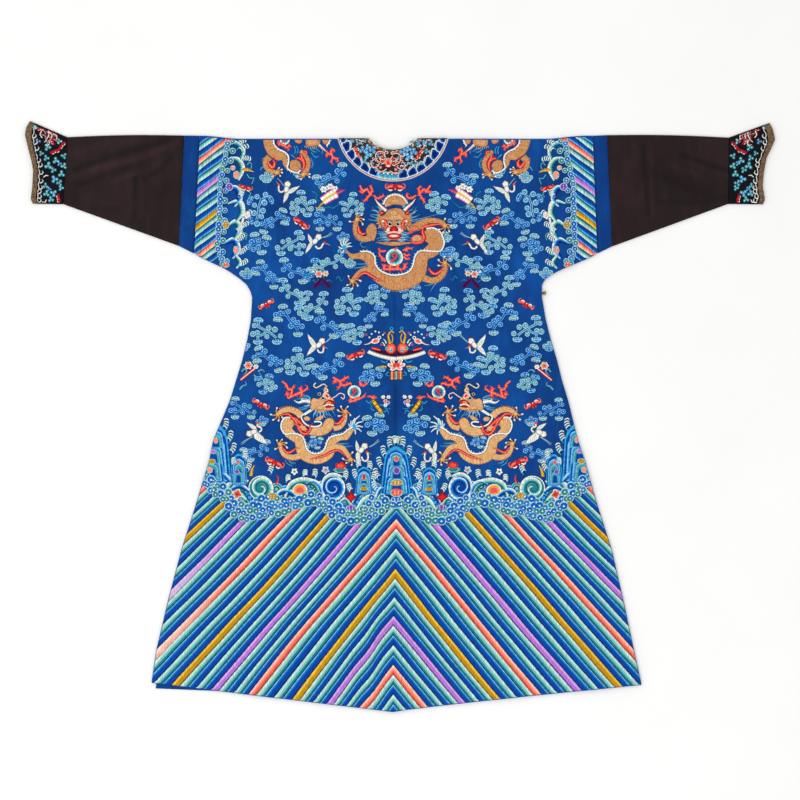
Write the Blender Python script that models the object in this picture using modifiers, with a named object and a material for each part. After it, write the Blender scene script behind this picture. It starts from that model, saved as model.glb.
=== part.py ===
# Chinese dragon robe, laid flat on its front with the back uppermost.
#
# Metres, +Z up, +Y towards the neck, +X to the right as seen from above. The origin is the middle of
# the robe's outline, on the surface that it lies on. "Left" and "right" are as seen from above.
#
# The cut is the traditional one: each half is one length of silk that runs from the back hem, over the
# shoulder fold and down to the front hem, so there is no shoulder seam. A third length, the overlap, is
# sewn to the left front at the centre and crosses the right front. The sleeves are flattened tubes.
import math

import bmesh
import bpy
import numpy as np

# Sizes of the garment
SHOULDER_Y = 0.678          # the shoulder fold beside the neck
SHOULDER_RISE = 0.0075      # its rise towards the sleeves
SHOULDER_FLAT = 0.370       # the rise starts this far from the neck
SHOULDER_BEND = 0.100       # and is whole this much further on
NECK_X = -0.016
NECK_SETBACK = 0.035        # the neck hole's centre lies this far in front of the shoulder fold
NECK_HALF_WIDTH = 0.0725
NECK_HALF_LENGTH = 0.062
NECK_BINDING = 0.008
FACING_RADIUS = 0.140       # outer edge of the cord round the neck facing
CORD_WIDTH = 0.003
CUFF_BINDING = 0.014
VENT_TOP_Y = {-1: -0.033, 1: 0.004}
VENT_INSET = 0.012          # the front lies this far inside the back below a vent
VENT_SPREAD = 0.080
OVERLAP_CENTRE_Y = 0.500    # the overlap's upper edge at the centre seam
OVERLAP_SIDE_Y = 0.300      # and under the right arm
OVERLAP_INSET = 0.003
OVERLAP_BEND = 1.5

# Thicknesses and heights
CLOTH = 0.0016              # embroidered satin with its lining
FACING = 0.0010
SEAM_GAP = 0.0003
BUTT_GAP = 0.0008           # where two edges meet end to end across a bend
CUFF_GAP = 0.0005
OVERLAP_GAP = 0.0008        # beside the overlap's long seam
LAYER_GAP = 0.0004
LAYER = CLOTH + LAYER_GAP
BACK_UNDERSIDE = 2 * LAYER
FOLD_RADIUS = CLOTH + SEAM_GAP / 2
EDGE_SPREAD = 0.012         # the layers come together over this distance from an edge
FACING_LIFT = FACING + SEAM_GAP
NECK_TRIM = CLOTH + FACING_LIFT

# The front's outer face rises over the facing within this distance of the neck, and in front of it
FACING_REACH_X = 0.220
FACING_REACH_Y = 0.470
FACING_FADE_X = 0.090
FACING_FADE_Y = 0.060
# The right front rises over the overlap, up to this distance above the overlap's edge
OVERLAP_REACH = 0.120
OVERLAP_FADE = 0.040
OVERLAP_REACH_X = 0.390
OVERLAP_FADE_X = 0.080

# The ball button under the right arm and its loop
BUTTON_Y = 0.301
BALL_RADIUS = 0.0045
SHANK_RADIUS = 0.0012
SHANK_REACH = 0.0061        # ball centre to the end of its shank
LOOP_RADIUS = 0.0023
LOOP_CORD = 0.0006
LOOP_SEAT = 0.0052          # ball centre to the middle of the loop
BALL_STEPS = 9

# Side edges of the body, from the sleeve's end down to the hem corners
# y, left x, right x
SIDE_EDGES = np.array([
    (0.398, -0.502, 0.483),
    (0.387, -0.483, 0.464),
    (0.375, -0.458, 0.435),
    (0.363, -0.431, 0.405),
    (0.350, -0.410, 0.378),
    (0.335, -0.389, 0.356),
    (0.322, -0.374, 0.348),
    (0.307, -0.365, 0.3475),
    (0.290, -0.360, 0.3475),
    (0.235, -0.363, 0.357),
    (0.187, -0.372, 0.369),
    (0.138, -0.384, 0.384),
    (0.089, -0.399, 0.396),
    (0.040, -0.414, 0.411),
    (-0.008, -0.434, 0.423),
    (-0.057, -0.455, 0.435),
    (-0.106, -0.465, 0.452),
    (-0.204, -0.494, 0.479),
    (-0.326, -0.533, 0.518),
    (-0.448, -0.565, 0.546),
    (-0.570, -0.594, 0.572),
    (-0.652, -0.606, 0.590),
    (-0.740, -0.618, 0.608),
])
UNDERARM_Y = 0.290
# Centre seam
# y, x
CENTRE_SEAM = np.array([
    (0.678, -0.0160),
    (0.080, -0.0105),
    (-0.180, -0.0080),
    (-0.350, -0.0100),
    (-0.500, -0.0160),
    (-0.740, -0.0160),
])
# Hems by side: y at the corner, y at the centre seam, and how the rise to the corner bends
BACK_HEM = {-1: (-0.650, -0.721, 1.00), 1: (-0.655, -0.721, 0.88)}
FRONT_HEM = {-1: (-0.664, -0.688, 1.00), 1: (-0.640, -0.690, 1.00)}
OVERLAP_HEM = (-0.646, -0.705, 0.95)

# Ends of the sleeve pieces by side: top x, top y, bottom x, bottom y
STUB_END = {-1: (-0.488, 0.6855, -0.502, 0.398), 1: (0.472, 0.6855, 0.483, 0.398)}
BAND_END = {-1: (-0.5256, 0.6860, -0.5392, 0.4165), 1: (0.5063, 0.6870, 0.5187, 0.4150)}
SLEEVE_END = {-1: (-0.8110, 0.6820, -0.8210, 0.5185), 1: (0.8037, 0.6810, 0.8023, 0.5190)}
SLEEVE_CROWN = 0.003        # the sleeve's fold is a little higher at its middle
# Open edge of each horse-hoof cuff, from the fold at its top to the seam at its bottom
# left x, left y, right x, right y
CUFF_EDGE = np.array([
    (-0.9020, 0.7213, 0.9028, 0.7169),
    (-0.9115, 0.7040, 0.9110, 0.7000),
    (-0.9140, 0.6860, 0.9160, 0.6760),
    (-0.9065, 0.6560, 0.9075, 0.6560),
    (-0.8985, 0.6250, 0.8950, 0.6300),
    (-0.8940, 0.5990, 0.8883, 0.5941),
    (-0.8965, 0.5560, 0.8860, 0.5600),
    (-0.9000, 0.5300, 0.8915, 0.5300),
    (-0.8950, 0.5195, 0.8870, 0.5180),
])
# The largest folds of the upper layer, as soft ridges
# x and y of one end, x and y of the other, height, half width
FOLDS = np.array([
    (0.611, 0.670, 0.611, 0.490, 0.0050, 0.028),
    (0.702, 0.640, 0.690, 0.545, 0.0025, 0.034),
    (-0.638, 0.600, -0.640, 0.480, 0.0045, 0.028),
    (-0.780, 0.560, -0.600, 0.625, 0.0025, 0.034),
    (-0.760, 0.625, -0.560, 0.660, 0.0015, 0.028),
    (-0.010, 0.060, -0.016, -0.740, 0.0030, 0.048),
    (0.410, -0.230, 0.480, -0.660, 0.0030, 0.090),
    (0.240, -0.330, 0.260, -0.690, 0.0020, 0.090),
    (-0.290, -0.280, -0.330, -0.680, 0.0025, 0.090),
    (-0.480, -0.360, -0.520, -0.660, 0.0020, 0.070),
])

# Where the rows and columns of the cloth lie
HEM_TO_UNDERARM = (0.0, 0.008, 0.09, 0.21, 0.34, 0.47, 0.60, 0.73, 0.86, 1.0)
HEM_TO_UNDERARM_FRONT = (0.0, 0.21, 0.47, 0.73, 1.0)
STUB_ROWS = (0.307, 0.322, 0.335, 0.350, 0.363, 0.375, 0.387, 0.398, 0.411, 0.440, 0.475, 0.502,
             0.520, 0.570)
# Rows that cross the neck: distances behind and in front of the neck hole's centre
NECK_SPANS_BACK = (0.0530, 0.0595, 0.0650, 0.0685, 0.0800, 0.0970, 0.1130, 0.1260, 0.1340)
NECK_SPANS_FRONT = (-0.014, 0.006, 0.024, 0.039, 0.051, 0.0595, 0.0650, 0.0685, 0.0800, 0.0970,
                    0.1130, 0.1260, 0.1340)
TIP_SHARE = 0.9986          # the row that makes a round edge's tip, as a share of its radius
NEAR_FOLD = (0.005, 0.012)
FOLD_TURNS = (90, 45, 0, -45, -90)
COLUMN_SHARES = (0.0, 0.055, 0.22, 0.44, 0.66, 0.86)
EDGE_COLUMNS = (0.012, 0.006, 0.0)
EDGE_CLEARANCE = 1.2        # the other columns end this much further in than the first of those
ROW_CLEARANCE = 0.003       # and the other rows start this much beyond the last one near the fold
TIP_CLEARANCE = 0.001       # shared rows stop this far short of a round edge's tip
FACING_END = NECK_SETBACK + FACING_RADIUS + 2 * TIP_CLEARANCE   # just in front of the facing
SLOPE_STEP = 0.008          # the side's lean is measured over this length
EDGES_ONLY = (0.0, 1.0)     # columns across a neck ring, from the hole to its outer edge
EDGES_AND_MIDDLE = (0.0, 0.5, 1.0)
OVERLAP_ROWS = (0.0, 0.04, 0.10, 0.20, 0.31, 0.43, 0.56, 0.70, 0.85, 1.0)
OVERLAP_COLUMNS = (0.0, 0.22, 0.44, 0.66, 0.86, 0.93, 1.0)
RING_SHARES = (0.15, 0.32, 0.50, 0.68, 0.85)
SLEEVE_STATIONS = {-1: (0.0, 0.17, 0.30, 0.40, 0.50, 0.68, 0.84, 1.0),
                   1: (0.0, 0.18, 0.27, 0.35, 0.43, 0.64, 0.82, 1.0)}


def smooth_step(t):
    t = min(1.0, max(0.0, t))
    return t * t * (3 - 2 * t)


def side_x(side, y):
    """The body's side edge, or the sleeve seam above the stub's lower corner."""
    top_x, top_y, low_x, low_y = STUB_END[side]
    if y >= low_y:
        return low_x + (top_x - low_x) * (y - low_y) / (top_y - low_y)
    return float(np.interp(y, SIDE_EDGES[::-1, 0], SIDE_EDGES[::-1, 1 if side < 0 else 2]))


def seam_x(y):
    return float(np.interp(y, CENTRE_SEAM[::-1, 0], CENTRE_SEAM[::-1, 1]))


def row_y(x, ahead):
    """The y of a row at a distance in front of the shoulder fold or, if negative, behind it. Rows near
    the fold rise with it towards the sleeves."""
    rise = SHOULDER_RISE * smooth_step((abs(x - NECK_X) - SHOULDER_FLAT) / SHOULDER_BEND)
    return SHOULDER_Y - abs(ahead) + rise * max(0.0, 1 - abs(ahead) / SHOULDER_BEND)


def overlap_y(share):
    """The overlap's upper edge at a share of the way from the centre seam to the side."""
    return OVERLAP_CENTRE_Y + (OVERLAP_SIDE_Y - OVERLAP_CENTRE_Y) * share**OVERLAP_BEND


def segment_distance(x, y, ax, ay, bx, by):
    """Distance from a point to a straight line between two others."""
    length = math.hypot(bx - ax, by - ay)
    along = ((x - ax) * (bx - ax) + (y - ay) * (by - ay)) / length**2
    along = min(1.0, max(0.0, along))
    return math.hypot(x - ax - along * (bx - ax), y - ay - along * (by - ay))


def edge_distance(side, x, y):
    """Distance to the body's side edge or to the shoulder fold, whichever is nearer."""
    column = 1 if side < 0 else 2
    nearest = row_y(x, 0.0) - y
    for low, high in zip(SIDE_EDGES, SIDE_EDGES[1:]):
        nearest = min(nearest, segment_distance(x, y, low[column], low[0], high[column], high[0]))
    return max(0.0, nearest)


def fold_lift(x, y):
    """Height that the soft folds add to the upper layer."""
    lift = 0.0
    for ax, ay, bx, by, height, half_width in FOLDS:
        nearness = 1 - (segment_distance(x, y, ax, ay, bx, by) / half_width) ** 2
        lift += height * max(0.0, nearness) ** 2
    return lift


def front_underside(side, x, y):
    """Height of the front's outer face, which is its lower one."""
    beside = (FACING_REACH_X + FACING_FADE_X - abs(x - NECK_X)) / FACING_FADE_X
    ahead = (y - FACING_REACH_Y + FACING_FADE_Y) / FACING_FADE_Y
    rise = (LAYER if side > 0 else FACING_LIFT) * smooth_step(beside) * smooth_step(ahead)
    if side > 0:
        share = max(0.0, x - seam_x(y)) / (side_x(1, UNDERARM_Y) - seam_x(UNDERARM_Y))
        above = y - overlap_y(min(1.0, share))
        fade = smooth_step((OVERLAP_REACH + OVERLAP_FADE - above) / OVERLAP_FADE)
        if y > STUB_END[1][3] - OVERLAP_FADE_X:
            fade *= smooth_step((OVERLAP_REACH_X + OVERLAP_FADE_X - x) / OVERLAP_FADE_X)
        rise = max(rise, LAYER * fade)
    return rise


def back_underside(side, x, y):
    """Height of the back's lower face. At an edge the back lies on the front, and inside it stands off."""
    resting = front_underside(side, x, y) + CLOTH + SEAM_GAP
    loose = max(resting, BACK_UNDERSIDE) + fold_lift(x, y)
    return resting + (loose - resting) * smooth_step(edge_distance(side, x, y) / EDGE_SPREAD)


def neck_half_width(ahead, margin):
    """Half the width of the neck hole, grown by a margin, at a distance in front of the fold."""
    share = (ahead - NECK_SETBACK) / (NECK_HALF_LENGTH + margin)
    return (NECK_HALF_WIDTH + margin) * math.sqrt(max(0.0, 1 - share * share))


def inner_x(side, y, ahead, margin):
    """Inner edge of a half: the neck hole's edge, or else the centre seam. In front, where the facing
    is split, the left half ends at that split, and the facing covers the difference."""
    seam = seam_x(y) + side * SEAM_GAP / 2
    half_width = neck_half_width(ahead, margin)
    if half_width < SEAM_GAP and (ahead < 0 or ahead > FACING_END):
        return seam
    neck = NECK_X + side * half_width
    return max(seam, neck) if side > 0 else min(seam, neck)


def shoulder_point(side, x, ahead, lift, turn):
    """A point of a layer that goes over the shoulder and lies lift outside the body's own cloth. ahead
    is its distance in front of the fold, and turn is the angle round the fold, or None on the flat."""
    y = row_y(x, ahead)
    if turn is not None:
        fold = row_y(x, 0.0)
        radius = FOLD_RADIUS + lift
        angle = math.radians(turn)
        y = fold - FOLD_RADIUS + radius * math.cos(angle)
        return (x, y, front_underside(side, x, fold) + FOLD_RADIUS + radius * math.sin(angle))
    if ahead < 0:
        return (x, y, back_underside(side, x, y) + CLOTH + lift)
    return (x, y, front_underside(side, x, y) - lift)


def shoulder_places(back, front):
    """Distances in front of the fold and turns round it, from the back's rows to the front's. Rows
    closer to the fold than the rows beside it are left out."""
    clear = NEAR_FOLD[-1] + ROW_CLEARANCE
    back = sorted({d for d in back if d > clear} | set(NEAR_FOLD), reverse=True)
    front = sorted({d for d in front if d > clear} | set(NEAR_FOLD))
    places = [(-d, None) for d in back]
    places += [(-FOLD_RADIUS * turn / 90, turn) for turn in FOLD_TURNS]
    return places + [(d, None) for d in front]


def neck_distances(reach, tips):
    """How far behind the fold and in front of it the rows of a round shape about the neck lie. They
    are the rows that all such shapes share, within its reach, and those of its own tips."""
    clear = reach - TIP_CLEARANCE
    behind = [span - NECK_SETBACK for span in NECK_SPANS_BACK + tips if span < clear or span in tips]
    before = [span + NECK_SETBACK for span in NECK_SPANS_FRONT + tips if span < clear or span in tips]
    return behind, before


def body_columns(inner, outer, slope):
    """Column places of a row, close together at the outer edge. slope is that edge's own lean."""
    side = 1 if outer > inner else -1
    width = abs(outer - inner)
    near = [distance * math.hypot(1, slope) for distance in EDGE_COLUMNS]
    reach = (width - near[0] * EDGE_CLEARANCE) / COLUMN_SHARES[-1]
    places = [share * reach for share in COLUMN_SHARES] + [width - distance for distance in near]
    return [inner + side * place for place in places]


def edge_slope(side, y):
    step = SLOPE_STEP
    if y > STUB_END[side][3]:
        return 0.0
    return (side_x(side, y - step) - side_x(side, y)) / step


def skirt_row(side, share, hem, on_front):
    """One row between the hem and the underarm. Its columns keep their shares of the width."""
    corner_y, centre_y, bend = hem
    start, end = seam_x(UNDERARM_Y), side_x(side, UNDERARM_Y)
    row = []
    for place in body_columns(start, end, 0.0):
        across = (place - start) / (end - start)
        hem_y = centre_y + (corner_y - centre_y) * across**bend
        y = hem_y + (UNDERARM_Y - hem_y) * share
        inset = VENT_INSET * smooth_step((VENT_TOP_Y[side] - y) / VENT_SPREAD) if on_front else 0.0
        inner = seam_x(y) + side * SEAM_GAP / 2
        outer = side_x(side, y) - side * inset
        x = inner + (outer - inner) * across
        height = front_underside(side, x, y) if on_front else back_underside(side, x, y) + CLOTH
        row.append((x, y, height))
    return row


def half_rows(side):
    """The outer face of one half, from the back hem over the shoulder to the front hem."""
    margin = NECK_BINDING + BUTT_GAP
    hole = NECK_HALF_LENGTH + margin
    behind, before = neck_distances(hole, (hole, hole * TIP_SHARE))
    body = [SHOULDER_Y - y for y in STUB_ROWS]
    rows = [skirt_row(side, share, BACK_HEM[side], False) for share in HEM_TO_UNDERARM]
    for ahead, turn in shoulder_places(body + behind, before + [d for d in body if d > max(before)]):
        y = row_y(STUB_END[side][0], ahead)
        outer = side_x(side, y) - side * BUTT_GAP / 2
        columns = body_columns(inner_x(side, y, ahead, margin), outer, edge_slope(side, y))
        rows.append([shoulder_point(side, x, ahead, 0.0, turn) for x in columns])
    rows += [skirt_row(side, share, FRONT_HEM[side], True) for share in HEM_TO_UNDERARM_FRONT[::-1]]
    return rows


def circle_width(radius):
    return lambda ahead: math.sqrt(max(0.0, radius**2 - (ahead - NECK_SETBACK) ** 2))


def ring_rows(side, hole, reach, inner_width, outer_width, shares):
    """Half of a ring round the neck, from its centre back over the shoulder to its centre front. hole
    and reach are its inner and outer half lengths. inner_width and outer_width give half its widths
    at a distance in front of the fold."""
    behind, before = neck_distances(reach, (hole, hole * TIP_SHARE, reach * TIP_SHARE))
    rows = []
    for ahead, turn in shoulder_places(behind, before):
        seam = side * SEAM_GAP / 2 if ahead > 0 else 0.0
        inner = NECK_X + seam + side * inner_width(ahead)
        outer = NECK_X + side * outer_width(ahead)
        places = [inner + (outer - inner) * share for share in shares]
        rows.append([shoulder_point(side, x, ahead, FACING_LIFT, turn) for x in places])
    return rows


def overlap_rows():
    """The outer face of the overlap, from its curved upper edge down to its hem."""
    corner_y, centre_y, bend = OVERLAP_HEM
    rows = []
    for down in OVERLAP_ROWS:
        row = []
        for across in OVERLAP_COLUMNS:
            low = centre_y + (corner_y - centre_y) * across**bend
            y = overlap_y(across) + (low - overlap_y(across)) * down
            inset = OVERLAP_INSET + VENT_INSET * smooth_step((VENT_TOP_Y[1] - y) / VENT_SPREAD)
            inner = seam_x(y) + OVERLAP_GAP
            outer = side_x(1, min(y, UNDERARM_Y)) - inset
            row.append((inner + (outer - inner) * across, y, 0.0))
        rows.append(row)
    return rows


def flat_ring(line, growth):
    """A flattened ring over a line from a sleeve's top fold to its bottom seam. It runs up the lower
    face, over the fold and back down the upper face."""
    points = np.array(line)
    along = np.concatenate([[0.0], np.cumsum(np.hypot(*np.diff(points, axis=0).T))])
    length = along[-1]
    radius = FOLD_RADIUS + growth
    full = BACK_UNDERSIDE + CLOTH + 2 * growth

    def at(distance, height):
        return (np.interp(distance, along, points[:, 0]), np.interp(distance, along, points[:, 1]), height)

    def upper(distance):
        """A point of the upper face, which stands higher away from the two edges."""
        x, y, _ = at(distance, 0.0)
        nearness = smooth_step((min(distance, length - distance) - radius) / EDGE_SPREAD)
        return (x, y, 2 * radius + (full + fold_lift(x, y) - 2 * radius) * nearness)

    near = [radius, radius + EDGE_SPREAD / 3, radius + EDGE_SPREAD * 2 / 3, radius + EDGE_SPREAD]
    middle = [length * share for share in RING_SHARES]
    ring = [at(distance, 0.0) for distance in (length - radius, *middle[::-1], radius)]
    for turn in (-45, 0, 45):
        angle = math.radians(turn)
        ring.append(at(radius - radius * math.cos(angle), radius + radius * math.sin(angle)))
    ring += [upper(distance) for distance in near + middle]
    ring += [upper(length - distance) for distance in reversed(near)]
    for turn in (45, 0, -45):
        angle = math.radians(turn)
        ring.append(at(length - radius + radius * math.cos(angle), radius + radius * math.sin(angle)))
    return ring


def sleeve_rows(side, start, end, shares, crown):
    """Rings of a straight sleeve piece, half a seam's gap short of its neighbours."""
    start, end = np.array(start), np.array(end)
    trim = BUTT_GAP / 2 / abs(end[0] - start[0])
    rows = []
    for share in shares:
        tx, ty, bx, by = start + (end - start) * (trim + share * (1 - 2 * trim))
        rows.append(flat_ring([(tx, ty + crown * math.sin(math.pi * share)), (bx, by)], 0.0))
    return rows[::side]


def cuff_line(side, share):
    """A line down a cuff from fold to seam. It bends like the open edge, the more the nearer to it."""
    top_x, top_y, low_x, low_y = SLEEVE_END[side]
    edge = CUFF_EDGE[:, :2] if side < 0 else CUFF_EDGE[:, 2:]
    down = np.linspace(0, 1, len(edge))[:, None]
    root = np.array((top_x, top_y)) * (1 - down) + np.array((low_x, low_y)) * down
    return root + (edge - root) * share


def cuff_rows(side):
    """The rings of a cuff, from the sleeve out to its binding, and those of the binding."""
    depth = abs(CUFF_EDGE[0, 0]) - abs(SLEEVE_END[side][0])
    bound = 1 - CUFF_BINDING / depth
    trim = CUFF_GAP / depth
    cuff = np.linspace(trim / 2, bound - trim / 2, 4)
    binding = np.linspace(bound + trim / 2, 1.0, 3)
    return ([flat_ring(cuff_line(side, share), 0.0) for share in cuff][::side],
            [flat_ring(cuff_line(side, share), SEAM_GAP) for share in binding][::side])


def make_material(name, colour, roughness, metallic=0.0):
    material = bpy.data.materials.new(name)
    material.use_nodes = True
    shader = material.node_tree.nodes["Principled BSDF"]
    shader.inputs["Base Color"].default_value = (*colour, 1.0)
    shader.inputs["Roughness"].default_value = roughness
    shader.inputs["Metallic"].default_value = metallic
    return material


def add_object(name, mesh, material):
    mesh.materials.append(material)
    added = bpy.data.objects.new(name, mesh)
    robe.objects.link(added)
    return added


def cloth(name, sheets, material, wall, closed=False):
    """Cloth of one thickness. Each sheet is a list of rows over its outer face. Points that sheets
    share are joined, and the wall goes on the inner side."""
    shape = bmesh.new()
    for rows in sheets:
        grid = [[shape.verts.new(point) for point in row] for row in rows]
        for low, high in zip(grid, grid[1:]):
            count = len(low)
            for index in range(count if closed else count - 1):
                following = (index + 1) % count
                shape.faces.new((low[index], low[following], high[following], high[index]))
    bmesh.ops.remove_doubles(shape, verts=shape.verts, dist=1e-5)
    mesh = bpy.data.meshes.new(name)
    shape.to_mesh(mesh)
    shape.free()
    solid = add_object(name, mesh, material).modifiers.new("wall", "SOLIDIFY")
    solid.thickness = wall
    solid.offset = -1.0


def facing_up(side, rows):
    """Rows in the order that turns the face outwards."""
    return [row[::side] for row in rows]


def neck_ring(name, hole, reach, inner_width, outer_width, shares, material, wall):
    sheets = [facing_up(side, ring_rows(side, hole, reach, inner_width, outer_width, shares))
              for side in (-1, 1)]
    cloth(name, sheets, material, wall)


def ball_profile():
    """Down the outside of the ball button: the end of its shank, then the ball."""
    start = math.asin(SHANK_RADIUS / BALL_RADIUS)
    profile = [(0.0, SHANK_REACH), (SHANK_RADIUS, SHANK_REACH)]
    for step in range(BALL_STEPS):
        angle = start + (math.pi - start) * step / BALL_STEPS
        profile.append((BALL_RADIUS * math.sin(angle), BALL_RADIUS * math.cos(angle)))
    return profile + [(0.0, -BALL_RADIUS)]


for old in list(bpy.data.objects):
    bpy.data.objects.remove(old)
robe = bpy.data.collections.new("dragon_robe")
bpy.context.scene.collection.children.link(robe)

blue_satin = make_material("blue_satin", (0.010, 0.070, 0.340), 0.45)
band_silk = make_material("band_silk", (0.012, 0.070, 0.300), 0.55)
sleeve_silk = make_material("sleeve_silk", (0.030, 0.018, 0.018), 0.65)
black_satin = make_material("black_satin", (0.012, 0.012, 0.018), 0.50)
gold_brocade = make_material("gold_brocade", (0.300, 0.190, 0.080), 0.50)
pale_cord = make_material("pale_cord", (0.600, 0.450, 0.400), 0.60)
brass = make_material("brass", (0.550, 0.400, 0.160), 0.35, 1.0)
loop_silk = make_material("loop_silk", (0.010, 0.050, 0.220), 0.60)

for side, name in ((-1, "left"), (1, "right")):
    cloth(name + "_half", [facing_up(side, half_rows(side))], blue_satin, CLOTH)
    band = sleeve_rows(side, STUB_END[side], BAND_END[side], (0.0, 1.0), 0.0)
    sleeve = sleeve_rows(side, BAND_END[side], SLEEVE_END[side], SLEEVE_STATIONS[side], SLEEVE_CROWN)
    cuff, binding = cuff_rows(side)
    cloth(name + "_band", [band], band_silk, CLOTH, closed=True)
    cloth(name + "_sleeve", [sleeve], sleeve_silk, CLOTH, closed=True)
    cloth(name + "_cuff", [cuff], black_satin, CLOTH, closed=True)
    cloth(name + "_cuff_binding", [binding], gold_brocade, CLOTH, closed=True)
cloth("overlap", [overlap_rows()], blue_satin, CLOTH)

facing_hole = NECK_HALF_LENGTH + NECK_BINDING + BUTT_GAP
cord_hole = FACING_RADIUS - CORD_WIDTH
facing_edge = cord_hole - SEAM_GAP
neck_ring("neck_binding", NECK_HALF_LENGTH, NECK_HALF_LENGTH + NECK_BINDING,
          lambda ahead: neck_half_width(ahead, 0.0),
          lambda ahead: neck_half_width(ahead, NECK_BINDING), EDGES_ONLY, gold_brocade, NECK_TRIM)
neck_ring("neck_facing", facing_hole, facing_edge,
          lambda ahead: neck_half_width(ahead, NECK_BINDING + BUTT_GAP),
          circle_width(facing_edge), EDGES_AND_MIDDLE, black_satin, FACING)
neck_ring("neck_cord", cord_hole, FACING_RADIUS,
          circle_width(cord_hole), circle_width(FACING_RADIUS), EDGES_ONLY, pale_cord, FACING)

# The button's own axis runs along -X, to the robe's side edge.
button_x = side_x(1, BUTTON_Y) + SEAM_GAP + SHANK_REACH
to_edge = (0.0, -math.pi / 2, 0.0)
mesh = bpy.data.meshes.new("side_button")
profile = ball_profile()
mesh.from_pydata([(r, 0.0, z) for r, z in profile], [(i, i + 1) for i in range(len(profile) - 1)], [])
button = add_object("side_button", mesh, brass)
button.location = (button_x, BUTTON_Y, BALL_RADIUS)
button.rotation_euler = to_edge
turning = button.modifiers.new("turning", "SCREW")
turning.steps = turning.render_steps = 20
turning.use_merge_vertices = True
turning.merge_threshold = 0.00001

bpy.ops.mesh.primitive_torus_add(
    major_segments=20, minor_segments=8, major_radius=LOOP_RADIUS, minor_radius=LOOP_CORD,
    location=(button_x - LOOP_SEAT, BUTTON_Y, BALL_RADIUS), rotation=to_edge)
loop = bpy.context.active_object
loop.name = "side_loop"
loop.data.materials.append(loop_silk)
for collection in list(loop.users_collection):
    collection.objects.unlink(loop)
robe.objects.link(loop)
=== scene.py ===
import math
import bpy
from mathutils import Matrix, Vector
import numpy as np


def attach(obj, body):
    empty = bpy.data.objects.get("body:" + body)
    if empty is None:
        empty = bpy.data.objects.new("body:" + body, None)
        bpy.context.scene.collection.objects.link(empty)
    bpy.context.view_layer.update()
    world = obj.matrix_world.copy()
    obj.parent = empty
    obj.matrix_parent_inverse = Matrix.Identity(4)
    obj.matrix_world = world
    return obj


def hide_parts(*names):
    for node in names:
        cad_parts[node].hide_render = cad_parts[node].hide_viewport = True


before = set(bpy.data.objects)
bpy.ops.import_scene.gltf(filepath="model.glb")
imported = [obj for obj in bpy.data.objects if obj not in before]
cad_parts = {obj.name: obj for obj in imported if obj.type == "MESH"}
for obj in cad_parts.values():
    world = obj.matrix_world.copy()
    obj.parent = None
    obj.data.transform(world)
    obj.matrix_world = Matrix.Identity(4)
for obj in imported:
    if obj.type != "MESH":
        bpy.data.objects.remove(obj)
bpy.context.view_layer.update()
rng = np.random.default_rng(18)


def smoothStep(t):  # 0 below 0, 1 above 1, and an even S between: 3 t^2 - 2 t^3
    t = np.clip(t, 0.0, 1.0)
    return t * t * (3 - 2 * t)


def rgb(code):  # "rrggbb" as the eye sees it, to linear light
    c = np.array([int(code[i:i + 2], 16) for i in (0, 2, 4)]) / 255
    return np.where(c < 0.04045, c / 12.92, ((c + 0.055) / 1.055) ** 2.4)


# The robe's cut, in metres. It repeats the CAD model's own sizes.
cut = {
    "shoulderY": 0.678, "shoulderRise": 0.0075, "neckX": -0.016, "neckSetback": 0.035,
    "neckHalfWidth": 0.0725, "neckHalfLength": 0.062, "neckBinding": 0.008, "facingRadius": 0.140,
    "cord": 0.003, "cloth": 0.0016, "facing": 0.0010, "gap": 0.0003, "layer": 0.0020,
    "edgeSpread": 0.012, "underarmY": 0.290, "cuffBinding": 0.014, "cuffGap": 0.0005,
    "sleeveCrown": 0.003, "bindingWall": 0.0029,
}
foldRadius = cut["cloth"] + cut["gap"] / 2
backUnder = 2 * cut["layer"]
facingLift = cut["facing"] + cut["gap"]

# y, left x, right x
sideEdges = np.array([
    (0.398, -0.502, 0.483), (0.387, -0.483, 0.464), (0.375, -0.458, 0.435), (0.363, -0.431, 0.405),
    (0.350, -0.410, 0.378), (0.335, -0.389, 0.356), (0.322, -0.374, 0.348), (0.307, -0.365, 0.3475),
    (0.290, -0.360, 0.3475), (0.235, -0.363, 0.357), (0.187, -0.372, 0.369), (0.138, -0.384, 0.384),
    (0.089, -0.399, 0.396), (0.040, -0.414, 0.411), (-0.008, -0.434, 0.423), (-0.057, -0.455, 0.435),
    (-0.106, -0.465, 0.452), (-0.204, -0.494, 0.479), (-0.326, -0.533, 0.518),
    (-0.448, -0.565, 0.546), (-0.570, -0.594, 0.572), (-0.652, -0.606, 0.590),
    (-0.740, -0.618, 0.608)])
# y, x
centreSeam = np.array([(0.678, -0.0160), (0.080, -0.0105), (-0.180, -0.0080), (-0.350, -0.0100),
                       (-0.500, -0.0160), (-0.740, -0.0160)])
# corner y, centre y, bend
backHem = {-1: (-0.650, -0.721, 1.00), 1: (-0.655, -0.721, 0.88)}
frontHem = {-1: (-0.664, -0.688, 1.00), 1: (-0.640, -0.690, 1.00)}
ventTop = {-1: -0.033, 1: 0.004}
# top x, top y, bottom x, bottom y
stubEnd = {-1: (-0.488, 0.6855, -0.502, 0.398), 1: (0.472, 0.6855, 0.483, 0.398)}
bandEnd = {-1: (-0.5256, 0.6860, -0.5392, 0.4165), 1: (0.5063, 0.6870, 0.5187, 0.4150)}
sleeveEnd = {-1: (-0.8110, 0.6820, -0.8210, 0.5185), 1: (0.8037, 0.6810, 0.8023, 0.5190)}
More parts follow.
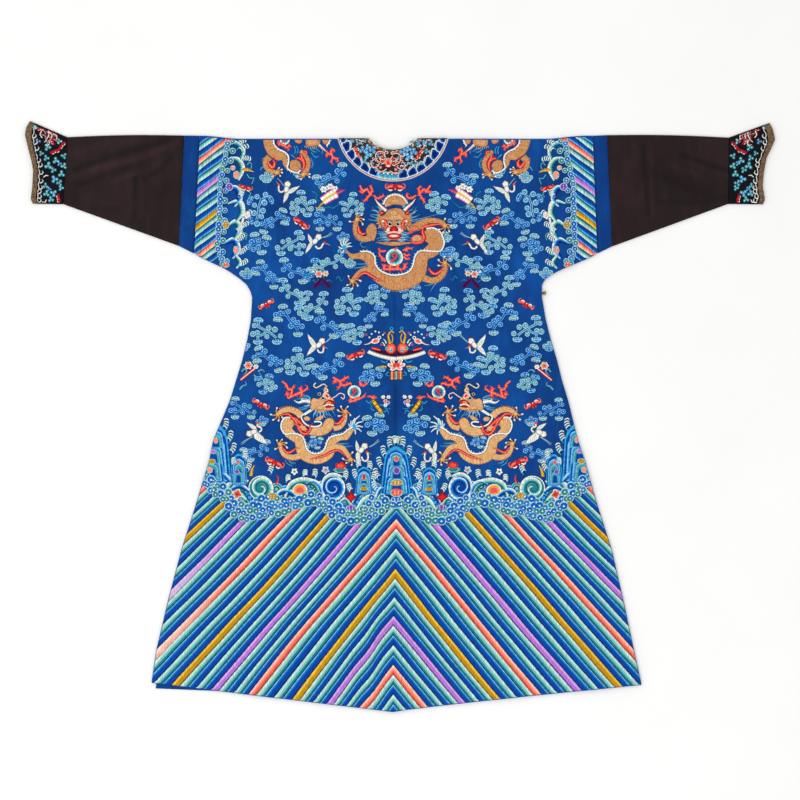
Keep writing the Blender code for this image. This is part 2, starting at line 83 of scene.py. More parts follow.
# left x, left y, right x, right y
cuffEdge = np.array([
    (-0.9020, 0.7213, 0.9028, 0.7169), (-0.9115, 0.7040, 0.9110, 0.7000),
    (-0.9140, 0.6860, 0.9160, 0.6760), (-0.9065, 0.6560, 0.9075, 0.6560),
    (-0.8985, 0.6250, 0.8950, 0.6300), (-0.8940, 0.5990, 0.8883, 0.5941),
    (-0.8965, 0.5560, 0.8860, 0.5600), (-0.9000, 0.5300, 0.8915, 0.5300),
    (-0.8950, 0.5195, 0.8870, 0.5180)])
# the flap under the right half; its hem is corner y, centre y, bend, and its top edge is the height at
# the seam, the fall to the side and the power of the curve
overlap = {"width": 0.36, "hem": (-0.646, -0.705, 0.95), "inset": 0.003, "top": (0.5, 0.2, 1.5)}
# Where the front eases down again from what lies under it: place and span in metres
ease = {"shoulder": (0.37, 0.10), "neckSide": (0.31, 0.09), "neckFront": (0.41, 0.06),
        "flapTop": (0.16, 0.04), "flapSide": (0.47, 0.08), "flapWidth": 0.358, "flapUpper": 0.318,
        "foldFade": 0.10}

# The embroidery chart counts squares from the left and the top
gridStep = 0.00244
originU, originV = 399.6, 416.5
middleU = 396.5  # the line that a mirrored drawing turns about


def chart(points):
    p = np.asarray(points, float)
    return np.stack([(p[..., 0] - originU) * gridStep, (originV - p[..., 1]) * gridStep], axis=-1)


def chartOf(x, y):
    return x / gridStep + originU, originV - y / gridStep


# Folds and creases of the upper layer: a line on the embroidery chart, its height in metres (a trough
# is below 0) and its half width in squares of the chart
creases = [
    ([(72, 178), (100, 167), (142, 157), (178, 142)], 0.0022, 5.5),
    ([(112, 182), (140, 172)], 0.0018, 4), ([(72, 152), (110, 144), (140, 140)], 0.0012, 7),
    ([(75, 169), (108, 157), (137, 149), (167, 140)], -0.0022, 5),
    ([(78, 185), (117, 171), (140, 164)], -0.0018, 4.5),
    ([(146, 178), (163, 168), (172, 157)], -0.0022, 5), ([(136, 177), (134, 220)], -0.0018, 3),
    ([(142, 183), (141, 218)], 0.0012, 4), ([(157, 197), (170, 187)], -0.0012, 9),
    ([(92, 207), (120, 209)], -0.0010, 5), ([(643, 146), (646, 180), (648, 213)], -0.0026, 4),
    ([(650, 142), (653, 215)], 0.0015, 3.5), ([(683, 155), (707, 164), (727, 170)], -0.0026, 5),
    ([(670, 165), (690, 172), (707, 182)], 0.0012, 6),
    ([(655, 173), (680, 184), (702, 192)], -0.0013, 7),
    ([(660, 201), (693, 203), (727, 197)], -0.0014, 5), ([(672, 186), (715, 182)], -0.0008, 24),
    ([(604, 204), (634, 188)], 0.0008, 18), ([(396, 560), (393, 720)], 0.002, 16),
    ([(396, 386), (395, 440), (395, 500)], -0.0016, 7),
    ([(387, 400), (386, 523)], -0.001, 8), ([(568, 511), (596, 687)], 0.003, 33),
    ([(498, 552), (506, 699)], 0.002, 33), ([(535, 539), (551, 687)], -0.0014, 20),
    ([(457, 589), (461, 703)], 0.0012, 20), ([(281, 531), (264, 695)], 0.0025, 33),
    ([(203, 564), (186, 687)], 0.002, 25), ([(334, 589), (326, 703)], 0.0012, 20),
    ([(236, 519), (219, 679)], -0.0012, 20), ([(260, 281), (326, 240)], 0.0016, 16),
    ([(535, 281), (477, 236)], 0.0016, 16), ([(264, 298), (309, 347)], 0.0012, 15),
    ([(531, 298), (494, 351)], 0.0012, 15), ([(219, 240), (244, 203)], 0.001, 14),
    ([(572, 240), (551, 199)], 0.001, 14)]
trough = {"body": 0.0001, "sleeve": 0.0021}  # the most that the upper layer may sink


def segmentDistance(x, y, ax, ay, bx, by):
    length2 = (bx - ax) ** 2 + (by - ay) ** 2
    along = np.clip(((x - ax) * (bx - ax) + (y - ay) * (by - ay)) / length2, 0, 1)
    return np.hypot(x - ax - along * (bx - ax), y - ay - along * (by - ay))


def creaseLift(x, y):  # each crease is a soft ridge: height times (1 - (distance / half width)^2)^2
    lift = np.zeros_like(x)
    for line, height, halfWidth in creases:
        ends = chart(line)
        away = np.min([segmentDistance(x, y, *a, *b) for a, b in zip(ends[:-1], ends[1:])], axis=0)
        lift += height * np.clip(1 - (away / halfWidth / gridStep) ** 2, 0, 1) ** 2
    return lift


def foldRise(x, y, deepest):  # the creases as height, the troughs eased so that no layers meet
    lift = creaseLift(x, y)
    return np.where(lift < 0, deepest * np.tanh(lift / deepest), lift)


def sideX(side, y):
    topX, topY, lowX, lowY = stubEnd[side]
    sleeve = lowX + (topX - lowX) * (y - lowY) / (topY - lowY)
    return np.where(y >= lowY, sleeve,
                    np.interp(y, sideEdges[::-1, 0], sideEdges[::-1, 1 if side < 0 else 2]))


def seamX(y):
    return np.interp(y, centreSeam[::-1, 0], centreSeam[::-1, 1])


def easeUp(value, place, span):
    return smoothStep((value - place) / span)


def easeDown(value, place, span):
    return smoothStep((place - value) / span)


def shoulderY(x):
    return cut["shoulderY"] + cut["shoulderRise"] * easeUp(np.abs(x - cut["neckX"]), *ease["shoulder"])


def overlapTop(across):  # the flap's upper edge curves down from the centre seam to the side
    height, fall, power = overlap["top"]
    return height - fall * across ** power


def frontHeight(side, x, y):  # the front's outer, lower face
    beside = easeDown(np.abs(x - cut["neckX"]), *ease["neckSide"])
    rise = (cut["layer"] if side > 0 else facingLift) * beside * easeUp(y, *ease["neckFront"])
    if side > 0:
        share = np.clip((x - seamX(y)) / ease["flapWidth"], 0, 1)
        fade = easeDown(y - overlapTop(share), *ease["flapTop"])
        fade = fade * np.where(y > ease["flapUpper"], easeDown(x, *ease["flapSide"]), 1.0)
        rise = np.maximum(rise, cut["layer"] * fade)
    return rise


def edgeDistance(side, x, y):  # how far a place is from the side edge or the shoulder
    column = 1 if side < 0 else 2
    nearest = shoulderY(x) - y
    for low, high in zip(sideEdges, sideEdges[1:]):
        nearest = np.minimum(nearest, segmentDistance(x, y, low[column], low[0], high[column], high[0]))
    return np.maximum(nearest, 0)


def backHeight(side, x, y):  # the back's outer, upper face: it comes down to the front at the edges
    resting = frontHeight(side, x, y) + cut["cloth"] + cut["gap"]
    loose = np.maximum(resting, backUnder) + foldRise(x, y, trough["body"])
    return resting + (loose - resting) * smoothStep(edgeDistance(side, x, y) / cut["edgeSpread"]) \
        + cut["cloth"]


def bodyTop(x, y):  # the upper face of whichever half lies there
    return np.where(x < seamX(y), backHeight(-1, x, y), backHeight(1, x, y))


def cuffEnd(side):
    return cuffEdge[:, :2] if side < 0 else cuffEdge[:, 2:]


def tubeTop(side, x, y):  # upper face of the sleeve pieces, a crown between the fold and the seam
    s = abs(x)
    edge = cuffEnd(side)
    ends = np.array([stubEnd[side], bandEnd[side], sleeveEnd[side], (*edge[0], *edge[-1])])
    top = np.interp(s, np.abs(ends[:, 0]), ends[:, 1])
    low = np.interp(s, np.abs(ends[:, 2]), ends[:, 3])
    near = smoothStep((np.minimum(top - y, y - low) - foldRadius) / cut["edgeSpread"])
    full = backUnder + cut["cloth"] + foldRise(x, y, trough["sleeve"])
    return 2 * foldRadius + (full - 2 * foldRadius) * near


def facingTop(x, y):
    return bodyTop(x, y) + facingLift


def gridFaces(rows, columns, closed=False):
    index = np.arange(rows * columns).reshape(rows, columns)
    following = np.roll(index, -1, axis=1) if closed else index[:, 1:]
    current = index if closed else index[:, :-1]
    return np.stack([current[:-1], following[:-1], following[1:], current[1:]], axis=-1).reshape(-1, 4)


def makeMesh(name, points, faces, material):
    mesh = bpy.data.meshes.new(name)
    points = np.asarray(points, dtype=np.float32)
    faces = np.asarray(faces, dtype=np.int32)
    corners = faces.shape[1]
    mesh.vertices.add(len(points))
    mesh.vertices.foreach_set("co", points.ravel())
    mesh.loops.add(faces.size)
    mesh.loops.foreach_set("vertex_index", faces.ravel())
    mesh.polygons.add(len(faces))
    mesh.polygons.foreach_set("loop_start", np.arange(0, faces.size, corners, dtype=np.int32))
    mesh.polygons.foreach_set("use_smooth", np.ones(len(faces), dtype=bool))
    mesh.update(calc_edges=True)
    mesh.validate()
    mesh.materials.append(material)
    piece = bpy.data.objects.new(name, mesh)
    bpy.context.scene.collection.objects.link(piece)
    return piece


def thicken(piece, wall):  # the given surface is the outer face
    solid = piece.modifiers.new("wall", "SOLIDIFY")
    solid.thickness = wall
    solid.offset = -1.0


def makeCloth(name, surface, material, wall, closed=False):  # rows x columns x 3 over the outer face
    piece = makeMesh(name, surface.reshape(-1, 3), gridFaces(*surface.shape[:2], closed), material)
    x, y, z = surface.reshape(-1, 3).T
    fold = piece.data.attributes.new("crease", "FLOAT", "POINT")  # in millimetres; the silk paints the creases' shade and light from it
    fold.data.foreach_set("value", (1000 * creaseLift(x, y) * (z > 1.3 * cut["layer"])).astype(np.float32))
    thicken(piece, wall)
    return piece


# Threads laid on the cloth. Each bag collects triangles, their colours, heights and stitch places.
bags = {}


def addSurface(bag, squares, tri, colour, rise, lay):
    bags.setdefault(bag, []).append((chart(squares), tri, colour, rise, np.asarray(lay) * gridStep))


def gridSurface(bag, squares, bands, rise, lay):
    # rows x columns of points; bands gives one colour for each gap between columns
    rows, columns = squares.shape[:2]
    quads = gridFaces(rows, columns)
    tri = np.concatenate([quads[:, [0, 2, 1]], quads[:, [0, 3, 2]]])
    colour = np.broadcast_to(np.asarray(bands), (rows - 1, columns - 1, 3)).reshape(-1, 3)
    addSurface(bag, squares.reshape(-1, 2), tri, np.tile(colour, (2, 1)), rise.ravel(),
               lay.reshape(-1, 2))


def curve(points, count):  # a smooth curve through the points, evenly stepped
    p = np.asarray(points, float)
    if len(p) == 2:
        return p[0] + (p[1] - p[0]) * np.linspace(0, 1, count)[:, None]
    p = np.vstack([2 * p[0] - p[1], p, 2 * p[-1] - p[-2]])
    t = np.linspace(0, len(p) - 3 - 1e-6, max(3 * count, 8 * len(p)))
    i = t.astype(int)
    f = (t - i)[:, None]
    a, b, c, d = p[i], p[i + 1], p[i + 2], p[i + 3]
    line = 0.5 * (2 * b + (c - a) * f + (2 * a - 5 * b + 4 * c - d) * f ** 2
                  + (3 * b - a - 3 * c + d) * f ** 3)
    run = np.concatenate([[0], np.cumsum(np.hypot(*np.diff(line, axis=0).T))])
    even = np.linspace(0, run[-1], count)
    return np.stack([np.interp(even, run, line[:, 0]), np.interp(even, run, line[:, 1])], axis=1)


def sideways(path):  # unit normals of a curve
    slope = np.gradient(path, axis=0)
    slope /= np.maximum(np.hypot(*slope.T), 1e-9)[:, None]
    return np.stack([-slope[:, 1], slope[:, 0]], axis=1)


def placed(points, u, v, turn, scale=1.0, flip=1):  # a small drawing, turned and set on the chart
    p = np.asarray(points, float) * (flip, 1)
    c, s = math.cos(math.radians(turn)), math.sin(math.radians(turn))
    return p @ np.array([(c, s), (-s, c)]) * scale + (u, v)


def ribbon(bag, points, width, bands, lift=0.0, dome=0.0004, step=1.5, wide=None, edges=None):
    # A strip along a curve: offsets run across it, and each band between two offsets has its colour.
    # width is in squares; wide gives it at even places along the way instead.
    p = np.asarray(points, float)
    reach = np.hypot(*np.diff(p, axis=0).T).sum()
    n = int(np.clip(reach / step, 3, 200)) + 1
    path = curve(p, n)
    t = np.linspace(0, 1, n)
    half = np.full(n, width / 2) if wide is None else \
        np.interp(t, np.linspace(0, 1, len(wide)), wide) * width / 2
    across = np.linspace(-1, 1, len(bands) + 1) if edges is None else np.asarray(edges, float)
    squares = path[:, None] + (sideways(path) * half[:, None])[:, None] * across[None, :, None]
    rise = lift + dome * (1 - across ** 2)[None] * np.ones((n, 1))
    lay = np.stack(np.broadcast_arrays((t * reach)[:, None], across[None] * half[:, None]), axis=-1)
    gridSurface(bag, squares, [dyes[band] for band in bands], rise, lay)


def patch(bag, outline, rings, colours, lift, dome, middle=None):
    # A filled outline: copies of it shrink to the middle at the ring shares, one colour between two.
    edge = np.asarray(outline, float)
    middle = edge.mean(axis=0) if middle is None else np.asarray(middle, float)
    n, shares = len(edge), np.array(rings)
    squares = (middle + (edge - middle)[None] * shares[:, None, None]).reshape(-1, 2)
    quads = gridFaces(len(shares), n, closed=True)
    last = (len(shares) - 1) * n + np.arange(n)
    fan = np.stack([last, np.roll(last, -1), np.full(n, len(shares) * n)], axis=1)
    tri = np.concatenate([quads[:, [0, 1, 2]], quads[:, [0, 2, 3]], fan])
    tints = np.array([dyes[colour] for colour in colours])
    around = np.repeat(tints[:-1], n, axis=0)
    colour = np.concatenate([around, around, np.tile(tints[-1], (n, 1))])
    rise = np.append(np.repeat(dome * (1 - shares ** 2), n), dome) + lift
    size = np.hypot(*(edge - middle).T).mean()
    turn = np.linspace(0, 2 * math.pi, n, endpoint=False) * size
    lay = np.stack([np.tile(turn, len(shares)), np.repeat(shares * size, n)], axis=1)
    addSurface(bag, np.vstack([squares, middle]), tri, colour, rise, np.vstack([lay, (0, 0)]))


def oval(u, v, rx, ry, turn=0.0, n=14, lobes=0, depth=0.0):
    a = np.linspace(0, 2 * math.pi, n, endpoint=False)
    r = 1 + depth * np.cos(lobes * a)
    return placed(np.stack([rx * r * np.cos(a), ry * r * np.sin(a)], axis=1), u, v, turn)


def disc(bag, u, v, r, colours, rings, lift, n, dome=0.0004):
    patch(bag, oval(u, v, r, r, n=n), rings, colours, lift, dome)


def outlined(points, n):  # a smooth closed outline through the points, in n steps
    p = np.asarray(points, float)
    return curve(np.vstack([p, p[:1]]), n + 1)[:-1]


def blob(bag, u, v, rx, ry, turn, n, rings, colours, lift, dome):
    patch(bag, oval(u, v, rx, ry, turn, n), rings, colours, lift, dome)


def filled(bag, points, n, rings, colours, lift, dome):
    patch(bag, outlined(points, n), rings, colours, lift, dome)


def draw(bag, drawing):
    # A drawing lists a tool, then what its rows share if that is given, then a row for each use
    for tool, *rows in drawing:
        shared = rows.pop(0) if isinstance(rows[0], dict) else {}
        for row in rows:
            tool(bag, *(row if isinstance(row, tuple) else (row,)), **shared)


def sewDown(bag, name, height, material, clip, base):
    # One piece from a bag: its threads are laid on the cloth at that height, base above it
    parts = bags.pop(bag)
    start = np.cumsum([0] + [len(part[0]) for part in parts[:-1]])
    xy, colour, rise, lay = (np.concatenate([part[k] for part in parts]) for k in (0, 2, 3, 4))
    tri = np.concatenate([part[1] + first for part, first in zip(parts, start)])
    if clip is not None:
        inside, pulled = clip(xy[:, 0], xy[:, 1])
        keep = inside[tri].any(axis=1)
        tri, colour = tri[keep], colour[keep]
        xy = np.where(inside[:, None], xy, pulled)
    z = height(xy[:, 0], xy[:, 1]) + base + rise
    a, b, c = (xy[tri[:, k]] for k in range(3))
    turn = (b[:, 0] - a[:, 0]) * (c[:, 1] - a[:, 1]) - (b[:, 1] - a[:, 1]) * (c[:, 0] - a[:, 0])
    real = np.abs(turn) > 1e-10
    tri, colour, turn = tri[real], colour[real], turn[real]
    tri = np.where((turn < 0)[:, None], tri[:, [0, 2, 1]], tri)
    used, tri = np.unique(tri, return_inverse=True)
    tri = tri.reshape(-1, 3)
    points, lay = np.column_stack([xy, z])[used], lay[used]
    piece = makeMesh(name, points, tri, material)
    shade = piece.data.color_attributes.new("thread", "FLOAT_COLOR", "CORNER")
    corner = np.column_stack([np.repeat(colour, 3, axis=0), np.ones(len(tri) * 3)])
    shade.data.foreach_set("color", corner.astype(np.float32).ravel())
    flat = piece.data.uv_layers.new(name="OFBake")
    spread = points[:, :2] - points[:, :2].min(axis=0)
    flat.data.foreach_set("uv", (spread / spread.max())[tri.ravel()].astype(np.float32).ravel())
    stitch = piece.data.uv_layers.new(name="lay")
    stitch.data.foreach_set("uv", lay[tri.ravel()].astype(np.float32).ravel())
    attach(piece, "root")
    print(name, len(tri), "triangles")
    return piece


def nodeGroup(name, inputs, outputs):
    group = bpy.data.node_groups.new(name, "ShaderNodeTree")
    for label, kind, value in inputs:
        socket = group.interface.new_socket(label, in_out="INPUT", socket_type=kind)
        if value is not None:
            socket.default_value = value
    for label, kind in outputs:
        group.interface.new_socket(label, in_out="OUTPUT", socket_type=kind)
    return group, group.nodes.new("NodeGroupInput").outputs, group.nodes.new("NodeGroupOutput").inputs


def addNode(tree, kind, settings=None, **values):
    # values are sockets by name, or by number as i0, i1; each takes a link, an "rrggbb" or a number
    node = tree.nodes.new(kind)
    for key, value in (settings or {}).items():
        setattr(node, key, value)
    for key, value in values.items():
        socket = node.inputs[int(key[1:]) if key[1:].isdigit() else key]
        if isinstance(value, bpy.types.NodeSocket):
            tree.links.new(value, socket)
        else:
            socket.default_value = (*rgb(value), 1) if isinstance(value, str) else value
    return node


def mathNode(tree, operation, a, b=0.0):
    return addNode(tree, "ShaderNodeMath", {"operation": operation}, i0=a, i1=b).outputs[0]


def mapRange(tree, value, low, high, toLow=0.0, toHigh=1.0):
    return addNode(tree, "ShaderNodeMapRange", i0=value, i1=low, i2=high, i3=toLow, i4=toHigh).outputs[0]


def mixColour(tree, factor, a, b, blend="MIX"):
    return addNode(tree, "ShaderNodeMix", {"data_type": "RGBA", "blend_type": blend},
                   i0=factor, i6=a, i7=b).outputs[2]


def darken(tree, colour, share):  # the colour times a grey of that share
    grey = addNode(tree, "ShaderNodeCombineColor", i0=share, i1=share, i2=share).outputs[0]
    return mixColour(tree, 1.0, colour, grey, "MULTIPLY")


def noiseAt(tree, where, scale, detail=3.0, stretch=(1, 1, 1), turn=0.0):
    spread = addNode(tree, "ShaderNodeMapping", Vector=where, Scale=stretch, Rotation=(0, 0, turn))
    return addNode(tree, "ShaderNodeTexNoise", Vector=spread.outputs[0], Scale=scale,
                   Detail=detail, Roughness=0.55).outputs["Fac"]


# Silk: fine warp floats along Y with a slub now and then. Height and a shade mask come out.
silkWeave, given, result = nodeGroup(
    "silkWeave", [("Vector", "NodeSocketVector", None), ("Pitch", "NodeSocketFloat", 900.0),
                  ("Slub", "NodeSocketFloat", 0.35)],
    [("Height", "NodeSocketFloat"), ("Shade", "NodeSocketFloat")])
parts = []
for stretch, share in (((1.0, 0.06, 1.0), 0.65), ((0.05, 1.0, 1.0), 0.35)):  # the warp, then the weft
    spread = addNode(silkWeave, "ShaderNodeMapping", Vector=given["Vector"], Scale=stretch)
    noise = addNode(silkWeave, "ShaderNodeTexNoise", Vector=spread.outputs[0], Scale=given["Pitch"],
                    Detail=2.0, Roughness=0.6).outputs["Fac"]
    parts.append(mathNode(silkWeave, "MULTIPLY", noise, share))
fine = mathNode(silkWeave, "ADD", *parts)
slub = noiseAt(silkWeave, given["Vector"], 60.0, 2.0, (1.0, 0.12, 1.0))
silkWeave.links.new(fine, result["Height"])
silkWeave.links.new(mathNode(silkWeave, "ADD", mathNode(silkWeave, "MULTIPLY", slub, given["Slub"]),
                             mathNode(silkWeave, "MULTIPLY", fine, 0.5)), result["Shade"])

# Broad soft patches, darker and lighter; and from handling, faint pale creases where the cloth was folded
# away.
patchesAndRubs, given, result = nodeGroup(
    "patchesAndRubs", [("Vector", "NodeSocketVector", None), ("Breadth", "NodeSocketFloat", 6.0)],
    [("Patches", "NodeSocketFloat"), ("Rubs", "NodeSocketFloat")])
broad = noiseAt(patchesAndRubs, given["Vector"], given["Breadth"], 4.0, (1.0, 0.7, 1.0))
rubs = noiseAt(patchesAndRubs, given["Vector"], 38.0, 5.0, (1.0, 0.35, 1.0), 0.12)
patchesAndRubs.links.new(broad, result["Patches"])
patchesAndRubs.links.new(mapRange(patchesAndRubs, rubs, 0.50, 0.75), result["Rubs"])


def newMaterial(name, roughness, sheen=0.0, metallic=0.0, specular=0.5):
    material = bpy.data.materials.new(name)
    material.use_nodes = True
    tree = material.node_tree
    shader = tree.nodes["Principled BSDF"]
    for label, value in (("Roughness", roughness), ("Metallic", metallic), ("Sheen Weight", sheen),
                         ("Sheen Roughness", 0.4), ("Specular IOR Level", specular)):
        shader.inputs[label].default_value = value
    where = tree.nodes.new("ShaderNodeTexCoord").outputs["Object"]
    return material, tree, shader, where


def placeGroup(tree, group, **values):
    return addNode(tree, "ShaderNodeGroup", {"node_tree": group}, **values).outputs


def bumpInto(tree, shader, height, strength, distance):
    bump = addNode(tree, "ShaderNodeBump", Height=height, Strength=strength, Distance=distance)
    tree.links.new(bump.outputs[0], shader.inputs["Normal"])


def silk(name, deep, plain, pale, roughness, sheen, specular, fold=0.04):
    # deep lies in the darker patches, plain is most of the cloth, pale is where it is rubbed; fold is the
    # painted shade and light of the creases: how much paler each millimetre of a ridge is painted, and
    # a trough is painted darker by as much
    material, tree, shader, where = newMaterial(name, roughness, sheen, specular=specular)
    weave = placeGroup(tree, silkWeave, Vector=where)
    broadTone = placeGroup(tree, patchesAndRubs, Vector=where)
    colour = mixColour(tree, mapRange(tree, broadTone["Patches"], 0.35, 0.65), deep, plain)
    colour = mixColour(tree, mathNode(tree, "MULTIPLY", broadTone["Rubs"], 0.35), colour, pale)
    # painted shade and light of the creases: darker in the troughs, paler on the ridges
    crease = addNode(tree, "ShaderNodeAttribute", {"attribute_name": "crease"}).outputs["Fac"]
    shade = mathNode(tree, "MULTIPLY", mapRange(tree, weave["Shade"], 0.2, 0.7, 0.80, 1.12),
                     mathNode(tree, "POWER", 1 + fold, crease))
    tree.links.new(darken(tree, colour, shade), shader.inputs["Base Color"])
    tree.links.new(mapRange(tree, weave["Shade"], 0.0, 1.0, roughness + 0.08, roughness - 0.08),
                   shader.inputs["Roughness"])
    bumpInto(tree, shader, weave["Height"], 0.25, 0.0004)
    return material


# where four numbers are given, the last is how strongly the creases are painted: paler on the ridges,
# darker in the troughs
blueSatin = silk("blueSatin", "01377c", "024a97", "0a62b4", 0.50, 0.0, 0.09, 0.10)
bandSilk = silk("bandSilk", "013278", "03448c", "0e5aa6", 0.55, 0.0, 0.09)
darkSilk = silk("darkSilk", "1b0d0f", "261518", "3a262a", 0.58, 0.04, 0.16, 0.29)
blackSatin = silk("blackSatin", "07050b", "0c0913", "1c1822", 0.55, 0.0, 0.10)
facingSatin = silk("facingSatin", "1d1b22", "2a272f", "3d3944", 0.55, 0.0, 0.18)
loopSilk = silk("loopSilk", "022f78", "0a4396", "2a62b0", 0.60, 0.05, 0.2)

# Brocade: gold thread figures on brown, small lozenges with a darker edge
brocade, tree, shader, where = newMaterial("brocade", 0.45, 0.1)
weave = placeGroup(tree, silkWeave, Vector=where, Pitch=1400.0)
turned = addNode(tree, "ShaderNodeMapping", Vector=where, Rotation=(0, 0, math.pi / 4)).outputs[0]
cells = addNode(tree, "ShaderNodeTexVoronoi", {"feature": "F1", "distance": "MANHATTAN"},
                Vector=turned, Scale=210.0, Randomness=0.35).outputs["Distance"]
figure = mapRange(tree, cells, 0.35, 0.55)
grain = mapRange(tree, weave["Shade"], 0.3, 0.7)
ground = mixColour(tree, grain, "3d2a1c", "6b4c2c")
gilt = mixColour(tree, grain, "8d6a3a", "c39a5e")
tree.links.new(mixColour(tree, figure, gilt, ground), shader.inputs["Base Color"])
tree.links.new(mathNode(tree, "MULTIPLY", mathNode(tree, "SUBTRACT", 1.0, figure), 0.45),
               shader.inputs["Metallic"])
bumpInto(tree, shader, mathNode(tree, "SUBTRACT", weave["Height"], figure), 0.5, 0.0004)

paleCord, tree, shader, where = newMaterial("paleCord", 0.55, 0.2)
twist = addNode(tree, "ShaderNodeTexWave", {"bands_direction": "DIAGONAL"}, Vector=where,
                Scale=160.0, Distortion=1.0).outputs["Fac"]
# painted shade and light of the twist: darker in its grooves, paler on its raised plies
tree.links.new(mixColour(tree, twist, "b899a2", "f4dfe2"), shader.inputs["Base Color"])
bumpInto(tree, shader, twist, 0.4, 0.0005)

brass, tree, shader, where = newMaterial("brass", 0.30, metallic=1.0)
tarnish = noiseAt(tree, where, 420.0, 4.0)
tree.links.new(mixColour(tree, tarnish, "6d5226", "c9a35a"), shader.inputs["Base Color"])
tree.links.new(mapRange(tree, tarnish, 0.0, 1.0, 0.5, 0.2), shader.inputs["Roughness"])
bumpInto(tree, shader, tarnish, 0.15, 0.0002)

# Floss silk laid side by side. The colour is the piece's own "thread"; the stitches run across "lay".
flossLay, given, result = nodeGroup(
    "flossLay", [("Lay", "NodeSocketVector", None), ("Vector", "NodeSocketVector", None),
                 ("Colour", "NodeSocketColor", (0.5, 0.5, 0.5, 1.0))],
    [("Colour", "NodeSocketColor"), ("Height", "NodeSocketFloat")])
stitches = noiseAt(flossLay, given["Lay"], 1100.0, 2.0, (1.0, 0.05, 1.0))
coarse = noiseAt(flossLay, given["Lay"], 520.0, 1.0, (1.0, 0.06, 1.0))
uneven = noiseAt(flossLay, given["Vector"], 90.0, 3.0)
# the stitches are painted paler where they stand high and darker in the grooves between them, as painted
# shade; the coarse and broad noise is uneven tone of the laid silk
light = mapRange(flossLay, stitches, 0.3, 0.7, 0.70, 1.26)
light = mathNode(flossLay, "MULTIPLY", light, mapRange(flossLay, coarse, 0.34, 0.66, 0.64, 1.38))
light = mathNode(flossLay, "MULTIPLY", light, mapRange(flossLay, uneven, 0.3, 0.7, 0.90, 1.08))
flossLay.links.new(darken(flossLay, given["Colour"], light), result["Colour"])
flossLay.links.new(stitches, result["Height"])


def layThreads(tree, where):  # the laid silk's outputs, and where its stitches run
    layMap = addNode(tree, "ShaderNodeUVMap", {"uv_map": "lay"}).outputs[0]
    dyed = addNode(tree, "ShaderNodeVertexColor", {"layer_name": "thread"}).outputs[0]
    return placeGroup(tree, flossLay, Lay=layMap, Vector=where, Colour=dyed), layMap


floss, tree, shader, where = newMaterial("floss", 0.5, specular=0.04)
laid, layMap = layThreads(tree, where)
tree.links.new(laid["Colour"], shader.inputs["Base Color"])
bumpInto(tree, shader, laid["Height"], 0.5, 0.0003)

print("materials ready")

# How finely the cloth is gridded
clothGrid = {"columns": 52, "edge": (0.012, 0.009, 0.006, 0.003, 0.0), "skirtRows": 110,
             "upperRows": 64, "overlapRows": 100, "foldTurns": 9, "ringLength": 56, "bandStations": 5,
             "sleeveStations": 84, "cuffStations": 14}
ventInset, ventSpread, buttGap = 0.012, 0.080, 0.0008
foldClear = 0.0045  # rows nearer the shoulder fold than this belong to the fold itself


def acrossPlaces(width):
    edge = np.array(clothGrid["edge"])
    main = np.linspace(0, 1, clothGrid["columns"] - len(edge) + 1)[:-1]
    return np.concatenate([main[None] * (width[:, None] - edge[0]), width[:, None] - edge[None]], axis=1)


def skirtSurface(side, hem, onFront, shares):
    # Rows from the hem at share 0 to the underarm at share 1, columns from the centre seam to the side
    cornerY, centreY, bend = hem
    low = cut["underarmY"]
    start, end = seamX(low), sideX(side, low)
    across = acrossPlaces(np.array([abs(end - start)]))[0] / abs(end - start)
    hemY = centreY + (cornerY - centreY) * across ** bend
    y = hemY + (low - hemY) * shares[:, None]
    inset = ventInset * smoothStep((ventTop[side] - y) / ventSpread) if onFront else 0.0
    inner = seamX(y)
    x = inner + (sideX(side, y) - side * inset - inner) * across
    z = frontHeight(side, x, y) if onFront else backHeight(side, x, y)
    return np.stack([x, y, z], axis=-1)


def rowY(x, ahead):  # y at a distance in front of the shoulder fold, or behind it if negative
    away = np.abs(ahead)
    fade = np.maximum(0, 1 - away / ease["foldFade"])
    return cut["shoulderY"] - away + (shoulderY(x) - cut["shoulderY"]) * fade


def neckHalfWidth(ahead, margin):
    share = (ahead - cut["neckSetback"]) / (cut["neckHalfLength"] + margin)
    return (cut["neckHalfWidth"] + margin) * np.sqrt(np.maximum(0, 1 - share ** 2))


def shoulderSurface(side, innerX, outerX, ahead):
    # Both layers near the shoulder: rows behind the fold, round it, and in front of it
    turns = np.linspace(90, -90, clothGrid["foldTurns"])
    before = np.sort(ahead[ahead > foldClear])
    behind = before[::-1]
    place = np.concatenate([-behind, -foldRadius * turns / 90, before])
    kind = np.repeat([-1, 0, 1], [len(behind), len(turns), len(before)])[:, None]
    inner, outer = innerX(place), outerX(place)
    x = inner[:, None] + np.sign(outer - inner)[:, None] * acrossPlaces(np.abs(outer - inner))
    y = rowY(x, place[:, None])
    back = backHeight(side, x, y)
    front = frontHeight(side, x, y)
    angle = np.radians(np.concatenate([behind * 0, turns, before * 0]))[:, None]
    fold = shoulderY(x)
    roundY = fold - foldRadius + foldRadius * np.cos(angle)
    roundZ = frontHeight(side, x, fold) + foldRadius + foldRadius * np.sin(angle)
    y = np.where(kind == 0, roundY, y)
    z = np.where(kind == 0, roundZ, np.where(kind < 0, back, front))
    return np.stack([x, y, z], axis=-1)


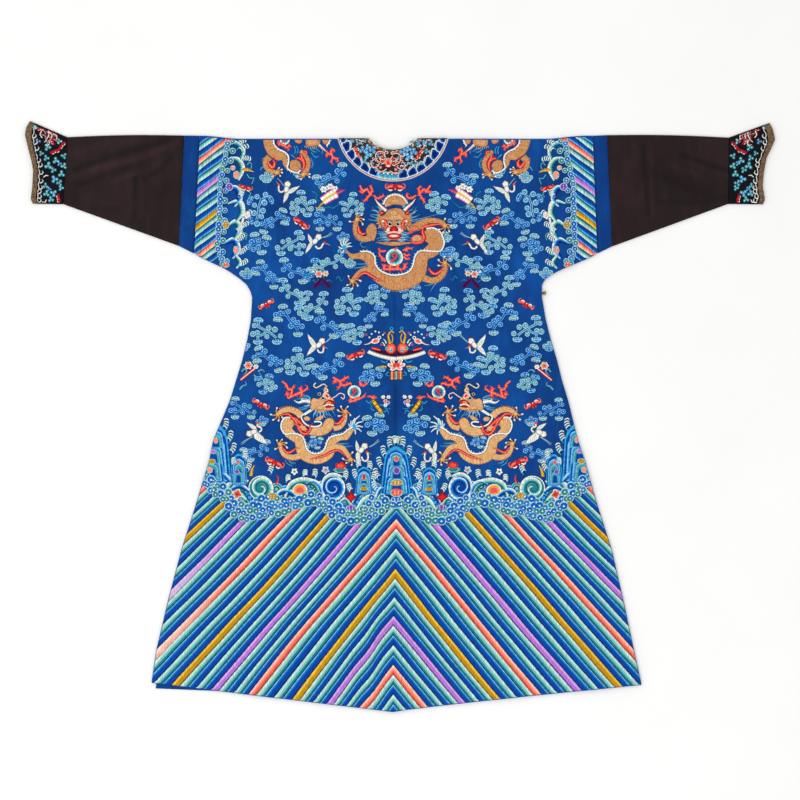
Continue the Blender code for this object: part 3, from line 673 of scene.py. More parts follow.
def halfSurface(side):
    # One half of the body: back hem, over the shoulder, front hem
    margin = cut["neckBinding"] + buttGap
    hole = cut["neckHalfLength"] + margin
    tip = hole * np.array([1, 0.9986, 0.99])  # extra rows where the neck's oval turns in sharply
    rows = np.linspace(foldClear + 0.0001, cut["shoulderY"] - cut["underarmY"] - 0.002,
                       clothGrid["upperRows"])
    ahead = np.concatenate([rows, tip - cut["neckSetback"], tip + cut["neckSetback"]])

    def innerX(place):
        seam = seamX(rowY(0.0, place))
        width = neckHalfWidth(place, margin)
        neck = np.maximum(seam, cut["neckX"] + width) if side > 0 else \
            np.minimum(seam, cut["neckX"] - width)
        plain = (width < cut["gap"]) & ((place < 0) | (place > cut["neckSetback"] + cut["facingRadius"]))
        return np.where(plain, seam, neck)

    def outerX(place):
        return sideX(side, rowY(stubEnd[side][0], place)) - side * buttGap / 2

    shares = np.linspace(0, 1, clothGrid["skirtRows"])
    back = skirtSurface(side, backHem[side], False, shares)
    front = skirtSurface(side, frontHem[side], True, shares[::-1])
    upper = shoulderSurface(side, innerX, outerX, np.unique(ahead.round(5)))
    return np.concatenate([back, upper, front])[:, ::side]


def overlapSurface():
    shares = np.linspace(0, 1, clothGrid["overlapRows"])[:, None]
    across = acrossPlaces(np.array([overlap["width"]]))[0] / overlap["width"]
    top = overlapTop(across)
    cornerY, centreY, bend = overlap["hem"]
    low = centreY + (cornerY - centreY) * across ** bend
    y = top + (low - top) * shares
    inset = overlap["inset"] + ventInset * smoothStep((ventTop[1] - y) / ventSpread)
    inner = seamX(y) + buttGap
    x = inner + (sideX(1, np.minimum(y, cut["underarmY"])) - inset - inner) * across
    return np.stack([x, y, np.zeros_like(x)], axis=-1)


def flatRing(lines, growth):
    # A flattened ring round each line from the top fold to the lower seam: up the lower face, over
    # the fold and back down the upper face. lines is stations x points x 2.
    pace = np.hypot(*np.moveaxis(np.diff(lines, axis=1), -1, 0))
    run = np.concatenate([np.zeros((len(lines), 1)), np.cumsum(pace, axis=1)], axis=1)
    length = run[:, -1:]
    radius = foldRadius + growth
    edge = np.array([0, 1, 2, 3]) * cut["edgeSpread"] / 3 + radius
    inside = edge[-1] + (length - 2 * edge[-1]) * np.linspace(0, 1, clothGrid["ringLength"])[None]
    near = np.broadcast_to(edge[:-1], (len(lines), 3))
    down = np.concatenate([near, inside, length - near[:, ::-1]], axis=1)
    turn = np.radians(np.array([-68, -45, -22, 0, 22, 45, 68]))
    bend = len(turn)
    top = np.broadcast_to(radius - radius * np.cos(turn), (len(lines), bend))
    where = np.concatenate([length - down, top, down, length - top], axis=1)
    x, y = (np.stack([np.interp(w, r, p[:, k]) for w, r, p in zip(where, run, lines)])
            for k in (0, 1))
    lift = radius + radius * np.sin(turn)
    upperX, upperY = (a[:, down.shape[1] + bend:-bend] for a in (x, y))
    nearness = smoothStep((np.minimum(down, length - down) - radius) / cut["edgeSpread"])
    full = backUnder + cut["cloth"] + 2 * growth
    upper = 2 * radius + (full + foldRise(upperX, upperY, trough["sleeve"]) - 2 * radius) * nearness
    z = np.concatenate([np.zeros_like(down), np.broadcast_to(lift, top.shape), upper,
                        np.broadcast_to(lift[::-1], top.shape)], axis=1)
    return np.stack([x, y, z], axis=-1)


def tubeSurface(side, start, end, stations, crown):
    a, b = np.array(start), np.array(end)
    trim = buttGap / 2 / abs(b[0] - a[0])
    share = np.linspace(0, 1, stations)[:, None]
    ends = a + (b - a) * (trim + share * (1 - 2 * trim))
    ends[:, 1] += crown * np.sin(math.pi * share[:, 0])
    return flatRing(ends.reshape(-1, 2, 2), 0.0)[::side]


def cuffDepth(side):
    return abs(cuffEdge[0, 0]) - abs(sleeveEnd[side][0])


def cuffBound(side):  # the share of the cuff's depth where its binding begins
    return 1 - cut["cuffBinding"] / cuffDepth(side)


def cuffLines(side, shares):  # lines down the cuff at shares of the way from the sleeve to its edge
    edge = cuffEnd(side)
    down = np.linspace(0, 1, len(edge))[:, None]
    root = np.array(sleeveEnd[side][:2]) * (1 - down) + np.array(sleeveEnd[side][2:]) * down
    line = root[None] + (edge - root)[None] * np.asarray(shares)[:, None, None]
    fine = np.linspace(0, len(edge) - 1, 33)
    return np.stack([np.stack([np.interp(fine, range(len(edge)), row[:, k]) for k in (0, 1)], axis=-1)
                     for row in line])


def neckSurface(hole, reach, innerWidth, outerWidth, columns):
    # The whole ring about the neck, both sides at once: around it, and across from hole to edge
    halves = []
    for side in (-1, 1):
        spans = np.concatenate([np.linspace(-1, 1, 90) * reach,
                                np.array([-0.9986, 0.9986, -0.985, 0.985]) * reach,
                                np.array([-1, 1, -0.9986, 0.9986]) * hole])
        place = np.unique((spans + cut["neckSetback"]).round(6))
        place = place[np.abs(place) > foldClear]
        turns = np.linspace(90, -90, clothGrid["foldTurns"])
        place = np.concatenate([place[place < 0], -foldRadius * turns / 90, place[place > 0]])
        kind = (np.abs(place) <= foldRadius + 1e-6)[:, None]
        angle = -place[:, None] / foldRadius * math.pi / 2
        gap = np.where(place > 0, side * cut["gap"] / 2, 0)
        inner = cut["neckX"] + gap + side * innerWidth(place)
        outer = cut["neckX"] + side * outerWidth(place)
        x = inner[:, None] + (outer - inner)[:, None] * np.linspace(0, 1, columns)
        y = rowY(x, place[:, None])
        radius = foldRadius + facingLift
        flat = np.where(place[:, None] < 0, backHeight(side, x, y) + facingLift,
                        frontHeight(side, x, y) - facingLift)
        fold = shoulderY(x)
        y = np.where(kind, fold - foldRadius + radius * np.cos(angle), y)
        z = np.where(kind, frontHeight(side, x, fold) + foldRadius + radius * np.sin(angle), flat)
        halves.append(np.stack([x, y, z], axis=-1)[:, ::side])
    return halves


def makeNeckRing(name, halves, material, wall):
    size = halves[0].shape[:2]
    faces = np.concatenate([gridFaces(*size), gridFaces(*size) + size[0] * size[1]])
    points = np.concatenate([half.reshape(-1, 3) for half in halves])
    kept, index = np.unique(points.round(6), axis=0, return_inverse=True)
    faces = index.reshape(-1)[faces]
    a, b = kept[faces[:, 0]] - kept[faces[:, 2]], kept[faces[:, 1]] - kept[faces[:, 3]]
    faces = faces[np.linalg.norm(np.cross(a, b), axis=1) > 1e-10]
    piece = makeMesh(name, kept, faces, material)
    thicken(piece, wall)
    return piece


robe = {}
for side, word in ((-1, "left"), (1, "right")):
    robe[word + "Half"] = makeCloth(word + "Half", halfSurface(side), blueSatin, cut["cloth"])
    bound, trim = cuffBound(side), cut["cuffGap"] / cuffDepth(side)
    cuff = cuffLines(side, np.linspace(trim / 2, bound - trim / 2, clothGrid["cuffStations"]))
    binding = cuffLines(side, np.linspace(bound + trim / 2, 1.0, 5))
    for part, surface, material in (
            ("Band", tubeSurface(side, stubEnd[side], bandEnd[side], clothGrid["bandStations"], 0.0),
             bandSilk),
            ("Sleeve", tubeSurface(side, bandEnd[side], sleeveEnd[side], clothGrid["sleeveStations"],
                                   cut["sleeveCrown"]), darkSilk),
            ("Cuff", flatRing(cuff, 0.0)[::side], blackSatin),
            ("CuffBinding", flatRing(binding, cut["gap"])[::side], brocade)):
        robe[word + part] = makeCloth(word + part, surface, material, cut["cloth"], closed=True)
robe["overlap"] = makeCloth("overlapCloth", overlapSurface(), blueSatin, cut["cloth"])

facingHole = cut["neckHalfLength"] + cut["neckBinding"] + buttGap
cordHole = cut["facingRadius"] - cut["cord"]
facingEdge = cordHole - cut["gap"]


def circleWidth(radius):
    return lambda ahead: np.sqrt(np.maximum(0, radius ** 2 - (ahead - cut["neckSetback"]) ** 2))


robe["neckBinding"] = makeNeckRing(
    "neckBinding", neckSurface(cut["neckHalfLength"], cut["neckHalfLength"] + cut["neckBinding"],
                               lambda a: neckHalfWidth(a, 0.0),
                               lambda a: neckHalfWidth(a, cut["neckBinding"]), 5), brocade,
    cut["bindingWall"])
robe["neckFacing"] = makeNeckRing(
    "neckFacing", neckSurface(facingHole, facingEdge,
                              lambda a: neckHalfWidth(a, cut["neckBinding"] + buttGap),
                              circleWidth(facingEdge), 14), facingSatin, cut["facing"])
robe["neckCord"] = makeNeckRing(
    "neckCord", neckSurface(cordHole, cut["facingRadius"], circleWidth(cordHole),
                            circleWidth(cut["facingRadius"]), 5), paleCord, cut["facing"])
print("cloth laid out")

# piece: node it stands for, slot, cut width, cut length, cut area, what it lies on
sheets = {
    "leftHalf": ("left_half", "blue_satin", 0.602, 2.795, 1.264, []),
    "rightHalf": ("right_half", "blue_satin", 0.624, 2.795, 1.285, ["overlapCloth"]),
    "overlap": ("overlap", "blue_satin", 0.604, 1.205, 0.512, []),
    "leftBand": ("left_band", "band_silk", 0.040, 0.580, 0.0207, []),
    "rightBand": ("right_band", "band_silk", 0.038, 0.580, 0.0194, []),
    "leftSleeve": ("left_sleeve", "sleeve_silk", 0.288, 0.546, 0.124, []),
    "rightSleeve": ("right_sleeve", "sleeve_silk", 0.300, 0.546, 0.127, []),
    "leftCuff": ("left_cuff", "black_satin", 0.090, 0.400, 0.0255, []),
    "rightCuff": ("right_cuff", "black_satin", 0.098, 0.400, 0.0280, []),
    "leftCuffBinding": ("left_cuff_binding", "gold_brocade", 0.0145, 0.420, 0.0050, []),
    "rightCuffBinding": ("right_cuff_binding", "gold_brocade", 0.0145, 0.420, 0.0050, []),
    "neckFacing": ("neck_facing", "black_satin", 0.274, 0.274, 0.0412, ["leftHalf", "rightHalf"]),
    "neckBinding": ("neck_binding", "gold_brocade", 0.010, 0.420, 0.0036, ["leftHalf", "rightHalf"]),
}
nodes = {key: row[:2] for key, row in sheets.items()} | {"neckCord": ("neck_cord", "pale_cord")}
for key, (node, slot) in nodes.items():
    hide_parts(node)
    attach(robe[key], "root")
threads = {key: [] for key in sheets}
threads["neckFacing"].append(robe["neckCord"])


# How high above the cloth the lowest threads of a piece lie, in metres
above = {"plain": 0.0003, "figure": 0.0004, "foam": 0.0006}


def embroider(sheet, bag, name, material=floss, clip=None, base=above["plain"], height=bodyTop):
    threads[sheet].append(sewDown(bag, name, height, material, clip, base))


# Dyed silks, by name
dyes = {name: rgb(code) for name, code in {
    "white": "f4f2e6", "mint": "bfe2d4", "paleTeal": "78c0bc", "teal": "22808c", "deepTeal": "094a5a",
    "foamLine": "a2d0d2", "froth": "b6dde0", "paleCyan": "84c6e8", "cyan": "34a2dc", "bright": "0e70c6",
    "royal": "0444a0", "navy": "021f62", "ink": "020e34", "peach": "fcc2a8", "salmon": "f88c74",
    "coral": "ee5c48", "deepCoral": "b2382a", "palePurple": "d6a2e4", "lilac": "b672d2",
    "purple": "863cb8", "deepPurple": "481c74", "plum": "440c2c", "yellow": "eabf34",
    "ochre": "c28b0e", "deepOchre": "744e06", "gold": "cb8843", "paleGold": "e8b173",
    "tan": "c47434", "brown": "7c4618", "red": "dc241e", "deepRed": "940f18", "crimson": "be1c38",
    "pink": "f2968a", "black": "100d16", "steel": "5d9fb0", "cloudLine": "acd8de", "skyLine": "7cc2ea",
    "sea": "3f94c8", "seaTeal": "3c98a6", "sand": "f2bb74", "grey": "9aa2a6"}.items()}

# One padded stripe: its bands from the light edge to the dark one
stripeBands = {
    "teal": ("mint", "mint", "paleTeal", "teal", "deepTeal"),
    "blue": ("skyLine", "bright", "royal", "royal", "navy"),
    "salmon": ("peach", "peach", "salmon", "coral", "deepCoral"),
    "purple": ("palePurple", "palePurple", "lilac", "lilac", "deepPurple"),
    "gold": ("yellow", "yellow", "ochre", "ochre", "deepOchre")}
hem = {"stripes": range(-31, 20), "columns": 150, "reach": 250, "wave": 0.7, "pucker": 1.5,
       "margin": 0.0016, "pad": 0.0012, "accents": ("salmon", "gold", "purple"), "foamMiddle": 396.3,
       "centreAt": -0.7, "sideAt": -0.65}
# Two stripes are faded towards the left edge: which, how much, from where and over what span
worn = {"stripes": (-15, -20), "share": 0.42, "place": 150, "span": 90}
# Every fifth stripe: its number, chart row at the centre, slope and bend on the left, and on the right
hemCourse = np.array([
    (-31, 286.0, 1.04, -1.5e-4, 1.04, -1.5e-4), (-25, 329.3, 1.06, -3.0e-4, 1.06, -3.0e-4),
    (-20, 363.8, 1.03, 0.0, 1.06, -1.6e-4), (-15, 399.8, 1.11, -1.4e-4, 1.035, 0.9e-4),
    (-10, 434.1, 1.23, -3.4e-4, 1.11, 0.4e-4), (-5, 479.5, 1.20, -0.9e-4, 1.17, -1.5e-4),
    (0, 523.3, 1.14, 5.0e-4, 1.175, 0.9e-4), (5, 573.6, 1.30, 0.0, 1.25, -3.0e-4),
    (10, 620.4, 1.30, 4.0e-4, 1.20, 0.0), (15, 669.6, 1.27, 0.0, 1.22, 0.0), (20, 719, 1.25, 0, 1.25, 0)])
bandEdges = np.array([-0.48, -0.37, -0.17, 0.10, 0.34, 0.48])
padProfile = np.array([0.0, 0.62, 0.95, 0.95, 0.60, 0.0])


def accentOf(k, accents):  # every fifth stripe has a warm colour, and blue and teal alternate between
    if k % 5:
        return "teal" if (k % 5) % 2 else "blue"
    return accents[(k // 5) % len(accents)]


def hemY(x):  # the back's hem as y over x
    middle = seamX(hem["centreAt"])
    lows = []
    for side in (-1, 1):
        across = np.clip(np.abs(x - middle) / abs(sideX(side, hem["sideAt"]) - middle), 0, 1)
        cornerY, centreY, bend = backHem[side]
        lows.append(centreY + (cornerY - centreY) * across ** bend)
    return np.where(x < middle, *lows)


# Where the stripes stop under the foam: squares from the centre, then down the chart
foamLine = np.array([(0, 503), (12, 508), (20, 514), (34, 519), (50, 521), (62, 516), (74, 506),
                     (82, 502), (96, 504), (110, 512), (124, 513), (136, 515), (150, 519), (160, 516),
                     (172, 500), (184, 492), (192, 484), (202, 474), (240, 470)])


def skirtClip(x, y):
    m = hem["margin"]
    low = hemY(x) + m
    u = chartOf(x, y)[0]
    top = (originV - np.interp(np.abs(u - hem["foamMiddle"]), *foamLine.T)) * gridStep
    left, right = sideX(-1, y) + m, sideX(1, y) - m
    inside = (y > low) & (y < top) & (x > left) & (x < right)
    newY = np.clip(y, low, top)
    return inside, np.stack([np.clip(x, sideX(-1, newY) + m, sideX(1, newY) - m), newY], axis=1)


def stripeEdge(k, away, side):
    # Row of the line between stripes: its row at the centre, then slope times the distance and bend
    # times its square, and a soft wave, which is a sum of sines
    middle, slope, bend = (np.interp(k, hemCourse[:, 0], hemCourse[:, c])
                           for c in ((1, 2, 3) if side < 0 else (1, 4, 5)))
    waves = ((1 / 19, 0.45, 0.6), (1 / 8.3, 1.9, 0.3), (2.3, 5.1, 0.24), (3.7, 2.9, 0.2))
    ripple = sum(size * np.sin(away * pace + k * shift + side) for pace, shift, size in waves)
    # The cloth is puckered low down beside the seam, on the left only
    pucker = hem["pucker"] * (side < 0) * smoothStep((k - 3) / 6) * np.sin(away / 5.5 + k * 0.3)
    return middle + slope * away + bend * away ** 2 + pucker * np.exp(-((away - 22) / 16) ** 2) \
        + hem["wave"] * ripple * smoothStep(away / 14)


for side, word in ((-1, "left"), (1, "right")):
    away = np.linspace(0, hem["reach"], hem["columns"])[:, None]
    fade = worn["share"] * easeUp(away[:-1], worn["place"], worn["span"])[..., None] * (side < 0)
    for k in hem["stripes"]:
        v = stripeEdge(k + bandEdges[None], away, side)
        centre = originU + seamX((originV - v) * gridStep) / gridStep + 0.3
        squares = np.stack([centre + side * away, v], axis=-1)
        rise = hem["pad"] * padProfile[None] * np.ones_like(away)
        lay = np.stack(np.broadcast_arrays(away * 1.6, bandEdges[None] * 6), axis=-1)
        bands = np.array([dyes[band] for band in stripeBands[accentOf(k, hem["accents"])]])
        bands = bands + (dyes["white"] - bands) * fade * (k in worn["stripes"])
        gridSurface("hem", squares, bands, rise, lay)
    embroider(word + "Half", "hem", word + "HemStripes", clip=skirtClip)

# The sleeve stripes rise towards the neck; their light edges lie below
sleeveStripe = {"stripes": range(-6, 18), "columns": 14, "reach": (190, 230), "slope": 0.74,
                "anchor": 199.4, "mirror": 792.8, "pad": 0.0009, "wave": 0.35, "pitch": 6.4,
                "places": ((-5, 0, 5, 10, 15), (128.8, 160.7, 191.9, 224.8, 254.5)),
                "accents": ("salmon", "purple", "gold")}
sleeveFoam = np.array([(137, 226.5), (150, 226.0), (165, 223.0), (180, 219.5), (200, 219.0),
                       (225, 218.5), (245, 216.5), (256, 219.0), (262, 222.0)])


# Threads keep this far inside the cloth's edges
edgeMargin = {"side": 0.0012, "bodyTop": 0.0032, "armTop": 0.0035, "facingTop": 0.0034}


def armEdges(side):
    def clip(x, y):
        v = chartOf(x, y)[1]
        m = edgeMargin["side"]
        stub = sideX(side, np.maximum(y, stubEnd[side][3])) - side * m
        foam = (np.interp(v, *sleeveFoam.T) - originU) * gridStep
        foam = foam if side < 0 else (sleeveStripe["mirror"] - 2 * originU) * gridStep - foam
        low, high = np.minimum(stub, foam), np.maximum(stub, foam)
        under = np.interp(x, *underLine(side)) + m
        top = shoulderY(x) - edgeMargin["armTop"]
        inside = (x > low) & (x < high) & (y < top) & (y > under)
        newY = np.clip(y, under, top)
        return inside, np.stack([np.clip(x, low, high), newY], axis=1)
    return clip


def underLine(side):  # the sleeve's lower edge as y over x, x rising
    column = 1 if side < 0 else 2
    order = np.argsort(sideEdges[:9, column])
    return sideEdges[order, column], sideEdges[order, 0]


for side, word in ((-1, "left"), (1, "right")):
    u = np.linspace(*sleeveStripe["reach"], sleeveStripe["columns"])[:, None]
    for k in sleeveStripe["stripes"]:
        index = k + bandEdges[::-1][None]
        first, last = sleeveStripe["places"][0][0], sleeveStripe["places"][0][-1]
        v = np.interp(index, *sleeveStripe["places"]) \
            + (index > last) * (index - last) * sleeveStripe["pitch"] \
            - (index < first) * (first - index) * sleeveStripe["pitch"]
        v = v - sleeveStripe["slope"] * (u - sleeveStripe["anchor"]) \
            + sleeveStripe["wave"] * np.sin(u / 5 + k * 1.3 + side)
        across = u if side < 0 else sleeveStripe["mirror"] - u
        squares = np.stack([np.broadcast_to(across, v.shape), v], axis=-1)
        rise = sleeveStripe["pad"] * padProfile[None] * np.ones_like(u)
        lay = np.stack(np.broadcast_arrays(u * 1.3, index * 5), axis=-1)
        bands = stripeBands[accentOf(k, sleeveStripe["accents"])]
        gridSurface("arm", squares, [dyes[band] for band in bands], rise, lay)
    embroider(word + "Half", "arm", word + "SleeveStripes", clip=armEdges(side))
print("stripes sewn")

# A cloud: curling stems, round lobes, and flat caps. Places are in squares from its middle.
cloudForms = {
    "branch": ([[(-3, -9), (0, -4), (3, 1), (8, 6), (11, 11)], [(0, -4), (-5, -5), (-9, -4)],
                [(8, 6), (13, 6)]],
               [(1.5, -8), (-11, -4.5), (-6.5, -6), (6.5, 0), (4, 6.5), (15, 7), (10.5, 3)],
               [(-4, -12.5, -6), (-9, 0.5, 4), (11, 14.5, 0)]),
    "spread": ([[(-12, -6.5), (-7, -4), (-1, -1), (4, 2), (8.5, 6)], [(-1, -1), (-6, 3), (-12, 3.5)],
                [(-9, -5), (-9.5, -9)], [(-10, 4), (-10, 7)]],
               [(-13.5, -6.5), (1, -4), (7, -2.5), (-1, 4.5), (-15, 2), (-10.5, 1), (12.5, 4)],
               [(-9.5, -11.5, 3), (-10, 9.5, 0), (9, 9.5, 0)]),
    "wave": ([[(-13, 5), (-7, 4), (-2, 1.5), (4, 0.5), (9, -4), (12, -8)], [(-8, 4), (-8, 8)]],
             [(-15, 4), (-8, 0.5), (-3, -1.5), (5, 4.5), (6.5, -5), (12.5, -1.5), (-11.5, 8)],
             [(-7, 10, 0), (12, -10.5, 5), (-15, -1, 0)]),
    "knot": ([[(0, -8), (0.5, -2), (5, 2), (8, 8)], [(0.5, -2), (-5, 2), (-7, 7)],
              [(5, 2), (10, 0)]],
             [(3.5, -5.5), (-4, -3), (-9.5, 0), (-10, 5), (-3.5, 6), (4, -1), (11, 6), (2, 8)],
             [(0, -11.5, 0), (12, -1, -14), (-7, 10.5, 0), (7, 12, 0)]),
    "small": ([[(-7, 2), (-2, -1), (3, 0), (7, -3)], [(-2, -1), (-3, -6)]],
              [(-9.5, 3), (-6, -2), (1, -4), (8.5, 0), (0.5, 3.5), (-4.5, 5.5)],
              [(-3, -9, -8), (9, -6, 12), (4, 8, -4)]),
    "bit": ([[(-3, 1), (3, 0)]], [(-4.5, 1.5), (0, -2), (4.5, 0.5)], [(0, 4, 0)]),
    "column": ([[(0, -12), (-1, -7), (-3, -2), (-3, 4), (-5, 10)], [(-1, -9), (4, -12)]],
               [(-4.5, -13), (4, -15), (3, -7), (-7, -4.5), (1.5, 1), (-7.5, 3.5), (0, 7),
                (-4.5, 14)], [(9, -10, 62), (-10.5, 10, 72), (-11, -9, -60)])}
cloudSize = {"lobe": 2.75, "cap": (4.9, 3.0), "stem": 2.3}
# Outline, fill, inner line and heart
cloudSilk = {"mint": ("cloudLine", "steel", "sea", "foamLine"),
             "blue": ("skyLine", "bright", "royal", "cyan"),
             "sea": ("cloudLine", "cyan", "royal", "skyLine")}
capShape = np.array([(-1, 0.15), (-0.95, -0.35), (-0.65, -0.8), (-0.25, -1), (0.25, -1), (0.65, -0.8),
                     (0.95, -0.35), (1, 0.15), (0.78, 0.62), (0.5, 0.4), (0.24, 0.72), (0, 0.5),
                     (-0.24, 0.72), (-0.5, 0.4), (-0.78, 0.62)])


def dots(bag, points, r, dye, lift, n=6):  # small knots, all in one surface
    p = np.asarray(points, float)
    a = np.linspace(0, 2 * math.pi, n, endpoint=False)
    rim = p[:, None] + r * np.stack([np.cos(a), np.sin(a)], axis=-1)[None]
    squares = np.concatenate([rim.reshape(-1, 2), p])
    first = np.arange(len(p))[:, None] * n
    k = np.arange(n)[None]
    tri = np.stack([first + k, first + (k + 1) % n,
                    np.broadcast_to(len(p) * n + np.arange(len(p))[:, None], (len(p), n))], axis=-1)
    rise = np.concatenate([np.full(len(p) * n, lift), np.full(len(p), lift + 0.0003)])
    addSurface(bag, squares, tri.reshape(-1, 3), np.tile(dyes[dye], (len(p) * n, 1)), rise,
               np.zeros((len(squares), 2)))


def cloud(bag, u, v, form, stemSilk, capSilk, flip=1, turn=0.0, scale=1.0):
    stems, lobes, caps = cloudForms[form]
    line, fill, seam, heart = cloudSilk[stemSilk]
    for index, (p, q) in enumerate(placed(lobes, u, v, turn, scale, flip)):
        # a curl: its inner rings sit off the middle
        r = cloudSize["lobe"] * scale * (1 + 0.1 * math.sin(index * 2.3 + u))
        c, s = r * math.cos(index * 1.9 + u), r * math.sin(index * 1.9 + u)
        patch(bag, oval(p, q, r, r, n=11), (1, 0.9, 0.76, 0.4, 0.22), (line, line, fill, seam, heart),
              0.0002, 0.0004, (p + 0.22 * c, q + 0.22 * s))
        dots(bag, [(p + 0.2 * c, q + 0.2 * s)], 0.55, "white", 0.0009, 5)
    for stem in stems:
        ribbon(bag, placed(stem, u, v, turn, scale, flip), cloudSize["stem"] * scale,
               (line, fill, seam, fill, line), lift=0.0003, dome=0.0003, step=2.2,
               edges=(-1, -0.66, -0.3, 0.3, 0.66, 1))
    line, fill, seam, heart = cloudSilk[capSilk]
    for a, b, lean in caps:
        (p, q), = placed([(a, b)], u, v, turn, scale, flip)
        up = 1 if b < 1 else -1  # a cap's flat side is turned to its cloud
        size = np.array(cloudSize["cap"]) * scale * (1, up)
        patch(bag, placed(capShape * size, p, q, lean * flip + turn), (1, 0.89, 0.76, 0.48, 0.3),
              (line, line, fill, seam, heart), 0.0004, 0.0005)
        dots(bag, placed(np.array([(-0.4, -0.1), (0.4, -0.1)]) * size, p, q, lean * flip + turn), 0.6,
             "white", 0.0010, 5)


# u, v, form, stem silk, cap silk, then flip, turn and scale where they aren't 1, 0 and 1
cloudPlaces = [
    (331.6, 177, "wave", "blue", "mint", 1, -6), (261.5, 209.7, "column", "sea", "blue"),
    (301, 203.3, "knot", "mint", "sea", 1, 0, 0.92), (276.8, 221, "branch", "blue", "mint", -1, 14, 0.92),
    (353.3, 204.6, "knot", "mint", "sea", -1, 0, 0.86), (329, 220, "spread", "blue", "mint", 1, 0, 0.9),
    (257.7, 244, "small", "blue", "mint"), (289.5, 244, "spread", "mint", "sea", -1, 0, 0.95),
    (330.4, 262, "wave", "mint", "blue"), (264, 273.5, "branch", "blue", "mint", 1, 0, 0.9),
    (296, 271, "wave", "blue", "mint", -1), (293.4, 292.6, "wave", "mint", "sea", -1, 8, 0.98),
    (346.9, 301.5, "knot", "mint", "sea"), (313.8, 306.6, "wave", "mint", "sea", 1, -10),
    (287, 319.4, "branch", "blue", "mint"), (329, 324.5, "wave", "blue", "mint", -1, 12),
    (267.9, 332, "spread", "mint", "sea"), (353.3, 334.7, "small", "mint", "sea", 1, 0, 0.95),
    (377.6, 314.3, "branch", "blue", "mint", -1, 0, 0.8), (376.3, 296.4, "small", "mint", "blue"),
    (265.3, 359, "branch", "blue", "mint", 1, -14, 0.95), (297.2, 361.5, "knot", "mint", "sea"),
    (329, 366.6, "wave", "blue", "mint", 1, -4), (371.2, 375.5, "small", "blue", "mint"),
    (266.6, 384.4, "small", "mint", "blue", -1, 0, 0.9),
    (243.6, 408.7, "spread", "blue", "mint", 1, 0, 0.85),
    (376.3, 424.7, "small", "blue", "mint", -1, 0, 1.05),
    (256.4, 450.8, "wave", "blue", "mint", 1, 0, 0.85), (266.6, 176, "bit", "mint", "mint"),
    (315, 442.5, "small", "blue", "mint", 1, 0, 0.62), (458.7, 176.5, "wave", "blue", "mint", -1, 4),
    (489.3, 202, "knot", "mint", "sea", -1, 0, 0.92), (437, 203.3, "small", "mint", "sea"),
    (461.2, 217.3, "spread", "blue", "mint", -1, 0, 0.9),
    (512.2, 221.2, "branch", "blue", "mint", 1, -14, 0.92), (528.6, 207.1, "column", "sea", "blue", -1),
    (447.2, 252, "bit", "blue", "blue"), (498.2, 242.9, "spread", "mint", "sea", 1, 0, 0.95),
    (531.4, 245.4, "small", "blue", "mint", -1), (462.5, 260.2, "wave", "mint", "blue", -1),
    (493, 268.4, "wave", "blue", "mint"), (526.3, 271, "branch", "blue", "mint", -1, 0, 0.9),
    (444.6, 301.5, "knot", "mint", "sea", -1), (499, 290, "wave", "mint", "sea", 1, -8, 0.98),
    (477.8, 304, "wave", "mint", "blue", -1, 12), (504.6, 318, "branch", "blue", "mint", -1),
    (461.2, 322, "wave", "blue", "mint", 1, -12), (526.3, 329.6, "spread", "mint", "sea", -1),
    (439.5, 334.7, "small", "mint", "sea", -1, 0, 0.95),
    (527.6, 357.7, "branch", "blue", "mint", -1, 14, 0.95), (493, 360, "knot", "mint", "sea", -1),
    (462.5, 365, "wave", "blue", "mint", -1, 4), (421.7, 375.5, "small", "blue", "mint", -1),
    (527.6, 383, "small", "mint", "blue", 1, 0, 0.9), (550.5, 410, "spread", "blue", "mint", -1, 0, 0.85),
    (416, 424.7, "small", "blue", "mint", 1, 0, 1.05), (536, 452, "wave", "blue", "mint", -1, 0, 0.85),
    (477.8, 441.6, "small", "blue", "mint", 1, 0, 0.62), (413, 296.4, "small", "mint", "blue", -1),
    (414, 314.3, "branch", "blue", "mint", 1, 0, 0.8), (350, 262, "bit", "mint", "mint", 1, 20, 0.9),
    (343, 236, "bit", "blue", "mint", 1, 0, 0.9), (446, 236, "bit", "mint", "mint", -1, 0, 0.9),
    (300, 172, "bit", "blue", "mint"), (498, 171, "bit", "blue", "mint"),
    (526, 176, "bit", "mint", "mint", -1), (247, 272, "bit", "mint", "blue"),
    (546, 272, "bit", "mint", "blue"), (303, 447, "bit", "mint", "mint", 1, 0, 0.9),
    (490, 447, "bit", "mint", "mint", 1, 0, 0.9), (244, 345, "bit", "mint", "blue", 1, 0, 0.9),
    (549, 345, "bit", "mint", "blue", 1, 0, 0.9), (262, 420, "bit", "blue", "mint", 1, 0, 0.9),
    (531, 420, "bit", "blue", "mint", 1, 0, 0.9)]


def bodyClip(x, y):  # keeps threads off the very edges of the body
    m = edgeMargin["side"]
    left, right = sideX(-1, y) + m, sideX(1, y) - m
    top = shoulderY(x) - edgeMargin["bodyTop"]
    inside = (x > left) & (x < right) & (y < top)
    newY = np.minimum(y, top)
    return inside, np.stack([np.clip(x, sideX(-1, newY) + m, sideX(1, newY) - m), newY], axis=1)


for u, v, *rest in cloudPlaces:
    cloud("leftClouds" if u < 396 else "rightClouds", u, v, *rest)
for word in ("left", "right"):
    embroider(word + "Half", word + "Clouds", word + "Clouds", clip=bodyClip)
print("clouds sewn")


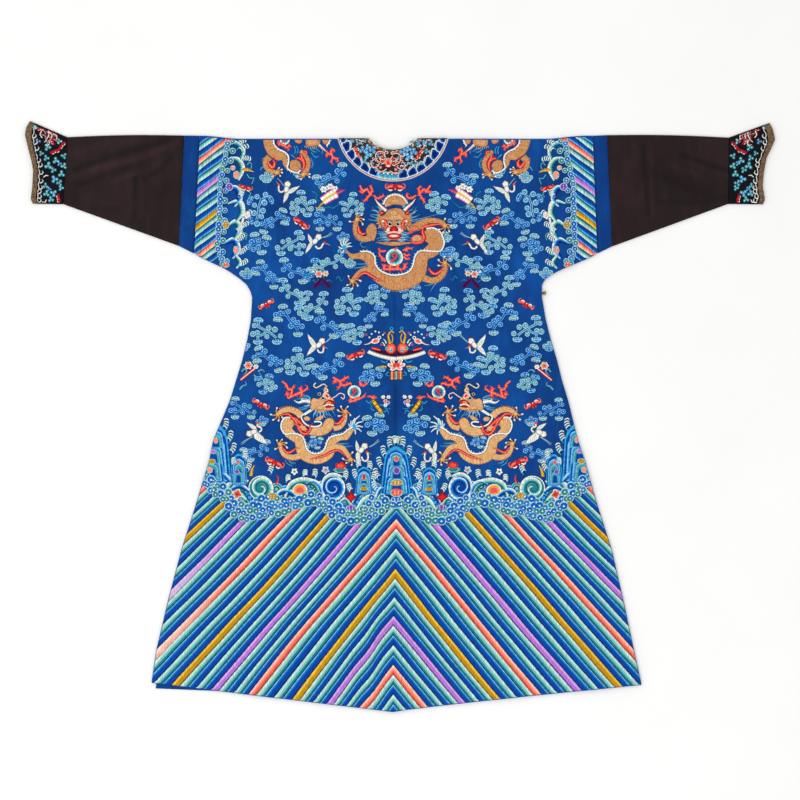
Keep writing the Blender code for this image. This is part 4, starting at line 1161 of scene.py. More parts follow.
def mirrorBag(source, target, waver):
    # The other half of a drawing: turned about the centre line, with a slow drift of the hand, which is
    # waver squares times a sum of sines
    centre = (middleU - originU) * gridStep
    for xy, tri, colour, rise, lay in bags[source]:
        x, y = 2 * centre - xy[:, 0], xy[:, 1]
        drift = waver * gridStep * np.stack([np.sin(y * 37 + 1.0) + 0.4 * np.sin(x * 61),
                                             np.sin(x * 43 + 2.0) * 0.8], axis=1)
        bags.setdefault(target, []).append((np.stack([x, y], axis=1) + drift, tri, colour, rise, lay))


def comb(bag, points, length, spacing, dye, hand, lean, root=0.5, lift=0.0004, uneven=0.15):
    # Pointed stitches standing off a curve: each is a thin triangle on the curve's left or right
    p = np.asarray(points, float)
    reach = np.hypot(*np.diff(p, axis=0).T).sum()
    n = max(2, int(reach / spacing) + 1)
    path = curve(p, n)
    side = sideways(path) * hand
    ahead = np.stack([side[:, 1], -side[:, 0]], axis=1) * hand
    long = length * (1 + uneven * np.sin(np.arange(n) * 2.1))[:, None]
    tip = path + side * long + ahead * lean * long
    squares = np.concatenate([path - ahead * root, path + ahead * root, tip])
    k = np.arange(n)
    rise = np.concatenate([np.full(2 * n, lift + 0.0002), np.full(n, lift)])
    addSurface(bag, squares, np.stack([k, k + n, k + 2 * n], axis=1), np.tile(dyes[dye], (n, 1)), rise,
               np.zeros((3 * n, 2)))


def spiralWave(bag, u, v, r, bands, start, turns=1.35, lift=0.0012):
    # A rolling wave: a broad banded strip that winds in to a point, its pale band outside
    t = np.linspace(0, 1, 30)
    angle = np.radians(start - 360 * turns * t)
    width = r * 0.62 * (1 - 0.75 * t)
    away = r * (1 - t) ** 0.85 - width * 0.5 * (1 - t) + 0.6
    path = np.stack([u + away * np.cos(angle), v + away * np.sin(angle)], axis=1)
    disc(bag, u, v, r * 0.95, (bands[0], bands[3], bands[2], bands[3]), (1, 0.93, 0.7, 0.4), lift, 26)
    ribbon(bag, path, 1.0, bands, lift + 0.0003, 0.0006, step=1.6, wide=width[::3],
           edges=(1, 0.72, 0.35, -0.1, -0.6, -1))


def crest(bag, points, width, bands, lift=0.0008):
    ribbon(bag, points, width, bands, lift, 0.0007, step=1.8, wide=(0.35, 0.85, 1, 0.9, 0.5))


foamSilk = {"blue": ("bright", "royal"), "teal": ("seaTeal", "deepTeal"), "cyan": ("sea", "royal")}


def foamBall(bag, u, v, r, shade, lift):  # a bubble: its inner rings sit low, and a small knot on top
    fill, core = foamSilk[shade]
    patch(bag, oval(u, v, r, r, n=11), (1, 0.82, 0.64, 0.54, 0.34), ("froth", fill, core, fill, core),
          lift, 0.0006, (u, v + r * 0.25))
    dots(bag, [(u, v + r * 0.1)], r * 0.22, "white", lift + 0.0007, 6)


def hill(bag, u, top, low, half, foot, lift):
    # A cliff of nested contours: a low point, sloping shoulders, and a wider foot
    fall = (low - top) * 0.24
    side = np.array([(foot, low), (half, top + fall), (half * 0.82, top + fall * 0.5),
                     (half * 0.3, top + fall * 0.1), (0, top)])
    edge = np.concatenate([side * (-1, 1), side[-2::-1]]) + (u, 0)
    patch(bag, np.concatenate([edge, [(u, low + 0.8)]]),
          (1, 0.94, 0.91, 0.81, 0.78, 0.74, 0.71, 0.6, 0.57, 0.53, 0.5, 0.36),
          ("cyan", "cyan", "royal", "bright", "paleCyan", "paleCyan", "sea", "royal", "paleTeal",
           "paleTeal", "seaTeal", "royal"), lift, 0.0008, middle=(u, low - (low - top) * 0.22))


def frond(bag, u, v, reach, lean, hand, lift=0.0010):
    # A curl of spray: a thin bent stem with a few long white teeth hooked off its outer side
    t = np.linspace(0, 1, 5)[:, None]
    bend = np.radians(lean + hand * 50 * t)
    path = (u, v) + np.cumsum(np.concatenate([np.zeros((1, 2)), np.hstack(
        [np.cos(bend), -np.sin(bend)])[:-1] * reach / 3.0]), axis=0)
    ribbon(bag, path, 1.0, ("sea", "cyan"), lift, 0.0003, step=1.3, wide=(0.9, 1, 0.4))
    side = sideways(path) * -hand
    ahead = np.gradient(path, axis=0)
    ahead = ahead / np.hypot(*ahead.T)[:, None]
    for k in range(1, 5):
        root, out, on = path[k], side[k], ahead[k]
        ribbon(bag, [root, root + out * 2.0 + on * 1.1, root + out * 3.6 + on * 1.0,
                     root + out * 4.8 - on * 0.4], 1.3, ("paleTeal", "white", "white"), lift + 0.0003,
               0.0004, step=1.0, wide=(0.7, 1, 1, 0.35))


def bloom(bag, u, v, r, petals, petal, heart, lift=0.0014):  # a small round-petalled flower
    patch(bag, oval(u, v, r, r, 18, petals * 6, petals, 0.22), (1, 0.82, 0.42),
          ("white", petal, heart), lift, 0.0006)


tealWave = ("white", "mint", "paleTeal", "teal", "deepTeal")
blueWave = ("white", "paleCyan", "bright", "royal", "navy")
sea = "leftSea"
# middle, top row, bottom row, half width, foot
for u, top, low, half, foot in [
        (396.5, 446.5, 494, 11.2, 16.5), (396.5, 449.5, 468, 7.2, 8.6), (396.5, 461, 481, 8.8, 10.4),
        (396.5, 473, 494, 11.0, 13.0), (364, 466.6, 494, 7.0, 8.8), (363.8, 477.5, 494, 5.2, 6.8),
        (239, 453.5, 484, 7.0, 8.6), (238.6, 465, 485, 5.4, 7.0), (214, 423.5, 484, 13.5, 17.5),
        (216, 427, 450, 8.0, 10.0), (213.5, 441, 466, 9.6, 12.0), (211, 454, 482, 11.5, 14.0)]:
    hill(sea, u, top, low, half, foot, 0.0006 + (top - 420) * 0.00002)  # a lower hill is in front
for u, v, rx, ry, dye in [(396.5, 459, 2.6, 2.8, "coral"), (396.5, 470.8, 3.2, 3.4, "purple"),
                          (396.5, 483, 6.2, 3.4, "ochre"), (396.5, 492.6, 6.4, 4.3, "coral"),
                          (396.5, 499.8, 5.2, 3.4, "bright"), (396.5, 505.6, 4.2, 3.0, "teal"),
                          (364, 477, 1.8, 4.0, "red"), (364, 488.7, 4.0, 2.6, "ochre"),
                          (351, 507.7, 5.0, 3.2, "purple"), (272.5, 496.2, 5.4, 3.8, "ochre"),
                          (238, 461.8, 2.0, 2.4, "coral"), (237, 471.6, 2.6, 2.4, "purple"),
                          (216, 440.5, 2.4, 3.2, "salmon"), (213.5, 451.5, 2.6, 2.6, "lilac"),
                          (212, 461.5, 4.0, 2.8, "ochre"), (210, 470, 3.0, 3.2, "pink")]:
    patch(sea, oval(u, v, rx, ry, 0, 16), (1, 0.82, 0.5), ("foamLine", dye, dye), 0.0022, 0.0007)
    if rx > 4.9:
        dots(sea, [(u - 1.8, v - 0.8), (u + 1.8, v - 0.8), (u - 1.5, v + 1.1), (u + 1.5, v + 1.1)],
             0.5, "white", 0.0032)
foamUpper = np.array([(0, 506), (10, 499), (20, 497), (34, 509), (48, 515), (60, 505), (72, 497),
                      (82, 494), (96, 499), (110, 501), (124, 497), (136, 500), (150, 508),
                      (162, 498), (174, 486), (186, 474), (196, 470)])
# Rows of overlapping wave scales fill in behind the crests
for row in range(3):
    for k, across in enumerate(np.arange(21 + row * 4.5, 192, 9.0)):
        v = np.interp(across, *foamUpper.T) - 9 + row * 5.5
        fills = ("teal", "paleTeal", "deepTeal", "paleTeal") if (k + row) % 2 else \
            ("bright", "cyan", "royal", "cyan")
        disc(sea, middleU - across, v, 6.4, ("foamLine", *fills), (1, 0.88, 0.66, 0.5, 0.26),
             0.0001 + row * 0.0001, 16, 0.0004)
for points, width, bands in [
        ([(232, 497), (229, 487), (238, 478.5), (248, 482)], 7, tealWave),
        ([(229, 490), (240, 486), (250, 492)], 5, blueWave),
        ([(247, 499), (240, 492), (236, 500)], 5, tealWave),
        ([(274, 499), (282, 491.5), (292, 493), (299, 501)], 6, blueWave),
        ([(286, 497), (291, 485), (303, 480.5), (315, 484), (320, 494)], 7, tealWave),
        ([(306, 484), (313, 482), (320, 488), (322, 500)], 7, blueWave),
        ([(340, 502), (346, 499), (350, 506), (347, 514)], 5, tealWave),
        ([(357, 509), (366, 499.5), (376, 498), (384, 502)], 7, tealWave),
        ([(322, 484), (326, 478), (333, 475), (342, 477)], 5, ("white", "mint", "paleTeal", "teal")),
        ([(353, 503), (358, 494), (366, 491), (374, 494)], 6, blueWave),
        ([(207, 486), (212, 476), (222, 474), (231, 482)], 7, blueWave),
        ([(262, 503), (272, 499), (281, 503)], 5, tealWave),
        ([(376, 500), (380, 490), (387, 487)], 5, blueWave)]:
    crest(sea, points, width, bands)
spiralWave(sea, 261, 488, 13.0, tealWave, 60)
spiralWave(sea, 333.5, 487.5, 12.4, blueWave, 90)
for index, (r, dye) in enumerate([(7.4, "white"), (6.6, "yellow"), (5.2, "salmon"), (3.6, "coral")]):
    a = np.radians(np.linspace(150, 400, 16))
    fan = np.stack([300 + r * np.cos(a), 490.5 + r * np.sin(a) * 0.95], axis=1)
    patch(sea, fan, (1,), (dye,), 0.0014 + index * 0.0002, 0.0002)
comb(sea, np.stack([300 + 6.6 * np.cos(a), 490.5 + 6.3 * np.sin(a)], axis=1), 2.6, 2.0, "red", -1, 0)
patch(sea, [(351, 490.8), (353.4, 494.6), (357.4, 497), (353.4, 499.6), (351, 503.4), (348.6, 499.6),
            (344.6, 497), (348.6, 494.6)], (1, 0.6), ("deepRed", "red"), 0.0018, 0.0006)
bloom(sea, 237.5, 494, 4.4, 4, "coral", "deepCoral")
bloom(sea, 325.6, 470, 3.4, 5, "paleCyan", "coral")
bloom(sea, 294.5, 471.5, 3.0, 5, "white", "teal")
patch(sea, oval(340.5, 469.8, 7, 3.2, 0, 18, 6, 0.12), (1, 0.7), ("paleTeal", "teal"), 0.0009, 0.0005)
patch(sea, oval(340.5, 465.8, 5.4, 3.4, 0, 18, 5, 0.16), (1, 0.6), ("red", "coral"), 0.0012, 0.0006)
ribbon(sea, [(251, 476), (252, 470), (254.5, 465)], 3.4, ("ochre", "yellow", "ochre"), 0.0010,
       wide=(1, 0.8, 0.2))
ribbon(sea, [(276, 484), (278, 479), (277, 475)], 2.4, ("deepRed", "red", "coral"), 0.0010,
       wide=(1, 0.8, 0.2))
for u, v, reach, lean, hand in [
        (389.5, 449, 9, 118, -1), (384.5, 458, 9, 128, -1), (381.5, 469, 9, 135, -1),
        (379, 480, 9, 140, -1), (394.5, 445.5, 7, 98, -1), (358, 469, 7, 118, -1),
        (356.5, 480, 8, 135, -1), (370.5, 471, 7, 62, 1), (372.5, 483, 8, 48, 1),
        (225, 431, 9, 52, 1), (228.5, 443, 9, 46, 1), (231, 455, 9, 42, 1),
        (220, 422, 7, 66, 1), (245.5, 461, 7, 58, 1), (247.5, 472, 8, 46, 1), (233, 466, 6, 120, -1),
        (270, 475, 8, 50, 1), (315, 479, 7, 55, 1), (304, 478, 6, 115, -1), (345, 481, 7, 50, 1),
        (287, 483, 6, 115, -1), (376.5, 492, 8, 138, -1), (351, 493, 7, 140, -1)]:
    frond(sea, u, v, reach, lean, hand)
for across in np.arange(3.0, 196, 6.1):
    low, high = np.interp(across, *foamLine.T), np.interp(across, *foamUpper.T)
    rows = max(2, round((low - high) / 5.7) + 1)
    for row, v in enumerate(np.linspace(low, high, rows)):
        jitter = rng.uniform(-0.9, 0.9, 2)
        r = rng.uniform(3.3, 4.8)
        shade = list(foamSilk)[int(rng.choice(3, p=(0.5, 0.33, 0.17)))]
        foamBall(sea, middleU - across - (row % 2) * 3.0 + jitter[0], v + jitter[1], r, shade,
                 0.0026 - row * 0.0003)
mirrorBag(sea, "rightSea", 0.7)
for word in ("left", "right"):
    embroider(word + "Half", word + "Sea", word + "Waves", clip=bodyClip, base=above["foam"])

# The foam that edges the sleeve stripes
armFoam = "leftArmFoam"
for points, width, bands in [
        ([(226, 146), (236, 143), (243, 150), (241, 160)], 5, tealWave),
        ([(230, 158), (238, 160), (242, 168), (238, 180)], 6, tealWave),
        ([(226, 190), (236, 188), (240, 198), (234, 206)], 6, blueWave),
        ([(228, 204), (238, 202), (242, 212), (236, 222)], 5, tealWave),
        ([(228, 226), (236, 222), (240, 230), (234, 240)], 6, tealWave),
        ([(224, 244), (234, 240), (238, 250), (232, 258)], 6, blueWave),
        ([(238, 196), (244, 206), (243, 220), (238, 232)], 2.2, ("white", "mint", "white")),
        ([(234, 254), (240, 262), (236, 268)], 4, tealWave)]:
    crest(armFoam, points, width, bands)
for v in np.arange(139, 266, 5.0):
    edge = np.interp(v, *sleeveFoam.T)
    for row in range(2 if v % 2 else 1):
        jitter = rng.uniform(-0.7, 0.7, 2)
        foamBall(armFoam, edge + 1.0 + row * 5.2 + jitter[0], v + jitter[1] + row * 2.2,
                 rng.uniform(2.6, 3.4), list(foamSilk)[int(rng.integers(3))], 0.0018)
for u, v, rx, ry, dye in [(229.5, 187, 3.8, 4.0, "purple"), (226, 225, 3.6, 4.4, "ochre"),
                          (229, 139.5, 3.6, 2.6, "coral"), (236.5, 175, 3.2, 4.2, "salmon"),
                          (233, 168, 2.6, 2.6, "pink"), (236, 250, 2.6, 4.2, "salmon"),
                          (226, 265, 3.6, 2.8, "coral")]:
    patch(armFoam, oval(u, v, rx, ry, 0, 16), (1, 0.8, 0.5), ("foamLine", dye, dye), 0.0022, 0.0007)
    dots(armFoam, [(u, v - 1.2), (u, v + 1.2)], 0.5, "white", 0.0031)
for u, v, reach, lean, hand in [
        (237, 150, 9, 50, -1), (240, 157, 8, 20, -1), (236, 145, 8, 60, -1), (240, 199, 7, 40, 1),
        (242, 217, 8, 0, 1), (238, 227, 8, -10, 1), (236, 242, 8, 10, 1), (238, 255, 8, 10, 1),
        (238, 266, 8, 0, 1), (240, 141, 7, 20, 1), (236, 234, 7, 20, 1)]:
    frond(armFoam, u, v, reach, lean, hand, 0.0014)
ribbon(armFoam, [(241, 170), (247, 169.5), (254, 172)], 3.6, ("ochre", "gold", "yellow"), 0.0012,
       wide=(1, 0.8, 0.2))
for points in ([(247, 165), (250, 162), (252, 165), (251, 169)],
               [(247, 174), (250, 178), (254, 178), (252, 184)],
               [(242, 232), (247, 234), (246, 240)], [(246, 190), (251, 193), (249, 197)]):
    ribbon(armFoam, points, 1.0, ("teal", "paleTeal"), 0.0006)
bloom(armFoam, 247, 215.5, 3.0, 4, "white", "pink")
mirrorBag(armFoam, "rightArmFoam", 0.5)
for word in ("left", "right"):
    embroider(word + "Half", word + "ArmFoam", word + "SleeveFoam", clip=bodyClip, base=above["foam"])
print("waves sewn")


# Gold thread laid in scales: rows of small arcs in the colour and the height
scaleRows, given, result = nodeGroup(
    "scaleRows", [("Lay", "NodeSocketVector", None), ("Size", "NodeSocketFloat", 0.0042)],
    [("Edge", "NodeSocketFloat")])
apart = addNode(scaleRows, "ShaderNodeSeparateXYZ", Vector=given["Lay"]).outputs
row = mathNode(scaleRows, "DIVIDE", apart[0], given["Size"])
index = mathNode(scaleRows, "FLOOR", row)
shift = mathNode(scaleRows, "MULTIPLY", mathNode(scaleRows, "MODULO", index, 2.0), 0.5)
place = mathNode(scaleRows, "ADD", mathNode(scaleRows, "DIVIDE", apart[1], given["Size"]), shift)
px = mathNode(scaleRows, "SUBTRACT", mathNode(scaleRows, "FRACT", place), 0.5)
py = mathNode(scaleRows, "FRACT", row)
far = mathNode(scaleRows, "SQRT", mathNode(scaleRows, "ADD", mathNode(scaleRows, "MULTIPLY", px, px),
                                           mathNode(scaleRows, "MULTIPLY", py, py)))
near = mathNode(scaleRows, "ABSOLUTE", mathNode(scaleRows, "SUBTRACT", far, 0.55))
scaleRows.links.new(mapRange(scaleRows, near, 0.0, 0.20, 1.0, 0.0), result["Edge"])

goldScale, tree, shader, where = newMaterial("goldScale", 0.42, specular=0.3)
laid, layMap = layThreads(tree, where)
edge = placeGroup(tree, scaleRows, Lay=layMap)["Edge"]
# painted highlights: small pale glints where the gold thread would catch the light; then darker worn
# patches
paintedGlint = mapRange(tree, noiseAt(tree, where, 420.0, 2.0), 0.42, 0.62)
worn = mapRange(tree, noiseAt(tree, where, 500.0, 1.0), 0.47, 0.66)
tone = laid["Colour"]
for part, share, tint in ((edge, 0.85, "a85628"), (paintedGlint, 0.42, "fbcf9c"), (worn, 0.5, "9a5c32")):
    tone = mixColour(tree, mathNode(tree, "MULTIPLY", part, share), tone, tint)
tree.links.new(tone, shader.inputs["Base Color"])
bumpInto(tree, shader, mathNode(tree, "SUBTRACT", laid["Height"], edge), 0.5, 0.0004)

goldEdges = (-1, -0.88, -0.5, -0.12, 0.2, 0.6, 0.88, 1)
palerGold = {"leftDragonGold": {"gold": "sand", "tan": "gold"}}  # the lower dragons' gold is paler


def goldBands(dye):
    return ("brown", *[dye] * 5, "brown")


def between(bag, inner, outer, bands, edges, lift, dome, step=1.4):
    # A strip whose two sides are given: grid rows run along, columns run from inner to outer
    reach = np.hypot(*np.diff(np.asarray(outer, float), axis=0).T).sum()
    n = int(reach / step) + 2
    a, b = curve(inner, n), curve(outer, n)
    share = (np.asarray(edges, float) + 1) / 2
    squares = a[:, None] + (b - a)[:, None] * share[None, :, None]
    rise = lift + dome * (1 - np.asarray(edges) ** 2)[None] * np.ones((n, 1))
    wide = np.hypot(*(b - a).T)[:, None] * share[None]
    lay = np.stack([np.linspace(0, reach, n)[:, None] * np.ones_like(wide), wide], axis=-1)
    gridSurface(bag, squares, [dyes[c] for c in bands], rise, lay)


def goldPatch(bag, points, lift=0.0010, dome=0.0010, shades=("brown", "gold", "gold", "gold")):
    paler = palerGold.get(bag, {})
    shades = [paler.get(shade, shade) for shade in shades]
    patch(bag, outlined(points, 40), (1, 0.93, 0.6, 0.3), shades, lift, dome)


def limb(bag, points, width, lift=0.0016, wide=(1.25, 1.1, 1.0, 0.9, 0.75)):
    dye = palerGold.get(bag, {}).get("gold", "gold")
    ribbon(bag, points, width * 1.16, goldBands(dye), lift, 0.0010, wide=wide, edges=goldEdges)


def paw(bag, u, v, tips, lift=0.0022):  # a palm with hooked claws: each claw bends back a little
    for tip in np.asarray(tips, float):
        way = tip - (u, v)
        bend = np.array([way[1], -way[0]]) * 0.16
        mid = (tip + (u, v)) / 2 + bend
        hook = tip - bend * 0.7 + way * 0.06
        ribbon(bag, [(u, v), mid, tip, hook], 2.1, ("brown", "gold", "paleGold", "brown"), lift,
               0.0006, step=1.0, wide=(1, 0.85, 0.7, 0.3))
        ribbon(bag, [mid * 0.4 + tip * 0.6, tip, hook], 2.0, ("grey", "white", "white"),
               lift + 0.0004, 0.0005, step=0.9, wide=(0.5, 1, 0.7))
    patch(bag, oval(u, v, 2.3, 2.1, 0, 12), (1, 0.7), ("gold", "paleGold"), lift + 0.0003, 0.0005)


def backFin(bag, points, hand, lift=0.0020, spikes=True):  # the white ridge and its spines
    ribbon(bag, points, 2.1, ("navy", "white", "white", "grey"), lift, 0.0006, step=1.2,
           edges=(-1, -0.6, 0.2, 0.65, 1) if hand > 0 else (1, 0.6, -0.2, -0.65, -1))
    if spikes:
        comb(bag, points, 2.2, 3.2, "white", hand, 0.25, 0.6, lift)


def redStreak(bag, points, width, lift=0.0026):  # flame hair along a leg: broad in the middle, tipped
    ribbon(bag, points, width * 1.35, ("deepRed", "red", "coral", "salmon", "coral", "deepRed"), lift,
           0.0006, step=1.2, wide=(0.3, 0.9, 1, 0.8, 0.2))
    comb(bag, points, width * 0.9, 3.4, "red", 1, 0.9, 0.9, lift, 0.3)


def wisp(bag, points, widths, dye, shift):  # a pale hair and a stronger one beside it
    for width, shade, moved in ((widths[0], "paleTeal", (0, 0)), (widths[1], dye, shift)):
        ribbon(bag, np.asarray(points) + moved, width, (shade, "royal"), 0.0008, 0.0003,
               wide=(1, 0.9, 0.4))


def tailFan(bag, root, tips, lift=0.0014):  # curved white tines over a web in sea colours
    root = np.array(root)
    for tip in np.asarray(tips, float):
        a, b = tip - root
        mid = root + (tip - root) * 0.55 + np.array([b, -a]) * 0.15
        ribbon(bag, [root, root + (mid - root) * 0.6, mid], 3.0, ("teal", "sea", "cyan", "sea"), lift,
               0.0004, step=1.1, wide=(0.8, 1, 0.6))
        ribbon(bag, [root + (mid - root) * 0.5, mid, tip], 1.6, ("paleCyan", "white", "white", "grey"),
               lift + 0.0004, 0.0006, step=1.1, wide=(0.6, 1, 0.9, 0.5))


def pearl(bag, u, v, r, lift=0.0012):
    patch(bag, oval(u, v, r, r, n=28), (1, 0.88, 0.76, 0.62, 0.45),
          ("white", "mint", "paleTeal", "teal", "royal"), lift, 0.0010)
    swirl = placed([(-4.5, 5.5), (-2, 3), (1.5, 0.5), (2.2, -2.6), (-0.8, -3.6), (-2.2, -1.4),
                    (-0.6, -0.2)], u, v, 0, r / 8.6)
    ribbon(bag, swirl, 1.5 * r / 8.6 + 0.3, ("red", "coral", "red"), lift + 0.0012, 0.0004, step=1.0)


def flame(bag, points, width=2.0, twigs=(), lift=0.0010):  # a forked flame: a stem, twigs and tongues
    for line in (points, *twigs):
        p = curve(line, 9)
        ribbon(bag, p, width * 1.25, ("red", "coral", "salmon", "coral", "red"), lift, 0.0007,
               step=1.0, wide=(0.75, 1, 0.95, 0.75, 0.12), edges=(-1, -0.78, -0.25, 0.3, 0.78, 1))
        side = sideways(p)
        for k, hand in ((2, 1), (4, -1), (6, 1)):
            ahead = p[k + 1] - p[k]
            ahead /= math.hypot(*ahead) + 1e-9
            tip = p[k] + side[k] * hand * width * 1.25 + ahead * width * 0.8
            ribbon(bag, [p[k], (p[k] + tip) / 2 + ahead * 0.2, tip], width * 1.1,
                   ("red", "coral", "coral", "red"), lift, 0.0006, step=1.0, wide=(1, 0.8, 0.15))


def eye(bag, u, v, r, lift=0.0042):
    patch(bag, oval(u, v, r * 1.12, r, n=16), (1, 0.86, 0.68), ("black", "white", "black"), lift,
          0.0007)
    dots(bag, [(u + r * 0.2, v - r * 0.2)], r * 0.11, "white", lift + 0.0010, 6)


def tuft(bag, u, v, start, end, count, reach, near, width, colours, lift=0.0018, squash=1.0):
    # Locks standing out from the oval of radius near about (u, v), between two directions in degrees
    for k, turn in enumerate(np.radians(np.linspace(start, end, count))):
        c, s, far = math.cos(turn), math.sin(turn) * squash, near + reach * (0.82 + 0.18 * (-1) ** k)
        bow = 0.10 * reach * (-1) ** k
        ribbon(bag, [(u + near * c, v + near * s),
                     (u + (near + far) / 2 * c - bow * s, v + (near + far) / 2 * s + bow * c),
                     (u + far * c, v + far * s)], width, colours[k % len(colours)], lift, 0.0004,
               step=1.3, wide=(1, 0.8, 0.15))


goldLocks = [("brown", "gold", "paleGold", "brown")]
sandLocks = [("brown", "sand", "paleGold", "brown")]
maneLocks = [("bright", "paleCyan"), ("royal", "cyan"), ("teal", "white")]


def beard(bag, u, v):  # ten locks hang either side of the chin
    for side in (-1, 1):
        for k in range(10):
            a, b = (u + side * (5.4 - 0.2 * k), v + 10.2 + 1.05 * k)
            c, d = (u + side * (16.5 - 0.5 * k), v + 11.6 + 0.85 * k + (k % 2) * 0.8)
            ribbon(bag, [(a, b), ((a + c) / 2, (b + d) / 2 + 1.3), (c, d)], 1.15, maneLocks[k % 3],
                   0.0014, 0.0003, wide=(1, 0.9, 0.3))


# The dragon that faces forward on the chest: what is laid in scaled gold, then what is in silk
chestScales = [
    (between, {"bands": goldBands("gold"), "edges": goldEdges, "lift": 0.001, "dome": 0.0014},
     ([(438.7, 252.4), (429.5, 251.1), (420.4, 251.2), (415.4, 256.2), (413.6, 263.5), (410.8, 269.6),
      (405.1, 273.6), (394.3, 275.3), (385.9, 273.6), (378.6, 269.2), (375.4, 263.5), (374.4, 256.2),
      (368.3, 251.8), (360.7, 252.1), (352.2, 253.7), (344.6, 248.2)], [(438.7, 253.9), (433.4, 257.3),
      (428, 259.6), (427.2, 266.5), (425.3, 275.7), (418.8, 283.8), (407.3, 289.1), (394.3, 290.6),
      (382.9, 286.8), (372.9, 279.2), (368.7, 270.4), (366, 263.1), (360.3, 259.3), (351.5, 258.9),
      (347.7, 254.3), (344.6, 248.5)])),
    (goldPatch,
     [(424.2, 231.3), (428, 228.3), (434.9, 229), (441, 234.4), (443.3, 242), (441.8, 248.2),
      (438.7, 251.6), (431.8, 251.2), (423.4, 249.7), (428, 246.2), (428, 242.8), (423.4, 240.5),
      (424.2, 235.9)],
     [(366, 229.8), (367.6, 226.7), (370.6, 223.7), (373.7, 223.7), (376.4, 227.5), (376.7, 231.3),
      (376, 235.9), (374.4, 239.7), (372.9, 241.3), (369.1, 239), (366.4, 235.9)]),
    (limb,
     ([(357, 219.5), (355.7, 224.4), (355.7, 230.6), (358.4, 236.3), (364.5, 239), (370.6, 238.2)], 4.4,
      0.0016, (0.8, 0.95, 1, 1.1, 1.15)),
     ([(408.9, 231.3), (413.5, 227.5), (421.1, 222.9), (428, 220.8), (436.4, 221), (442.6, 223.3),
      (445.2, 226)], 4.9, 0.0016, (1.2, 1.1, 1, 0.95, 0.8)),
     ([(372.9, 274.9), (366.8, 269.6), (359.9, 272.3), (355.3, 276.9), (352.2, 281.1)], 4.3),
     ([(423.4, 278), (431.1, 280.3), (438, 278.8), (443.3, 273), (445, 266.5), (444.8, 263.1)], 4.8)),
    (goldPatch,
     ([(383.2, 204.2), (385.9, 199.2), (389.7, 196.3), (395.1, 195.2), (400.5, 196.3), (404.3, 199.2),
      (407.2, 203.2), (403.9, 205.7), (398.2, 204.7), (392.8, 204.7), (387.4, 206.5)], 0.0012, 0.0006,
      ("tan", "gold", "gold", "paleGold")),
     ([(379.8, 219.1), (380.2, 216.8), (385.2, 214.5), (387.4, 210.7), (392, 208.8), (396.6, 208.4),
      (401.2, 209.3), (405.1, 213), (408.9, 216), (409.8, 219.1), (408.1, 223.7), (404.3, 228.3),
      (401.2, 232.9), (401.2, 237.4), (398.2, 239.7), (393.6, 240.2), (389, 239.4), (386.7, 235.9),
      (387.4, 232.1), (384.4, 228.3), (380.6, 223.7)], 0.0026, 0.0016,
      ("tan", "gold", "paleGold", "gold")),
     ([(374.4, 242.2), (382.9, 242.2), (393.6, 241.7), (408.9, 242.2), (416.5, 242.7), (405.1, 244.5),
      (393.6, 246), (382.9, 244.5)], 0.0018, 0.0004, ("brown", "tan", "gold", "paleGold")),
     ([(411.2, 239), (413.5, 235.9), (417.3, 235.2), (420.7, 236.7), (421.1, 239.7), (418.1, 242),
      (413.5, 242)], 0.0024, 0.0005, ("tan", "paleGold", "paleGold", "gold")),
     ([(408.5, 229), (413.1, 224.4), (420, 221.2), (427.5, 221.9), (428.1, 224), (423.1, 226.5),
      (421.2, 229.8), (415.6, 231.5), (410, 231.9)], 0.0024, 0.001)),
    (blob, {"rings": (1, 0.7, 0.4), "colours": ("gold", "yellow", "paleGold"), "lift": 0.0044,
     "dome": 0.0008},
     (394, 213, 4.6, 2.8, 0, 18)),
    (tuft,
     (394.2, 220.2, 150, 215, 9, 4.4, 14.6, 2.3, goldLocks, 0.0016, 0.9),
     (394.2, 220.2, 30, -35, 9, 4.4, 14.6, 2.3, goldLocks, 0.0016, 0.9)),
    (comb,
     ([(380.2, 216.8), (379.2, 220.6), (380.6, 224.4), (384, 228.6), (386.7, 232.9)], 2, 1.8, "paleGold",
      1, 0.2, 0.6, 0.0024),
     ([(409.3, 216.8), (410.3, 220.6), (408.5, 224.4), (404.7, 228.6), (401.8, 232.9)], 2, 1.8,
      "paleGold", -1, 0.2, 0.6, 0.0024),
     ([(354.2, 222.9), (353.6, 229.8), (355.3, 236.7), (359.1, 240.1), (366, 241.4)], 1.5, 1.6,
      "paleGold", 1, 0.3, 0.5, 0.0012),
     ([(426.5, 280.3), (431.8, 283), (438.7, 281.5), (445.2, 274.9), (447.5, 266.5)], 1.5, 1.6,
      "paleGold", 1, 0.3, 0.5, 0.0012),
     ([(382.9, 287), (394.3, 290.9), (407.3, 289.3), (418.8, 284)], 1.2, 1.6, "tan", 1, 0.2, 0.5,
      0.0008))]

